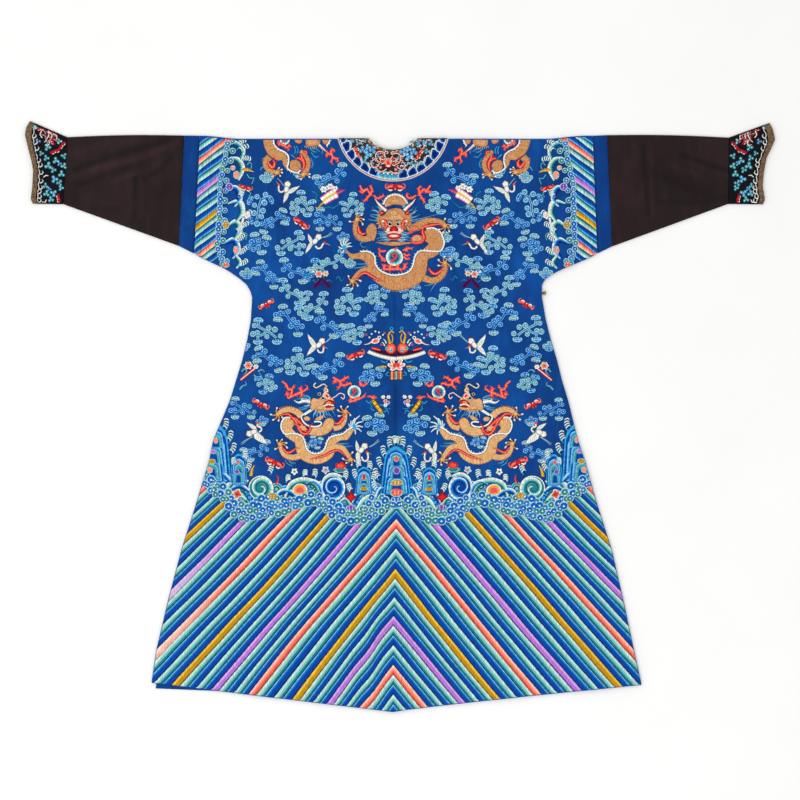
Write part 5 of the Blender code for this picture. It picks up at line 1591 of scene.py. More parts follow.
chestSilks = [
    (backFin,
     ([(426.5, 228.6), (433.4, 228), (440.3, 232.2), (443.5, 239), (443.9, 245.1), (439.9, 251.2),
      (429.5, 251.2), (420.4, 251.1), (415.4, 255.8), (413.5, 263.5), (410.8, 269.6), (405.1, 273.6),
      (394.3, 275.3), (385.9, 273.6), (378.6, 269.2), (375.2, 263.5), (374.3, 256.2), (368.3, 251.7),
      (360.7, 251.8)], 1)),
    (ribbon, {"width": 1.5, "bands": ("deepRed", "coral", "salmon"), "lift": 0.0034, "dome": 0.0005,
     "step": 1, "wide": (0.5, 1, 0.4)},
     [(412.5, 236.9), (416.2, 235), (421.2, 236.2), (422.5, 239.4), (418.8, 241.5), (413.8, 241)],
     [(409.5, 230.2), (411.5, 227.5), (415, 226.5), (418.5, 227.8), (417.8, 230.5)]),
    (redStreak,
     ([(423, 226.7), (422.7, 232.9), (424.2, 237.8), (421.1, 242.4), (413.5, 243.2), (410.8, 239.7)],
      2.8),
     ([(408.1, 232.9), (413.5, 230.2), (422.7, 227.3), (430.3, 225.2), (439.5, 224.4), (442.2, 226)],
      2.6),
     ([(357, 279.2), (360.7, 274.6), (366, 273), (372.1, 276.5), (378.3, 279.7), (384, 281.2)], 2.4),
     ([(428.8, 268.4), (431.8, 272.3), (435.7, 273.8), (441, 270.4), (442.9, 267.3)], 2.8),
     ([(358.5, 226), (359.1, 230.6), (361.8, 234), (365.6, 233.2)], 3.2)),
    (paw,
     (357.2, 219.5, [(349.6, 221.8), (357.2, 213.3), (361.8, 214.9), (363.9, 219.5), (363, 224.4)]),
     (445, 225.6, [(445, 218.7), (451.4, 225.6), (449.4, 231.7), (442.9, 232.9), (438.7, 229.8)]),
     (352.2, 281.2, [(348.4, 276.1), (347.3, 285.3), (352.2, 289.1), (358, 285.7), (360.7, 280.7)]),
     (444.8, 263.1, [(444.2, 256.6), (450.2, 258.5), (451.4, 268.8), (438.3, 260), (438.3, 265.8)])),
    (tailFan,
     ((344.6, 248.5), [(345.4, 237.4), (348.8, 239.4), (351.1, 242.8), (352.1, 246.6), (340.8, 239.7),
      (338.5, 246.6), (340.8, 253.5)])),
    (ribbon, {"width": 1.9, "bands": ("grey", "white", "white"), "lift": 0.002, "dome": 0.0006},
     [(382.9, 204.5), (385.5, 199), (389.7, 195.7), (395.1, 194.4), (400.8, 195.7), (404.7, 198.8),
      (407.7, 203.6)]),
    (comb,
     ([(382.9, 204.2), (385.5, 198.6), (389.7, 195.2), (395.1, 194), (400.8, 195.2), (404.7, 198.3),
      (407.7, 203.2)], 1.2, 2.4, "white", -1, 0, 0.5, 0.0018)),
    (ribbon, {"width": 3.6, "bands": ("grey", "white", "white", "pink"), "lift": 0.0022, "dome": 0.0009,
     "wide": (1, 0.9, 0.6, 0.15)},
     [(386.3, 211), (381.3, 206.8), (377.5, 202.6), (374.8, 198.8)],
     [(404.3, 210.7), (407.3, 207.2), (412.3, 203), (415.4, 198.8)]),
    (blob, {"rings": (1, 0.6), "colours": ("deepRed", "coral"), "lift": 0.004, "dome": 0.0006},
     (381.7, 213, 2.7, 1.9, 0, 14), (407.3, 213.1, 2.7, 1.9, 0, 14)),
    (redStreak,
     ([(382.5, 219.5), (385.9, 222.5), (386.7, 226), (384.8, 228.3)], 3, 0.0042),
     ([(406.4, 219.5), (403.5, 222.5), (402.9, 226), (404.7, 228.3)], 3, 0.0042)),
    (dots, ([(382.9, 221.5), (406.3, 221.5)], 1.1, "white", 0.005, 8)),
    (filled, {"rings": (1, 0.7), "colours": ("pink", "white"), "lift": 0.004, "dome": 0.0006},
     ([(387.6, 228.3), (390.7, 227.1), (391.4, 229.8), (389, 231.7), (385.9, 231.3)], 18),
     ([(400.5, 228.3), (397.4, 227.1), (396.6, 229.8), (399.1, 231.7), (402.1, 231.3)], 18)),
    (eye, (390.1, 224.2, 2.35), (397.9, 224.2, 2.35)),
    (tuft,
     (394.2, 220.2, 192, 238, 9, 9.5, 15.5, 1.3, maneLocks, 0.0012),
     (394.2, 220.2, -12, -58, 9, 9.5, 15.5, 1.3, maneLocks, 0.0012)),
    (beard, (394.2, 220.2)),
    (ribbon, {"width": 1, "bands": ("teal", "deepTeal"), "lift": 0.0043, "dome": 0.0003, "step": 1},
     [(387.4, 220.6), (389.7, 220), (392.8, 221.5)], [(395.3, 221.5), (398.3, 220), (401.1, 220.8)]),
    (filled, {"rings": (1, 0.6), "colours": ("deepRed", "red"), "lift": 0.0044, "dome": 0.001},
     ([(389, 229.9), (390.5, 227.5), (394, 226.1), (397, 227.5), (398.8, 229.9), (396.2, 231.7),
      (394, 230.9), (391.1, 231.9)], 24)),
    (ribbon, {"width": 2, "bands": ("white", "pink", "white"), "lift": 0.004, "dome": 0.0005, "step": 1,
     "wide": (0.4, 1, 0.8, 1, 0.4)},
     [(385.2, 231.3), (389, 233), (394, 231.9), (398.5, 233), (403.1, 230.4)]),
    (blob, {"rings": (1, 0.8), "colours": ("deepRed", "red"), "lift": 0.0042, "dome": 0.0006},
     (394, 236.1, 7.4, 3.1, 0, 24)),
    (blob, {"rings": (1, 0.7), "colours": ("pink", "white"), "lift": 0.005, "dome": 0.0004},
     (394, 236.1, 5.2, 1.35, 0, 18)),
    (wisp, {"widths": (1, 0.8), "dye": "bright", "shift": (0.5, 0.9)},
     [(379.8, 216), (376, 211.4), (372.9, 208)], [(379, 218.3), (373.7, 216.8), (369.8, 215.3)],
     [(378.6, 220.6), (372.1, 220), (367.9, 219.1)], [(409.3, 216), (413.5, 212.2), (416.5, 207.2)],
     [(409.8, 217.9), (415, 216.8), (420, 214.5)],
     [(410, 220.2), (420.4, 218.9), (430.3, 216.4), (439.9, 213.7)],
     [(410.4, 222.1), (421.1, 220.2), (430.3, 218.7)], [(387.1, 235.9), (381.3, 237.1), (376, 239)],
     [(386.8, 234.4), (381.3, 234.4), (376.7, 232.9)],
     [(387.1, 237.8), (382.9, 239.4), (377.5, 240.9)], [(401.2, 235.9), (406.6, 236.8), (411.6, 239)],
     [(401.2, 234.4), (405.8, 234.2), (408.9, 233.6)],
     [(400.8, 237.8), (405.8, 239.6), (411.2, 240.9)],
     [(365.3, 240.5), (359.9, 243.6), (363, 247.4), (366, 246.6)],
     [(366, 263.5), (359.1, 263.9), (353.8, 263.5)], [(366.8, 265.4), (359.1, 267.3), (348.4, 268.1)],
     [(435.7, 283), (432.6, 287.2), (430.3, 291.8)], [(433, 283), (428.8, 284.9), (424.2, 285.3)]),
    (pearl, (394.5, 257.3, 8.6)),
    (flame,
     ([(385.9, 250.5), (382.9, 251.6), (379.8, 250.5), (377.9, 248.2)], 1.7, ([(385.2, 258.9),
      (382.1, 258.1), (379.8, 255.1), (378.3, 251.2)], [(385.9, 261.2), (382.9, 260), (380.6, 259.3)])),
     ([(402.8, 250.5), (406.6, 248.9), (411.2, 248.2), (413.5, 247.4)], 1.7, ([(403.5, 253.5),
      (407.3, 255.8), (409.6, 253.5)], [(403.5, 256.6), (407.3, 259.3), (409.3, 257.3)], [(405.1, 251.2),
      (407.3, 249.7), (405.8, 247.4)])),
     ([(382.9, 269.2), (389, 269.2), (396.6, 269.2), (405.8, 269.2)], 2.4, ([(384.4, 268.8), (384, 265.8),
      (385.9, 264.6)], [(390.5, 268.8), (389.7, 266.5), (391.3, 265.4)], [(396.6, 268.8), (398.2, 266.5),
      (397.4, 265.4)], [(403.5, 268.8), (405.1, 265.8), (405.1, 263.5)])),
     ([(393.6, 250.1), (396.2, 248.9), (396.6, 247.4)], 1.5),
     ([(359.9, 185.4), (363, 190.8), (366.8, 189.2), (370.6, 194.6), (373.7, 195.4)], 2, ([(370.6, 194.6),
      (366.8, 198.4), (363.7, 202.6)], [(373.7, 195.4), (377.5, 198.4), (382.9, 196.1), (382.9, 193.1)],
      [(366.8, 189.2), (362.2, 192.3), (358.8, 191.1)], [(370.6, 194.6), (372.1, 189.2),
      (369.1, 185.4)])),
     ([(430.3, 185.4), (426.5, 190.8), (423.4, 189.2), (419.6, 194.6), (415.8, 195.4)], 2,
      ([(419.6, 194.6), (422.7, 199.2), (425.7, 203.4)], [(415.8, 195.4), (411.2, 198.4), (406.6, 196.1),
      (407.3, 192.3)], [(423.4, 189.2), (428, 192.3), (431.8, 190.8)], [(419.6, 194.6), (418.8, 188.5),
      (421.1, 185.4)])))]

draw("chestGold", chestScales)
draw("chestDragon", chestSilks)
embroider("leftHalf", "chestGold", "chestDragonGold", goldScale, base=above["figure"])
embroider("rightHalf", "chestDragon", "chestDragonSilk", base=above["figure"])

# The lower dragon on the left; the right one mirrors it
lowScales = [
    (between, {"bands": goldBands("sand"), "edges": goldEdges, "lift": 0.001, "dome": 0.0014},
     ([(285.2, 434.5), (291.5, 433.8), (297.1, 434.3), (302, 436.6), (304.4, 440.4), (305.6, 445.3),
      (307.7, 450.3), (312.5, 453.1), (318.1, 453.4), (323, 451), (325.8, 446.8), (327.4, 441.1),
      (330.8, 437.3), (336.4, 435.5), (342.7, 434.1), (347.6, 430.3), (352.5, 427.5)], [(285.2, 436.2),
      (290.1, 439.7), (295, 443.2), (295.7, 448.2), (297.1, 453.8), (301.3, 459.4), (306.9, 462.5),
      (315.3, 464.3), (323.7, 462.9), (330.8, 458.7), (334.3, 453.8), (335.7, 448.2), (336.4, 443.2),
      (341.3, 440.4), (347.6, 439.7), (351.8, 434.1), (353.9, 429.9)])),
    (goldPatch,
     [(282, 424.3), (283.7, 419.4), (288.7, 417.3), (292.9, 420.1), (295, 422.9), (293.6, 425.7),
      (292.2, 428.5), (295, 431.7), (295.7, 433.4), (285.9, 434.1), (282.3, 429.2)],
     ([(310.4, 427.5), (315.3, 427.5), (321.6, 426.4), (323.7, 422.9), (325.1, 420.1), (329.3, 417.6),
      (333.7, 419.4), (334.6, 423.2), (332.5, 428.5), (326.9, 433.6), (319.5, 435.9), (311.1, 435),
      (307.2, 433.6)], 0.0014, 0.0008),
     ([(314.6, 419.4), (317.4, 417.3), (321.6, 415.2), (323.7, 416.2), (321.6, 419.4), (317.4, 420.4)],
      0.0014, 0.0004),
     ([(303.4, 417.3), (307.6, 416.2), (310.4, 418.7), (308.3, 420.8), (304.8, 420.1)], 0.0014, 0.0004)),
    (limb,
     ([(301.3, 415.9), (296.4, 411.7), (290.1, 409.6), (283, 410.6), (277.8, 414.1)], 5),
     ([(333.6, 428.5), (339.9, 427.1), (344.4, 421.5), (345.6, 415.9), (345.6, 411.7)], 3.8),
     ([(299.9, 455.9), (292.2, 457.3), (284.4, 454.5), (281.1, 448.9), (280.1, 444.3)], 4.4),
     ([(335, 447.1), (342, 447.8), (346.9, 453.4), (350.5, 459)], 4.4)),
    (goldPatch,
     ([(310.4, 408.2), (311.1, 401.2), (313.2, 398), (318.1, 399), (321.6, 396.1), (325.1, 394.8),
      (329.3, 396.4), (332.9, 399), (334.3, 402.2), (325.1, 402.7), (323.5, 405.7), (329.3, 407.3),
      (333.9, 407.8), (329.3, 409.2), (322.3, 409.4), (315.3, 408.9), (311.9, 410.8)], 0.0024, 0.0012,
      ("tan", "gold", "paleGold", "paleGold"))),
    (limb,
     ([(329.3, 398.3), (326.2, 392.7), (324.8, 389.9), (326.9, 385.7)], 3, 0.003, (1.2, 1, 0.8, 0.5))),
    (comb,
     ([(335, 422.9), (332.9, 428.5), (327.2, 433.8), (319.5, 436.1), (311.1, 435.2)], 2, 1.4, "paleGold",
      1, 0.2, 0.5, 0.001),
     ([(333.9, 408.2), (325.1, 409.6), (315.3, 409)], 2.4, 1.7, "paleGold", -1, 0.1, 0.5, 0.002),
     ([(279.5, 408.9), (284.4, 407.5), (290.1, 406.8), (295.7, 408.9)], 1.6, 1.6, "paleGold", -1, 0.2,
      0.5, 0.0012),
     ([(279.9, 450.3), (283.7, 456.6), (290.1, 459.7), (297.1, 459.4)], 1.4, 1.6, "paleGold", 1, 0.2, 0.5,
      0.0012)),
    (tuft, (320.6, 403.1, 60, 150, 11, 4.2, 7.8, 1.9, sandLocks, 0.0016, 0.85)),
    (goldPatch,
     ([(322.8, 403.8), (325.2, 401.4), (329.6, 400.1), (334.7, 402.3), (334, 403.8), (329.6, 402.5),
      (326.3, 403.8), (324.3, 406)], 0.0034, 0.0008),
     ([(323, 406.9), (326.3, 408), (330.7, 408), (334.7, 406.9), (333.8, 409.3), (328.5, 410.2),
      (323.6, 409.3)], 0.0034, 0.0006),
     ([(299.4, 426.7), (302.1, 424.7), (305.9, 426.7), (306.5, 430), (302.6, 430.6)], 0.0032, 0.0008))]

lowSilks = [
    (backFin,
     ([(311.1, 409.6), (305.5, 413.4), (301.4, 416.6), (303.7, 421.8), (307.6, 425.1), (313.9, 426.5),
      (319.5, 425.7), (321.6, 423.2), (319.2, 421.6), (314.3, 421.8)], 1, 0.0022, False),
     ([(290.1, 417.3), (284.4, 418), (281.3, 423.6), (281.6, 429.2), (285.2, 434.1), (291.5, 433.6),
      (297.1, 434.1), (302, 436.4), (304.4, 440.4), (305.6, 445.3), (307.7, 450.3), (312.5, 453.2),
      (318.1, 453.5), (323, 451), (325.8, 446.8), (327.4, 441.1), (330.8, 437.1), (336.4, 435.4),
      (342.7, 434), (347.6, 430.1), (352.5, 427.2)], -1)),
    (tailFan,
     ((353.2, 427.8), [(348.6, 423.6), (351.1, 420.4), (355, 418), (359.9, 415.5), (363, 421.5),
      (363, 427.1), (361.6, 431.7), (355.3, 434.5)])),
    (redStreak,
     ([(281.6, 414.5), (288, 413.9), (292.2, 417.3), (296.4, 421.5), (299.2, 428.5), (302.7, 433.1),
      (306.9, 433.4), (310.4, 429.9), (310.5, 425.7)], 2.9),
     ([(311.1, 459), (318.1, 457.3), (325.1, 455.2), (332.2, 451.3), (337.8, 450.3), (342.7, 453.1),
      (346.5, 456.6)], 2.2),
     ([(334.6, 422.9), (338.5, 423.2), (342.7, 418.7), (343.7, 415.2)], 3),
     ([(283, 447.5), (287.3, 452.4), (292.2, 451), (296.4, 447.8)], 2.4)),
    (paw,
     (277.8, 414.1, [(276.9, 407.8), (270.8, 414.5), (273.2, 420.1), (278.8, 420.7), (282.7, 417.6)]),
     (345.6, 411.5, [(340.9, 406.4), (347.9, 406.4), (350.7, 415.2), (337.8, 410.3), (338.8, 416.2)]),
     (280.1, 444.1, [(276.9, 440.1), (282.2, 439.4), (286.7, 442.9), (287.4, 447.5), (275.3, 449.2)]),
     (350.7, 459.4, [(352.5, 452), (355, 460.8), (351.8, 465), (346.2, 463), (342.7, 458.7)])),
    (filled, {"rings": (1, 0.7), "colours": ("deepRed", "red"), "lift": 0.0038, "dome": 0.0004},
     ([(322.9, 405), (325.1, 401.9), (329.3, 399.9), (334.6, 401.9), (332.5, 406.8), (326.5, 407.7)],
      24)),
    (ribbon, {"width": 1.6, "bands": ("grey", "white", "white"), "lift": 0.0044, "dome": 0.0004,
     "step": 1},
     [(323.4, 406.2), (328.3, 404.1), (333.9, 405.5)]),
    (filled, {"rings": (1, 0.6), "colours": ("red", "coral"), "lift": 0.0042, "dome": 0.0004},
     ([(324.4, 394.1), (325.5, 391.3), (327.9, 393.1), (329.3, 396.2), (326.9, 396.9)], 20)),
    (ribbon, {"width": 3.2, "bands": ("grey", "white", "white"), "lift": 0.0022, "dome": 0.0008,
     "wide": (1, 1, 0.7, 0.15)},
     [(310.4, 402.2), (304.1, 401.2), (298.5, 402.7), (293.9, 400.1)]),
    (ribbon, {"width": 1.6, "bands": ("white", "white"), "lift": 0.0022, "dome": 0.0005, "wide": (1, 0.6,
     0.2)},
     [(304.1, 401.9), (301.3, 399), (303.4, 398.3)]),
    (eye, (319.4, 393.9, 1.7, 0.0044), (323.2, 398.1, 2, 0.0044)),
    (tuft,
     (320.6, 403.1, 55, 140, 12, 7.5, 8.5, 1.2, [("bright", "paleCyan"), ("royal", "cyan"),
      ("cyan", "white")], 0.0014),
     (320.6, 403.1, 165, 205, 7, 9, 11, 1.2, [("bright", "paleCyan"), ("teal", "white")], 0.0012)),
    (ribbon, {"width": 3, "bands": ("grey", "white", "paleGold", "brown"), "lift": 0.004, "dome": 0.0006,
     "step": 1, "wide": (1, 0.8, 0.9, 0.5)},
     [(324.3, 398.6), (323.6, 395.9), (325.2, 392.6), (327.9, 391.5), (327.4, 389.3), (325.8, 387.3)]),
    (filled, {"rings": (1, 0.75, 0.4), "colours": ("white", "coral", "red"), "lift": 0.0046,
     "dome": 0.0006},
     ([(324.1, 395.9), (326.3, 393.1), (328.7, 394.8), (329.6, 398.6), (326.3, 398.1)], 18)),
    (redStreak,
     ([(290.6, 416.8), (295.5, 418.4), (299.9, 422.3), (304.3, 426.7), (308.7, 431.1)], 2.4, 0.003),
     ([(294.4, 423.4), (299.9, 426.7), (304.3, 430), (307.6, 432.2)], 2.4, 0.003),
     ([(308.7, 432.2), (310.4, 428.9), (309.2, 426.1)], 2.4, 0.003)),
    (ribbon, {"width": 1.1, "bands": ("white", "paleGold"), "lift": 0.0024, "dome": 0.0003, "step": 0.9},
     [(326.9, 386.4), (323.7, 384), (319.2, 386.3), (316, 387.7), (313.8, 385.4), (315.9, 382.9)]),
    (ribbon, {"width": 1, "bands": ("white", "pink"), "lift": 0.0024, "dome": 0.0003, "step": 0.9},
     [(331.1, 399), (335.7, 396.4), (340, 393.3), (344.2, 395), (343.5, 399), (341.1, 397.1)]),
    (ribbon, {"width": 2.4, "bands": ("white", "mint", "white"), "lift": 0.0022, "dome": 0.0005},
     [(311.1, 409.9), (307.6, 412.4), (304.1, 414.5)]),
    (wisp, {"widths": (1, 0.9), "dye": "cyan", "shift": (0.5, 0.9)},
     [(310.4, 399.7), (302.7, 398), (295, 399)], [(310.1, 405.7), (304.1, 406.8), (298.5, 407.5)],
     [(310.4, 398.3), (306.9, 396.4), (301.3, 396.4)],
     [(306.9, 407.5), (301.3, 409.2), (297.1, 408.2)],
     [(316.7, 409.9), (315.3, 413.8), (317.4, 416.6)],
     [(320.2, 409.9), (319.5, 413.1), (321.6, 415.2)],
     [(323.7, 409.9), (324.4, 413.1), (327.2, 415.9)],
     [(327.2, 409.6), (328.6, 413.1), (332.2, 417.3)], [(330.8, 409.2), (332.9, 411.7), (335, 415.9)],
     [(336.4, 443.2), (342.7, 443.6), (349, 443.2)], [(337.8, 445.3), (344.8, 446.4), (352.5, 445.7)],
     [(285.2, 460.1), (287.3, 463.6), (292.2, 465.7)],
     [(288.7, 460.8), (291.5, 462.9), (295.7, 462.9)],
     [(332.2, 433.4), (336.4, 434.1), (339.9, 432.7)]),
    (pearl, (354.3, 392, 6.6)),
    (flame,
     ([(359.2, 381.5), (362.3, 385.7), (365.8, 384.3), (365.8, 381.5)], 1.9, ([(362.3, 385.7),
      (360.2, 383.6)],)),
     ([(349, 402.2), (355.3, 400.1), (362.3, 397.3), (366.5, 392.4)], 2, ([(355.3, 400.1), (356, 396.9)],
      [(351.8, 401.5), (349.7, 399)])),
     ([(332.9, 377.3), (339.9, 381.5), (339.9, 386.4), (336.4, 390.3)], 2.2, ([(339.9, 385), (345.5, 385),
      (350.4, 382.9), (351.8, 384.7)], [(339.9, 381.5), (344.8, 378.7), (349, 375.9)], [(335, 379.4),
      (335, 382.9)])),
     ([(282, 381.2), (286.6, 385), (288, 389.2), (292.2, 389.2), (294.3, 384.3), (295.7, 385.4)], 2,
      ([(292.2, 389.2), (291.5, 394.1), (288.7, 398.3), (286.6, 396.2)],)),
     ([(289.4, 397.6), (295, 394.8), (301.3, 392), (305.5, 389.9), (307.6, 386.4), (304.8, 385)], 2.2,
      ([(301.3, 392), (302, 396.2)], [(301.3, 391.3), (300.2, 387.1)], [(288.7, 395.5),
      (286.2, 393.1)])))]

# The shoulder dragon on the left; the right one mirrors it
shoulderScales = [
    (between, {"bands": goldBands("gold"), "edges": goldEdges, "lift": 0.001, "dome": 0.0012},
     ([(272.6, 135.4), (273.4, 140.8), (274.8, 146.3), (278.9, 150.6), (284.3, 153.3), (287.5, 158.2),
      (287.5, 163.6), (288.9, 170.1)], [(262.6, 135.4), (263.4, 142.5), (265.3, 149.5), (269.1, 155.5),
      (276.7, 160.4), (282.1, 160.4), (283.2, 164.7), (287, 170.1)])),
    (goldPatch,
     [(290.2, 161.4), (294, 159.8), (298.4, 160.9), (301.1, 164.7), (300, 169), (297.3, 172),
      (292.9, 171.7), (289.7, 167.9)]),
    (limb,
     ([(269.6, 157.1), (266.1, 161.4), (266.9, 167.4), (271.3, 170.9), (276.7, 172.8)], 5, 0.0016, (1.2,
      1.1, 1, 0.9, 0.7)),
     ([(300.5, 151.1), (305.4, 156), (307.9, 162.5), (307, 169), (303.5, 174.2)], 4.6, 0.0016, (0.7, 0.9,
      1, 0.95, 0.8))),
    (goldPatch,
     ([(306, 136.5), (312.5, 136), (319.5, 138.1), (319.8, 143.6), (315.7, 145.7), (310.3, 146.3),
      (306, 144.6)], 0.0016, 0.0006, ("tan", "gold", "paleGold", "pink")),
     ([(321.7, 136.5), (327.6, 136.5), (328.7, 140.8), (325.5, 144.6), (322.8, 142.5)], 0.0012, 0.0005),
     ([(294.6, 138.1), (301.6, 138.1), (301.6, 142.5), (298.4, 143.6), (295.1, 141.9)], 0.0014, 0.0005,
      ("brown", "gold", "coral", "pink"))),
    (comb,
     ([(264.2, 158.2), (264.5, 164.7), (267.5, 170.1), (272.9, 173.4)], 2.2, 1.6, "paleGold", 1, 0.2, 0.5,
      0.0012),
     ([(309.8, 160.4), (309.5, 165.2), (307.9, 171.2)], 2, 1.5, "paleGold", -1, 0.2, 0.5, 0.0012),
     ([(305.4, 145.7), (310.3, 146.8), (316.3, 146.3), (319.5, 144.6)], 2.6, 1.8, "white", 1, 0.1, 0.5,
      0.0018))]

shoulderSilks = [
    (backFin,
     ([(273.7, 136.5), (274.2, 144.1), (278.3, 149), (284.5, 152), (288.3, 156), (288.7, 162.5),
      (287.5, 167.4), (290.8, 170.9), (297.3, 172.8), (300, 170.4)], 1, 0.0024),
     ([(330.1, 136.5), (329.3, 141.9), (326.6, 145.7)], -1, 0.002)),
    (redStreak,
     ([(268.3, 161.4), (269.6, 164.7), (272.9, 167.4), (274.5, 163.1), (272.9, 160.4)], 3.4),
     ([(301.1, 153.9), (302.2, 158.2), (304.1, 162.5), (304.1, 166.9), (302.7, 170.7)], 3.2),
     ([(296.7, 158.7), (299.5, 158.2), (301.6, 160.9)], 2.6),
     ([(303.8, 151.1), (306.5, 151.7), (307, 154.9)], 2)),
    (paw,
     (277, 172.8, [(272.9, 176.6), (280.5, 176.1), (282.4, 172.8), (282.1, 169.6), (279.1, 167.9)]),
     (303.4, 174.5, [(297.3, 176.6), (301.1, 179.6), (309.8, 177.2), (310, 174.2), (298.4, 173.4)])),
    (pearl, (284.8, 139.5, 5)),
    (flame,
     ([(277.8, 140.8), (280.5, 144.1), (283.2, 145.7), (287.5, 144.1)], 1.8, ([(283.2, 145.7),
      (286.4, 147.3), (289.7, 150.1)], [(280.5, 144.1), (278.3, 144.6)], [(287.5, 146.3),
      (290.2, 145.7)]))),
    (ribbon, {"width": 2.6, "bands": ("grey", "white", "pink"), "lift": 0.002, "dome": 0.0006, "wide": (1,
     0.8, 0.6)},
     [(319, 144.6), (321.7, 147.3), (325.5, 150.9)]),
    (flame,
     ([(325.5, 150.6), (328.2, 153.3), (332, 154.9), (332.5, 158.2), (331.4, 162.5), (333.6, 164.7)], 2,
      ([(332, 154.9), (330.9, 151.1), (333.6, 149.5), (335.2, 152.2)], [(332.5, 158.2), (336.9, 158.7),
      (338.5, 162.5)], [(326, 153.9), (327.6, 155.5)]))),
    (wisp, {"widths": (1.1, 1), "dye": "cyan", "shift": (0.6, 0.8)},
     [(309.8, 148.4), (313.5, 151.7), (317.3, 151.7)], [(311.4, 152.8), (314.6, 157.1), (319, 156)],
     [(310.3, 158.2), (312.5, 162.5), (311.4, 167.9)], [(294, 146.3), (295.1, 150.6), (294, 153.9)],
     [(296.2, 146.3), (297.8, 150.1), (296.7, 153.3)],
     [(264.8, 165.8), (261.5, 167.4), (259.9, 170.1)], [(290.8, 154.9), (294, 157.1), (295.1, 159.3)],
     [(320.1, 147.9), (322.2, 150.6), (321.7, 153.9)], [(312.5, 148.4), (316.3, 149), (320.1, 151.7)])]

for scales, silks, name, clip in ((lowScales, lowSilks, "Dragon", None),
                                  (shoulderScales, shoulderSilks, "Shoulder", bodyClip)):
    for kind, drawing in (("Gold", scales), ("", silks)):
        draw("left" + name + kind, drawing)
        mirrorBag("left" + name + kind, "right" + name + kind, 0.5)
    for word in ("left", "right"):
        for kind, thread in (("Gold", goldScale), ("", floss)):
            pieceName = word + name.replace("Shoulder", "ShoulderDragon") + (kind or "Silk")
            embroider(word + "Half", word + name + kind, pieceName, thread, clip, above["figure"])
print("dragons sewn")


def crane(bag, root, wings, tail, neck, legs, lift=0.0012):
    # Broad wings lined with feathers, a fan for a tail, a looped neck with its red crown, thin legs
    root, tail = np.array(root, float), np.array(tail, float)
    for a, b, breadth in wings:
        way = np.array([a, b]) - root
        out = np.array([-way[1], way[0]]) / np.hypot(*way) * breadth
        wing = np.array([(-0.08, -0.1), (0.5, -0.25), (1, 0), (0.78, 0.45), (0.5, 0.8), (0.22, 0.95),
                         (0, 0.6)])
        patch(bag, root + wing[:, :1] * way + wing[:, 1:] * out, (1, 0.84), ("grey", "white"), lift,
              0.0006)
        for share in (0.12, 0.3, 0.5, 0.7):
            start = root + way * (0.1 + share * 0.55)
            ribbon(bag, [start, start + way * 0.16 + out * (0.75 - share * 0.5)], 0.3,
                   ("grey", "grey"), lift + 0.0007, 0.0001, wide=(0.6, 1))
    way = tail - root
    heading = math.atan2(way[1], way[0])
    patch(bag, oval(*(root + way * 0.3), 4.2, 2.6, math.degrees(heading), 14), (1, 0.7),
          ("grey", "white"), lift + 0.0008, 0.0006)
    for lean in (-1.1, -0.55, 0, 0.55, 1.1):
        ahead = np.array([math.cos(heading + lean), math.sin(heading + lean)])
        ribbon(bag, [tail + ahead * 2, tail + ahead * 5.2], 0.9, ("brown", "ink"), lift + 0.0004,
               0.0002, wide=(1, 0.3))
    patch(bag, oval(*tail, 3.5, 3.2, math.degrees(heading), 18, 5, 0.1), (1, 0.8), ("grey", "white"),
          lift + 0.0006, 0.0005)
    ribbon(bag, neck[:-1], 1.8, ("grey", "white", "white"), lift + 0.0012, 0.0006, step=1.0)
    (u, v), (a, b) = neck[-2], neck[-1]
    patch(bag, oval(u, v, 1.5, 1.3, 0, 10), (1, 0.6), ("red", "coral"), lift + 0.0016, 0.0004)
    ribbon(bag, [(u, v), (a, b)], 0.9, ("grey", "paleGold"), lift + 0.0012, 0.0003, wide=(1, 0.3))
    for spread in (-0.5, 0.5):
        ribbon(bag, np.asarray(legs) + np.array([[0.2], [0.6], [1.2]]) * spread, 0.45,
               ("foamLine", "foamLine"), lift, 0.0002)


leftCranes = [
    ((286, 191.5), [(300.4, 185.6, 4.2), (283.2, 203.6, -4.0)], (287.6, 184.5),
     [(284, 191), (281.5, 192.5), (279, 191), (278.6, 187.5), (279, 185), (276.5, 181.5)],
     [(284, 186), (281, 182), (278, 179)]),
    ((313.8, 243), [(308, 233.4, -3.6), (305.2, 254.4, 3.6)], (318.6, 237.2),
     [(315.5, 246), (318, 248.4), (321, 247.6), (322.6, 244.6), (324.6, 242.8), (330.6, 245.6)],
     [(321, 238), (327, 236.4), (332, 233)]),
    ((317.6, 346.4), [(307.4, 333.4, -4.6), (306.6, 356.2, 4.4)], (322, 341.2),
     [(317.6, 349.4), (319.2, 352), (322.4, 352.2), (323.4, 349), (323.6, 346.2), (328, 348.8)],
     [(325, 343), (330, 338.6), (335.4, 333.6)]),
    ((255.6, 431), [(246.2, 422.4, 3.8), (268.8, 444.6, 6.4)], (249.6, 433.6),
     [(259, 432), (261.4, 430), (260.6, 427.4), (257.6, 426.4), (257.4, 423), (265.8, 423.2)],
     [(253, 436.4), (246.6, 440), (241.4, 444)]),
    ((360, 451.6), [(356.2, 439.6, -3.6), (358.4, 465.8, 4.4)], (364.6, 446.2),
     [(361.6, 456.6), (363.6, 460.4), (367, 460.2), (368, 456.4), (367, 452), (371.6, 454.4)],
     [(369, 447), (374, 444.4), (379, 440)])]
for figure in leftCranes:
    crane("leftFigures", *figure)


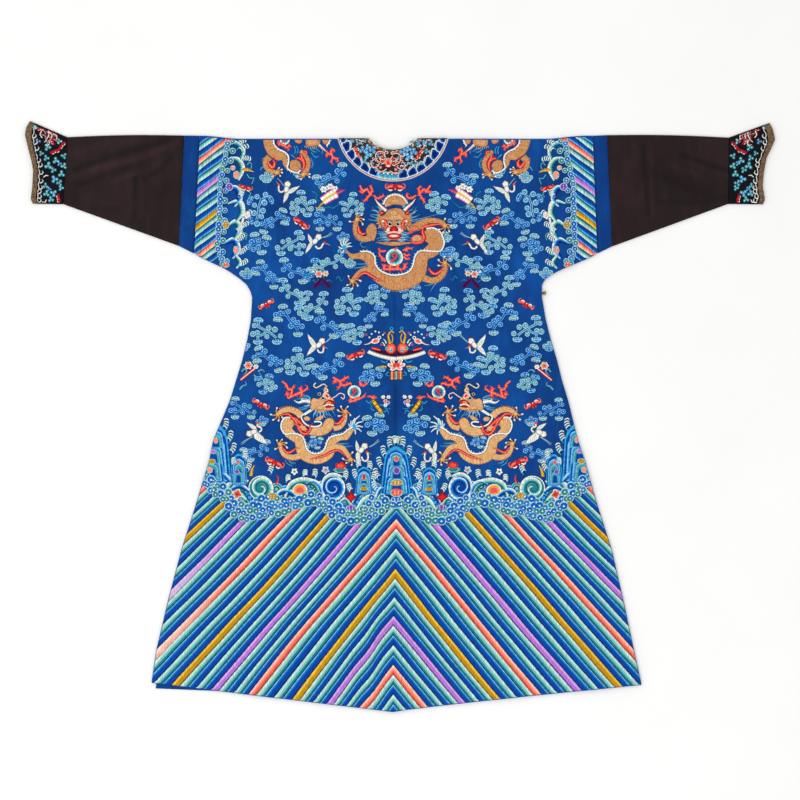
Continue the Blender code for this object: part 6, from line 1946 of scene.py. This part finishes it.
def bat(bag, u, v, turn, scale, belly, lift=0.0012,
        silks=("deepRed", "coral", "salmon", "coral", "red")):
    # A round body and two scalloped wings whose ends curl back, with pale pads at the belly
    for hand in (-1, 1):
        wing = placed([(0, 0), (hand * 3.4, -1.2), (hand * 6.4, -0.6), (hand * 8.4, 1.2),
                       (hand * 10, -0.8)], u, v, turn, scale)
        ribbon(bag, wing, 4.4 * scale, silks, lift, 0.0008, step=1.1, wide=(0.8, 1.1, 1.0, 0.5, 0.12))
        curl = placed([(hand * 7.6, 1), (hand * 9.6, -1), (hand * 9, -3.4), (hand * 7.4, -3.4)],
                      u, v, turn, scale)
        ribbon(bag, curl, 1.2 * scale, silks[1:3], lift, 0.0004, step=0.9, wide=(1, 0.5))
        pad = placed([(hand * 2.6, 2.2 * belly), (hand * 4.8, 2.9 * belly), (hand * 7, 1.9 * belly)],
                     u, v, turn, scale)
        ribbon(bag, pad, 1.9 * scale, ("pink", "white", "white"), lift + 0.0006, 0.0005, step=0.9,
               wide=(0.5, 1, 0.4))
        (a, b), = placed([(hand * 1.5, -2.3 * belly)], u, v, turn, scale)
        patch(bag, oval(a, b, scale, scale, 0, 8), (1,), ("coral",), lift, 0.0003)
    patch(bag, oval(u, v, 2.9 * scale, 2.5 * scale, turn, 14), (1, 0.7, 0.4),
          ("deepRed", "red", "red"), lift + 0.0008, 0.0008)
    dots(bag, placed([(0, 1.9 * belly)], u, v, turn, scale), 0.6, "white", lift + 0.0016, 6)


for u, v, turn, scale, belly in [
        (301, 223.7, 34, 0.92, 1), (266.8, 305, -29, 0.86, -1), (356, 355.6, -21, 0.95, 1),
        (260.4, 404.6, 27, 0.92, -1), (274.4, 463.3, 22, 1.02, 1), (245.6, 188.2, 12, 0.72, 1)]:
    bat("leftFigures", u, v, turn, scale, belly)


def posy(bag, u, v, r, dye, heart, leaves=True, lift=0.0014):
    # A full-blown flower: two rings of petals round an eye, with leaves behind
    if leaves:
        for a, b in ((-1.5, 1.1), (1.4, 1.2), (0.2, -1.6)):
            patch(bag, oval(u + a * r, v + b * r * 0.8, r * 0.62, r * 0.34, 40 * a, 10), (1, 0.5),
                  ("deepTeal", "teal"), lift - 0.0004, 0.0003)
    patch(bag, oval(u, v, r * 1.15, r * 1.05, 0, 30, 6, 0.18), (1, 0.8, 0.5),
          ("white", dye, heart), lift, 0.0007)
    patch(bag, oval(u, v, r * 0.5, r * 0.46, 30, 20, 5, 0.2), (1, 0.5), (dye, "deepRed"),
          lift + 0.0007, 0.0004)


def streamer(bag, points, dye, lift=0.0010, width=1.3):
    ribbon(bag, points, width, (dye, "bright", dye), lift, 0.0004, step=1.1, wide=(0.9, 1, 0.7, 0.3))


figures = "leftFigures"
# A hanging basket of flowers with its cone of petals
for points in ([(312, 191), (317, 194.5), (316, 199), (320, 201.5)],
               [(327, 206.5), (333, 208), (337.6, 205), (342.4, 201.2)],
               [(320, 204.6), (325, 208), (329, 206)]):
    streamer(figures, points, "teal")
posy(figures, 323.8, 189.4, 2.9, "white", "paleCyan")
posy(figures, 330.2, 186.6, 2.7, "white", "cyan")
posy(figures, 335.2, 188.6, 2.3, "white", "paleCyan", False)
ribbon(figures, [(322.6, 201.4), (329.6, 196.6), (336.4, 192.8)], 11.6,
       ("purple", "pink", "white", "paleGold", "yellow", "paleGold", "white", "pink", "purple"), 0.0014,
       0.0012, edges=(-1, -0.86, -0.72, -0.2, -0.12, 0.12, 0.2, 0.72, 0.86, 1), wide=(0.82, 0.9, 1))
ribbon(figures, [(335, 194), (340, 191.6), (345.2, 190)], 5.6, ("purple", "red", "coral", "purple"),
       0.0016, 0.0008, wide=(1, 0.75, 0.1))
ribbon(figures, [(324, 202.4), (320.6, 205), (318.2, 208.4), (315.6, 207.4)], 1.8,
       ("ochre", "yellow", "ochre"), 0.0016, 0.0006, wide=(1, 0.9, 0.5))
# Flowers over a pair of castanets tied with a ribbon
for points in ([(303.5, 276), (306.6, 272.6), (309, 276), (312.6, 273.6)],
               [(336, 279), (339, 276.4), (341, 281), (344.4, 277.6)],
               [(312.6, 279.6), (316, 282), (318.6, 278)], [(325.4, 281.6), (329.6, 280), (332.6, 282.6)]):
    streamer(figures, points, "teal")
for x in (-1, 1):
    ribbon(figures, [(322 + x * 0.6, 279.6), (322 + x * 4, 283.2), (322 + x * 7.8, 287.6)], 4.6,
           ("deepPurple", "plum", "plum", "deepPurple"), 0.0014, 0.0010, wide=(0.7, 1, 1))
posy(figures, 318.8, 274, 3.2, "pink", "coral")
posy(figures, 325.6, 273.8, 2.4, "paleGold", "white", False)
patch(figures, oval(313.4, 271.6, 2.0, 1.5, 30, 12, 3, 0.2), (1, 0.5), ("paleCyan", "white"), 0.0012,
      0.0004)
# A flute with its flowers and ribbons
for points in ([(241.6, 371.6), (244.6, 368.6), (246.8, 371.4), (243, 375.4)],
               [(254, 374.6), (257.6, 379.6), (261.6, 377), (259, 372.6)],
               [(258, 371.6), (261.6, 369.6), (264.8, 371.8)],
               [(239.6, 389.6), (242.6, 386), (246.4, 384.6), (245.4, 381.4)]):
    streamer(figures, points, "paleTeal", width=1.5)
ribbon(figures, [(254.8, 368.6), (248, 374), (240.8, 379.8)], 3.0,
       ("deepRed", "coral", "white", "coral", "deepRed"), 0.0014, 0.0008)
posy(figures, 248.4, 365.4, 3.5, "salmon", "coral")
posy(figures, 256, 366.6, 2.1, "white", "pink", False)
# A fish drum: a slanted tube netted in yellow, with clappers
for points in ([(366, 400.6), (369, 403), (371.4, 401), (370.6, 405.6)],
               [(380, 404.6), (384, 405.8), (386.6, 409), (391, 408.4)],
               [(384, 412), (387.6, 410.6), (388.6, 414.6)], [(374.6, 410.6), (371, 408.4), (372.6, 405)]):
    streamer(figures, points, "cyan")
ribbon(figures, [(372.8, 400.4), (377.4, 406.6), (382, 413)], 4.8,
       ("deepOchre", "yellow", "yellow", "yellow", "deepOchre"), 0.0014, 0.0012)
for share in (0.08, 0.36, 0.64, 0.92):
    middle = np.array([372.8, 400.4]) + np.array([9.2, 12.6]) * share
    ribbon(figures, [middle - (2, -1.5), middle + (2, -1.5)], 0.8, ("deepOchre", "brown"), 0.0026, 0.0002)
flame(figures, [(373, 399), (370, 396), (367.6, 397.4)], 1.4,
      ([(372.6, 398.6), (373.4, 395.4)], [(372.6, 398.6), (376.4, 396.8)]))
for u, v, dye in ((383.2, 397, "white"), (388.6, 397, "white"), (385.4, 401, "coral"),
                  (388, 402.6, "purple"), (385.6, 405, "white")):
    posy(figures, u, v, 1.7, dye, "paleCyan" if dye == "white" else "white", False)
# Left half of the altar dish: gourd, birds, lace rim, lotus and stand, mirrored to the right
bowl = np.stack([np.linspace(368.5, 396.2, 16), 350.4 + 7.6 * np.sin(np.linspace(0.1, 1.5, 16))], axis=1)
between(figures, [(370, 350), (383, 350.6), (396.2, 351)], bowl, ("plum", "plum"), (-1, 0, 1), 0.0006, 0)
ribbon(figures, bowl, 2.7, ("grey", "white", "white"), 0.0016, 0.0006)
for u, v in bowl:
    patch(figures, oval(u, v + 1.4, 1.05, 1.25, 0, 8), (1, 0.5), ("white", "grey"), 0.0014, 0.0003)
patch(figures, oval(390.8, 348.6, 5.5, 5.4, 0, 24), (1, 0.82, 0.5, 0.22),
      ("deepCoral", "coral", "salmon", "paleGold"), 0.0018, 0.0016)
ribbon(figures, [(390.2, 344), (389, 339.6), (388.4, 335), (391.4, 331.2), (394, 333)], 2.0,
       ("ochre", "yellow", "ochre"), 0.0016, 0.0008, wide=(1.5, 1.1, 0.9, 0.8, 0.7))
ribbon(figures, [(392, 343), (392.8, 338.4), (391.6, 334)], 1.0, ("yellow", "ochre"), 0.0016, 0.0004)
disc(figures, 391.6, 328.6, 2.2, ("bright", "cyan", "navy"), (1, 0.7, 0.4), 0.0010, 12)
disc(figures, 386.6, 348.6, 1.5, ("paleTeal", "teal"), (1, 0.5), 0.0036, 10)
disc(figures, 391.2, 350.6, 1.6, ("paleCyan", "teal"), (1, 0.5), 0.0036, 10)
for a, b, c in ((383.4, 346, 341), (385, 343.4, 338)):
    ribbon(figures, [(a + 1.4, b), (a, b - 3), (a - 2, c + 1)], 1.3, ("white", "mint"), 0.0012, 0.0003,
           wide=(1, 0.9, 0.2))
ribbon(figures, [(371.6, 347.6), (376, 348.6), (380.4, 350)], 3.4, ("deepRed", "red", "salmon", "red"),
       0.0014, 0.0010, wide=(0.5, 1, 0.6))
patch(figures, oval(375.4, 341, 4.2, 2.7, -14, 18), (1, 0.75, 0.4), ("white", "pink", "coral"), 0.0014,
      0.0009)
ribbon(figures, [(372, 341.6), (367.6, 344), (364, 344.4)], 1.6, ("white", "pink"), 0.0012, 0.0004,
       wide=(1, 0.3))
patch(figures, oval(379.4, 337.6, 1.9, 1.8, 0, 12), (1, 0.5), ("white", "black"), 0.0018, 0.0004)
dots(figures, [(371.6, 334), (375.4, 331.4), (379, 332.4), (369.4, 337.4), (383, 334.8)], 0.9, "white",
     0.0010, 7)
for u, v in ((384.6, 333), (366.4, 334.6), (381.4, 344.6)):
    disc(figures, u, v, 1.1, ("coral", "purple"), (1, 0.6), 0.0010, 8)
for points in ([(381, 360.6), (385, 362.6), (388, 360), (386, 358)],
               [(386, 368), (382, 370), (379.6, 366.6)], [(388.6, 371.6), (386, 374.6), (389.6, 376)]):
    streamer(figures, points, "cyan")
ribbon(figures, [(386.6, 366.8), (382.4, 366.4), (378.8, 367.4)], 2.0, ("ochre", "yellow", "ochre"),
       0.0014, 0.0005, wide=(0.7, 1, 0.5))
for a, b, turn in ((390.8, 365.6, 25), (392.6, 362, 60), (393.6, 368.6, -20)):
    patch(figures, oval(a, b, 3.6, 1.9, turn, 14), (1, 0.6), ("white", "pink"), 0.0014, 0.0006)
patch(figures, oval(394.6, 365.4, 2.0, 2.6, 0, 14), (1, 0.5), ("coral", "red"), 0.0020, 0.0006)
for u, dye in ((390.4, "brown"), (391.9, "paleGold"), (393.4, "red"), (394.9, "teal"), (396.1, "yellow")):
    ribbon(figures, [(u, 371.4), (u, 379.6)], 1.5 if u < 396 else 0.9, (dye, dye), 0.0014, 0.0006)
mirrorBag(figures, "rightFigures", 0.5)
bat("midFigure", 395.2, 187.6, 0, 1.02, 1)
embroider("leftHalf", figures, "leftFigures", base=above["figure"])
embroider("rightHalf", "rightFigures", "rightFigures", base=above["figure"])
embroider("leftHalf", "midFigure", "middleBat", base=above["figure"])
print("cranes, bats and emblems sewn")


def spot(bag, u, v, r, dye, line, lift, turn):
    # A small cloud head: three round lobes about an eye
    for k in range(3):
        angle = math.radians(turn + 120 * k)
        disc(bag, u + r * 0.8 * math.cos(angle), v + r * 0.8 * math.sin(angle), r * 0.62,
             (line, dye, "white"), (1, 0.74, 0.3), lift, 8)
    disc(bag, u, v, r * 0.5, (dye, "paleCyan"), (1, 0.5), lift + 0.0004, 7)


# The neck facing: a border of leaves, curls all over, a small facing dragon, cloud heads and bats
facing = "facing"
ringU, ringV = chartOf(cut["neckX"], cut["shoulderY"] + cut["neckSetback"])
ring = {"outer": (cut["facingRadius"] - cut["cord"]) / gridStep - 0.6, "leaf": 9.6, "leaves": 17,
        "axis": 388.2}


def onRing(radius, degrees):
    turn = np.radians(degrees)
    return np.stack(np.broadcast_arrays(ringU + radius * np.cos(turn), ringV + radius * np.sin(turn)),
                    axis=-1)


spread = 180 / ring["leaves"]
for index in range(ring["leaves"]):
    start = spread * index
    if abs(start + spread / 2 - 96) < 12:
        continue  # the plain span below the throat
    hand = -1 if start < 90 else 1
    near, far = (start, start + spread) if hand > 0 else (start + spread, start)
    high, low = ring["outer"], ring["outer"] - ring["leaf"]
    leaf = onRing(np.array([high, high, low + 5, low, low + 1.5, low + 5]),
                  np.array([near, far, far + hand * 1.5, (near + 3 * far) / 4 + hand * 3, (near + far) / 2,
                            near]))
    patch(facing, outlined(leaf, 22), (1, 0.80, 0.5), ("white", "royal", "navy"), 0.0006, 0.0006)
    ribbon(facing, onRing(np.array([low + 6.5, low + 2.5, low - 0.5]),
                          np.array([near, near + hand * 2.5, near + hand * 7])),
           1.5, ("foamLine", "white", "grey"), 0.0012, 0.0004, wide=(0.5, 1, 0.5))
spanAngles = np.linspace(84, 108, 11)
between(facing, onRing(ring["outer"] - 7.5, spanAngles), onRing(ring["outer"], spanAngles),
        ("white", "teal", "cyan", "paleTeal", "white"), (-1, -0.8, -0.2, 0.4, 0.8, 1), 0.0006, 0.0006)
dots(facing, onRing(ring["outer"] - 5.6, spanAngles[1:-1:2]), 0.9, "white", 0.0014, 7)

heads = ((362.6, 150, 2.9, "bright", 30), (367.8, 155, 3.3, "cyan", 0), (373, 150, 3.0, "bright", 60),
         (368, 147.4, 2.3, "cyan", 10), (358, 143.4, 1.9, "teal", 0), (371.4, 163, 1.9, "bright", 20),
         (364.8, 161.4, 1.9, "teal", 50), (376.4, 170, 1.7, "bright", 0), (352, 141.6, 1.7, "cyan", 0),
         (377.6, 156, 1.7, "teal", 40), (364.6, 140.4, 1.8, "teal", 70))
besides = ((424.4, 142.4, 1.9, "cyan", 0), (431, 143.6, 2.2, "bright", 40),
           (427, 151.4, 2.0, "teal", 10), (418.4, 141.4, 1.8, "bright", 60),
           (415.6, 166, 1.9, "teal", 0), (420.6, 163.6, 1.7, "cyan", 30))
curlSilks = (("grey", "white", "white"), ("brown", "pink", "white"), ("grey", "foamLine", "white"),
             ("tan", "paleGold", "white"))
# The small curls keep clear of these: middle and reach
busy = [(u, v, 1.35 * r) for u, v, r, *_ in heads + besides] + [(356.8, 153, 3), (419.4, 157, 3)]
busy += [(2 * ring["axis"] - u, v, reach) for u, v, reach in busy[:len(heads)]] + [(ring["axis"], 161, 7.5)]
for radius, count in ((28.5, 17), (32, 21), (35.5, 25), (39, 29), (42.5, 33)):
    for k in range(count):
        (u, v), = onRing(radius + rng.uniform(-1, 1), [180 / count * (k + rng.uniform(0.2, 0.8))])
        if min(math.hypot(u - a, v - b) - reach for a, b, reach in busy) < 0.4:
            continue
        curl = placed([(-2.2, 0.9), (-1.2, -1.3), (1.1, -1.2), (1.5, 0.7), (0, 0.9)], u, v,
                      rng.uniform(0, 360), rng.uniform(0.65, 0.95), 1 if k % 2 else -1)
        ribbon(facing, curl, 1.25, curlSilks[(k + int(radius)) % 4], 0.0010, 0.0005, step=1.0,
               wide=(0.5, 1, 0.8, 0.4))
for u, v, r, dye, turn in besides:
    spot(facing, u, v, r, dye, "paleCyan", 0.0010, turn)


def onFacing(points, hand):  # the right side of the facing mirrors the left and sits two squares lower
    p = np.asarray(points, float)
    return np.stack([ring["axis"] + hand * (ring["axis"] - p[:, 0]), p[:, 1] + (hand > 0) * 2], axis=1)


for hand in (-1, 1):
    for u, v, r, dye, turn in heads:
        spot(facing, *onFacing([(u, v)], hand)[0], r, dye, "paleCyan", 0.0010, turn)
    bat(facing, *onFacing([(356.8, 152.6)], hand)[0], -62 * hand, 0.62, 1, 0.0014)
    # the small dragon: coils, claws and mane either side of its face
    for points in ([(385, 152.6), (379, 151.6), (375.6, 155), (377, 160.6), (381.6, 163)],
                   [(379, 165.6), (374, 168), (371, 163.6), (374, 159.4)],
                   [(386.6, 169), (381.4, 172), (376.6, 170.6)], [(383, 156), (379.6, 158), (381, 161)]):
        ribbon(facing, onFacing(points, hand), 2.3, ("black", "pink", "white", "coral", "black"),
               0.0014, 0.0008, step=1.1, wide=(0.8, 1, 0.9, 0.6))
    for turn in (150, 172, 194, 216, 238):
        c, s = math.cos(math.radians(turn)), math.sin(math.radians(turn))
        lock = [(388 + 4.4 * c, 161 + 4.2 * s), (388 + 8.6 * c, 160.4 + 8.0 * s)]
        ribbon(facing, onFacing(lock, hand), 1.2, ("white", "pink") if turn % 4 else ("coral", "red"),
               0.0022, 0.0004, step=1.1, wide=(1, 0.9, 0.3))
    disc(facing, *onFacing([(385.6, 159.4)], hand)[0], 1.35, ("white", "black"), (1, 0.55), 0.0032, 8)
    disc(facing, *onFacing([(380.6, 167.6)], hand)[0], 1.6, ("pink", "red", "white"), (1, 0.7, 0.3),
         0.0022, 8)
patch(facing, oval(ring["axis"], 162, 4.9, 4.6, 0, 20, 8, 0.06), (1, 0.8, 0.5),
      ("brown", "pink", "coral"), 0.0020, 0.0008)
patch(facing, oval(ring["axis"], 166.2, 3.3, 1.5, 0, 14), (1, 0.6), ("red", "white"), 0.0028, 0.0004)
patch(facing, oval(ring["axis"], 163.4, 1.5, 1.1, 0, 12), (1,), ("red",), 0.0030, 0.0004)


def facingClip(x, y):  # the open work keeps inside the facing
    away = np.hypot(x - cut["neckX"], y - (cut["shoulderY"] + cut["neckSetback"]))
    inside = (away < cut["facingRadius"] - cut["cord"] - edgeMargin["side"]) \
        & (y < shoulderY(x) - edgeMargin["facingTop"])
    return inside, np.stack([x, y], axis=1)


# Each cuff: cloud heads in sea colours, hooks of foam by the binding, bats and dragon strands
cuffWork = {
    "mirror": 797.0, "margin": 0.004,
    "heads": ((46.4, 158, 2.4, "teal", 10), (48.4, 165.8, 3.0, "seaTeal", 40),
              (53.4, 170, 2.4, "teal", 0), (64, 156, 2.4, "teal", 70), (56, 160.6, 2.7, "seaTeal", 20),
              (59.4, 163.6, 1.9, "bright", 0), (64, 166, 2.5, "seaTeal", 50),
              (61.6, 174, 2.7, "seaTeal", 30), (54.6, 179.2, 2.9, "sea", 0),
              (59.6, 183, 2.6, "teal", 60), (61, 188, 2.2, "seaTeal", 0), (45.6, 186, 2.4, "teal", 30),
              (49.2, 189, 1.8, "bright", 10), (46.6, 193.6, 2.6, "seaTeal", 40),
              (53.6, 193.2, 2.8, "sea", 80), (51, 199.4, 2.4, "seaTeal", 20),
              (59.4, 141.4, 2.2, "paleTeal", 0), (47.6, 147.4, 2.8, "teal", 0),
              (34.6, 126.4, 2.6, "paleTeal", 50), (41.4, 153.4, 2.0, "teal", 0),
              (38, 141.4, 2.2, "royal", 0)),
    "hooks": (136, 142.5, 148.4, 160.4, 165, 172.4, 181, 187.4, 191.6, 196.4, 200.4),
    "curls": ([(44.4, 142.4), (46.6, 140.4), (49.6, 142), (48.4, 145.4), (45.6, 144.6)],
              [(43.4, 177.4), (46, 175.4), (48.6, 175.8)], [(42, 201.6), (44.6, 202.4), (46.4, 199.6)]),
    "strands": ([(38, 127), (43, 129.6), (49, 132), (57, 136)],
                [(40, 133), (45, 135), (51, 137), (60, 142)],
                [(41, 128), (46, 132), (46.4, 138), (49, 144)], [(52, 131.6), (54, 136), (51.4, 140.4)]),
    "whiskers": ([(45, 128), (48.4, 131), (49, 135.6), (46.6, 139.6)],
                 [(42, 130.6), (40.4, 134.6), (42.6, 138)], [(53, 133.6), (57, 136), (56.6, 140)],
                 [(49, 131.4), (52, 134.6), (51.4, 139)]),
    "bats": ((55.4, 151.6, -20, 0.55), (62.4, 145.6, -50, 0.5), (58.6, 199, 80, 0.5),
             (40.6, 129, -15, 0.4), (52.2, 141.4, 60, 0.45)),
    "batSilks": ("deepRed", "crimson", "crimson", "crimson", "deepRed")}


def dressCuff(word, hand):
    bag = word + "CuffWork"
    bound = cuffBound(hand)

    def at(points):
        return [(u if hand < 0 else cuffWork["mirror"] - u, v) for u, v in points]

    for points in cuffWork["strands"]:
        ribbon(bag, at(points), 2.4, ("deepRed", "plum", "grey"), 0.0006, 0.0006, step=1.2)
    for points in cuffWork["curls"]:
        ribbon(bag, at(points), 1.3, ("grey", "white", "white"), 0.0006, 0.0005, step=1.0,
               wide=(0.5, 1, 0.5))
    inner = np.stack(chartOf(*cuffLines(hand, [bound])[0].T), axis=1) - (hand * 1.6, 0)
    foam = curve(inner[::3], 60)
    foam[:, 0] += 0.5 * np.sin(np.arange(60) * 1.05)
    ribbon(bag, foam, 0.9, ("grey", "white"), 0.0006, 0.0004, step=1.0)
    for v in cuffWork["hooks"]:
        u = np.interp(v, foam[:, 1], foam[:, 0])
        hook = [(u, v + 2), (u - hand * 2.2, v + 1.8), (u - hand * 3.6, v), (u - hand * 2.6, v - 1.8)]
        ribbon(bag, hook, 1.2, ("white", "grey"), 0.0010, 0.0004, step=0.9, wide=(1, 1, 0.4))
    for points in cuffWork["whiskers"]:
        ribbon(bag, at(points), 1.0, ("pink", "white"), 0.0014, 0.0004, step=1.0)
    for u, v, r, dye, turn in cuffWork["heads"]:
        spot(bag, *at([(u, v)])[0], r, dye, "seaTeal", 0.0004, turn)
    for u, v, turn, scale in cuffWork["bats"]:
        bat(bag, *at([(u, v)])[0], -hand * turn, scale, 1, 0.0008, cuffWork["batSilks"])

    def clip(x, y):  # keeps the threads between the sleeve and the binding
        root, tip = sleeveEnd[hand], cuffEnd(hand)
        outer = np.interp(y, tip[::-1, 1], np.abs(tip[::-1, 0]))
        share = (np.abs(x) - abs(root[0])) / (outer - abs(root[0]))
        across = np.clip(share, 0, 1)
        top = root[1] + (tip[0, 1] - root[1]) * across - cuffWork["margin"]
        low = root[3] + (tip[-1, 1] - root[3]) * across + cuffWork["margin"]
        inside = (share > 0.02) & (share < bound - 0.02) & (y < top) & (y > low)
        return inside, np.stack([x, y], axis=1)

    embroider(word + "Cuff", bag, bag, clip=clip, base=above["figure"],
              height=lambda x, y: tubeTop(hand, x, y))


embroider("neckFacing", facing, "facingWork", clip=facingClip, base=above["figure"], height=facingTop)
for word, hand in (("left", -1), ("right", 1)):
    dressCuff(word, hand)
print("collar and cuffs sewn")


for name, material in (("side_button", brass), ("side_loop", loopSilk)):
    for place in bpy.data.objects[name].material_slots:
        place.material = material

# A pale table top and soft light from a large panel, with weaker fill from the other side
stage = {"size": 9.0, "top": -0.0008, "sky": 0.88, "away": 4.2}
# energy, size, turn in degrees
panels = {"keyPanel": (33.0, 3.0, (38, 0, -30)), "fillPanel": (13.0, 3.5, (-42, 0, 35))}
bpy.ops.mesh.primitive_plane_add(size=stage["size"], location=(0, 0, stage["top"]))
table = bpy.context.active_object
table.name = "table"
paper, tree, shader, where = newMaterial("tablePaper", 0.9, specular=0.1)
tree.links.new(mixColour(tree, noiseAt(tree, where, 3.0), "f6f6f5", "fdfdfc"),
               shader.inputs["Base Color"])
table.data.materials.append(paper)
for name, (energy, size, turn) in panels.items():
    lamp = bpy.data.lights.new(name, "AREA")
    lamp.energy = energy
    lamp.size = size
    lamp.shape = "DISK"
    panel = bpy.data.objects.new(name, lamp)
    bpy.context.scene.collection.objects.link(panel)
    panel.rotation_euler = [math.radians(angle) for angle in turn]
    panel.location = panel.rotation_euler.to_matrix() @ Vector((0, 0, stage["away"]))
world = bpy.data.worlds.new("studio")
bpy.context.scene.world = world
world.use_nodes = True
sky = world.node_tree.nodes["Background"].inputs
sky[0].default_value = (1.0, 1.0, 1.0, 1.0)
sky[1].default_value = stage["sky"]
bpy.context.scene.view_settings.view_transform = "Standard"

view = {"place": (0.001, 0.0403, 4.614), "lens": 85.0, "sensor": 36.0}
lens = bpy.data.cameras.new("camera")
lens.lens = view["lens"]
lens.sensor_width = view["sensor"]
camera = bpy.data.objects.new("camera", lens)
camera.location = view["place"]
bpy.context.scene.collection.objects.link(camera)
bpy.context.scene.camera = camera
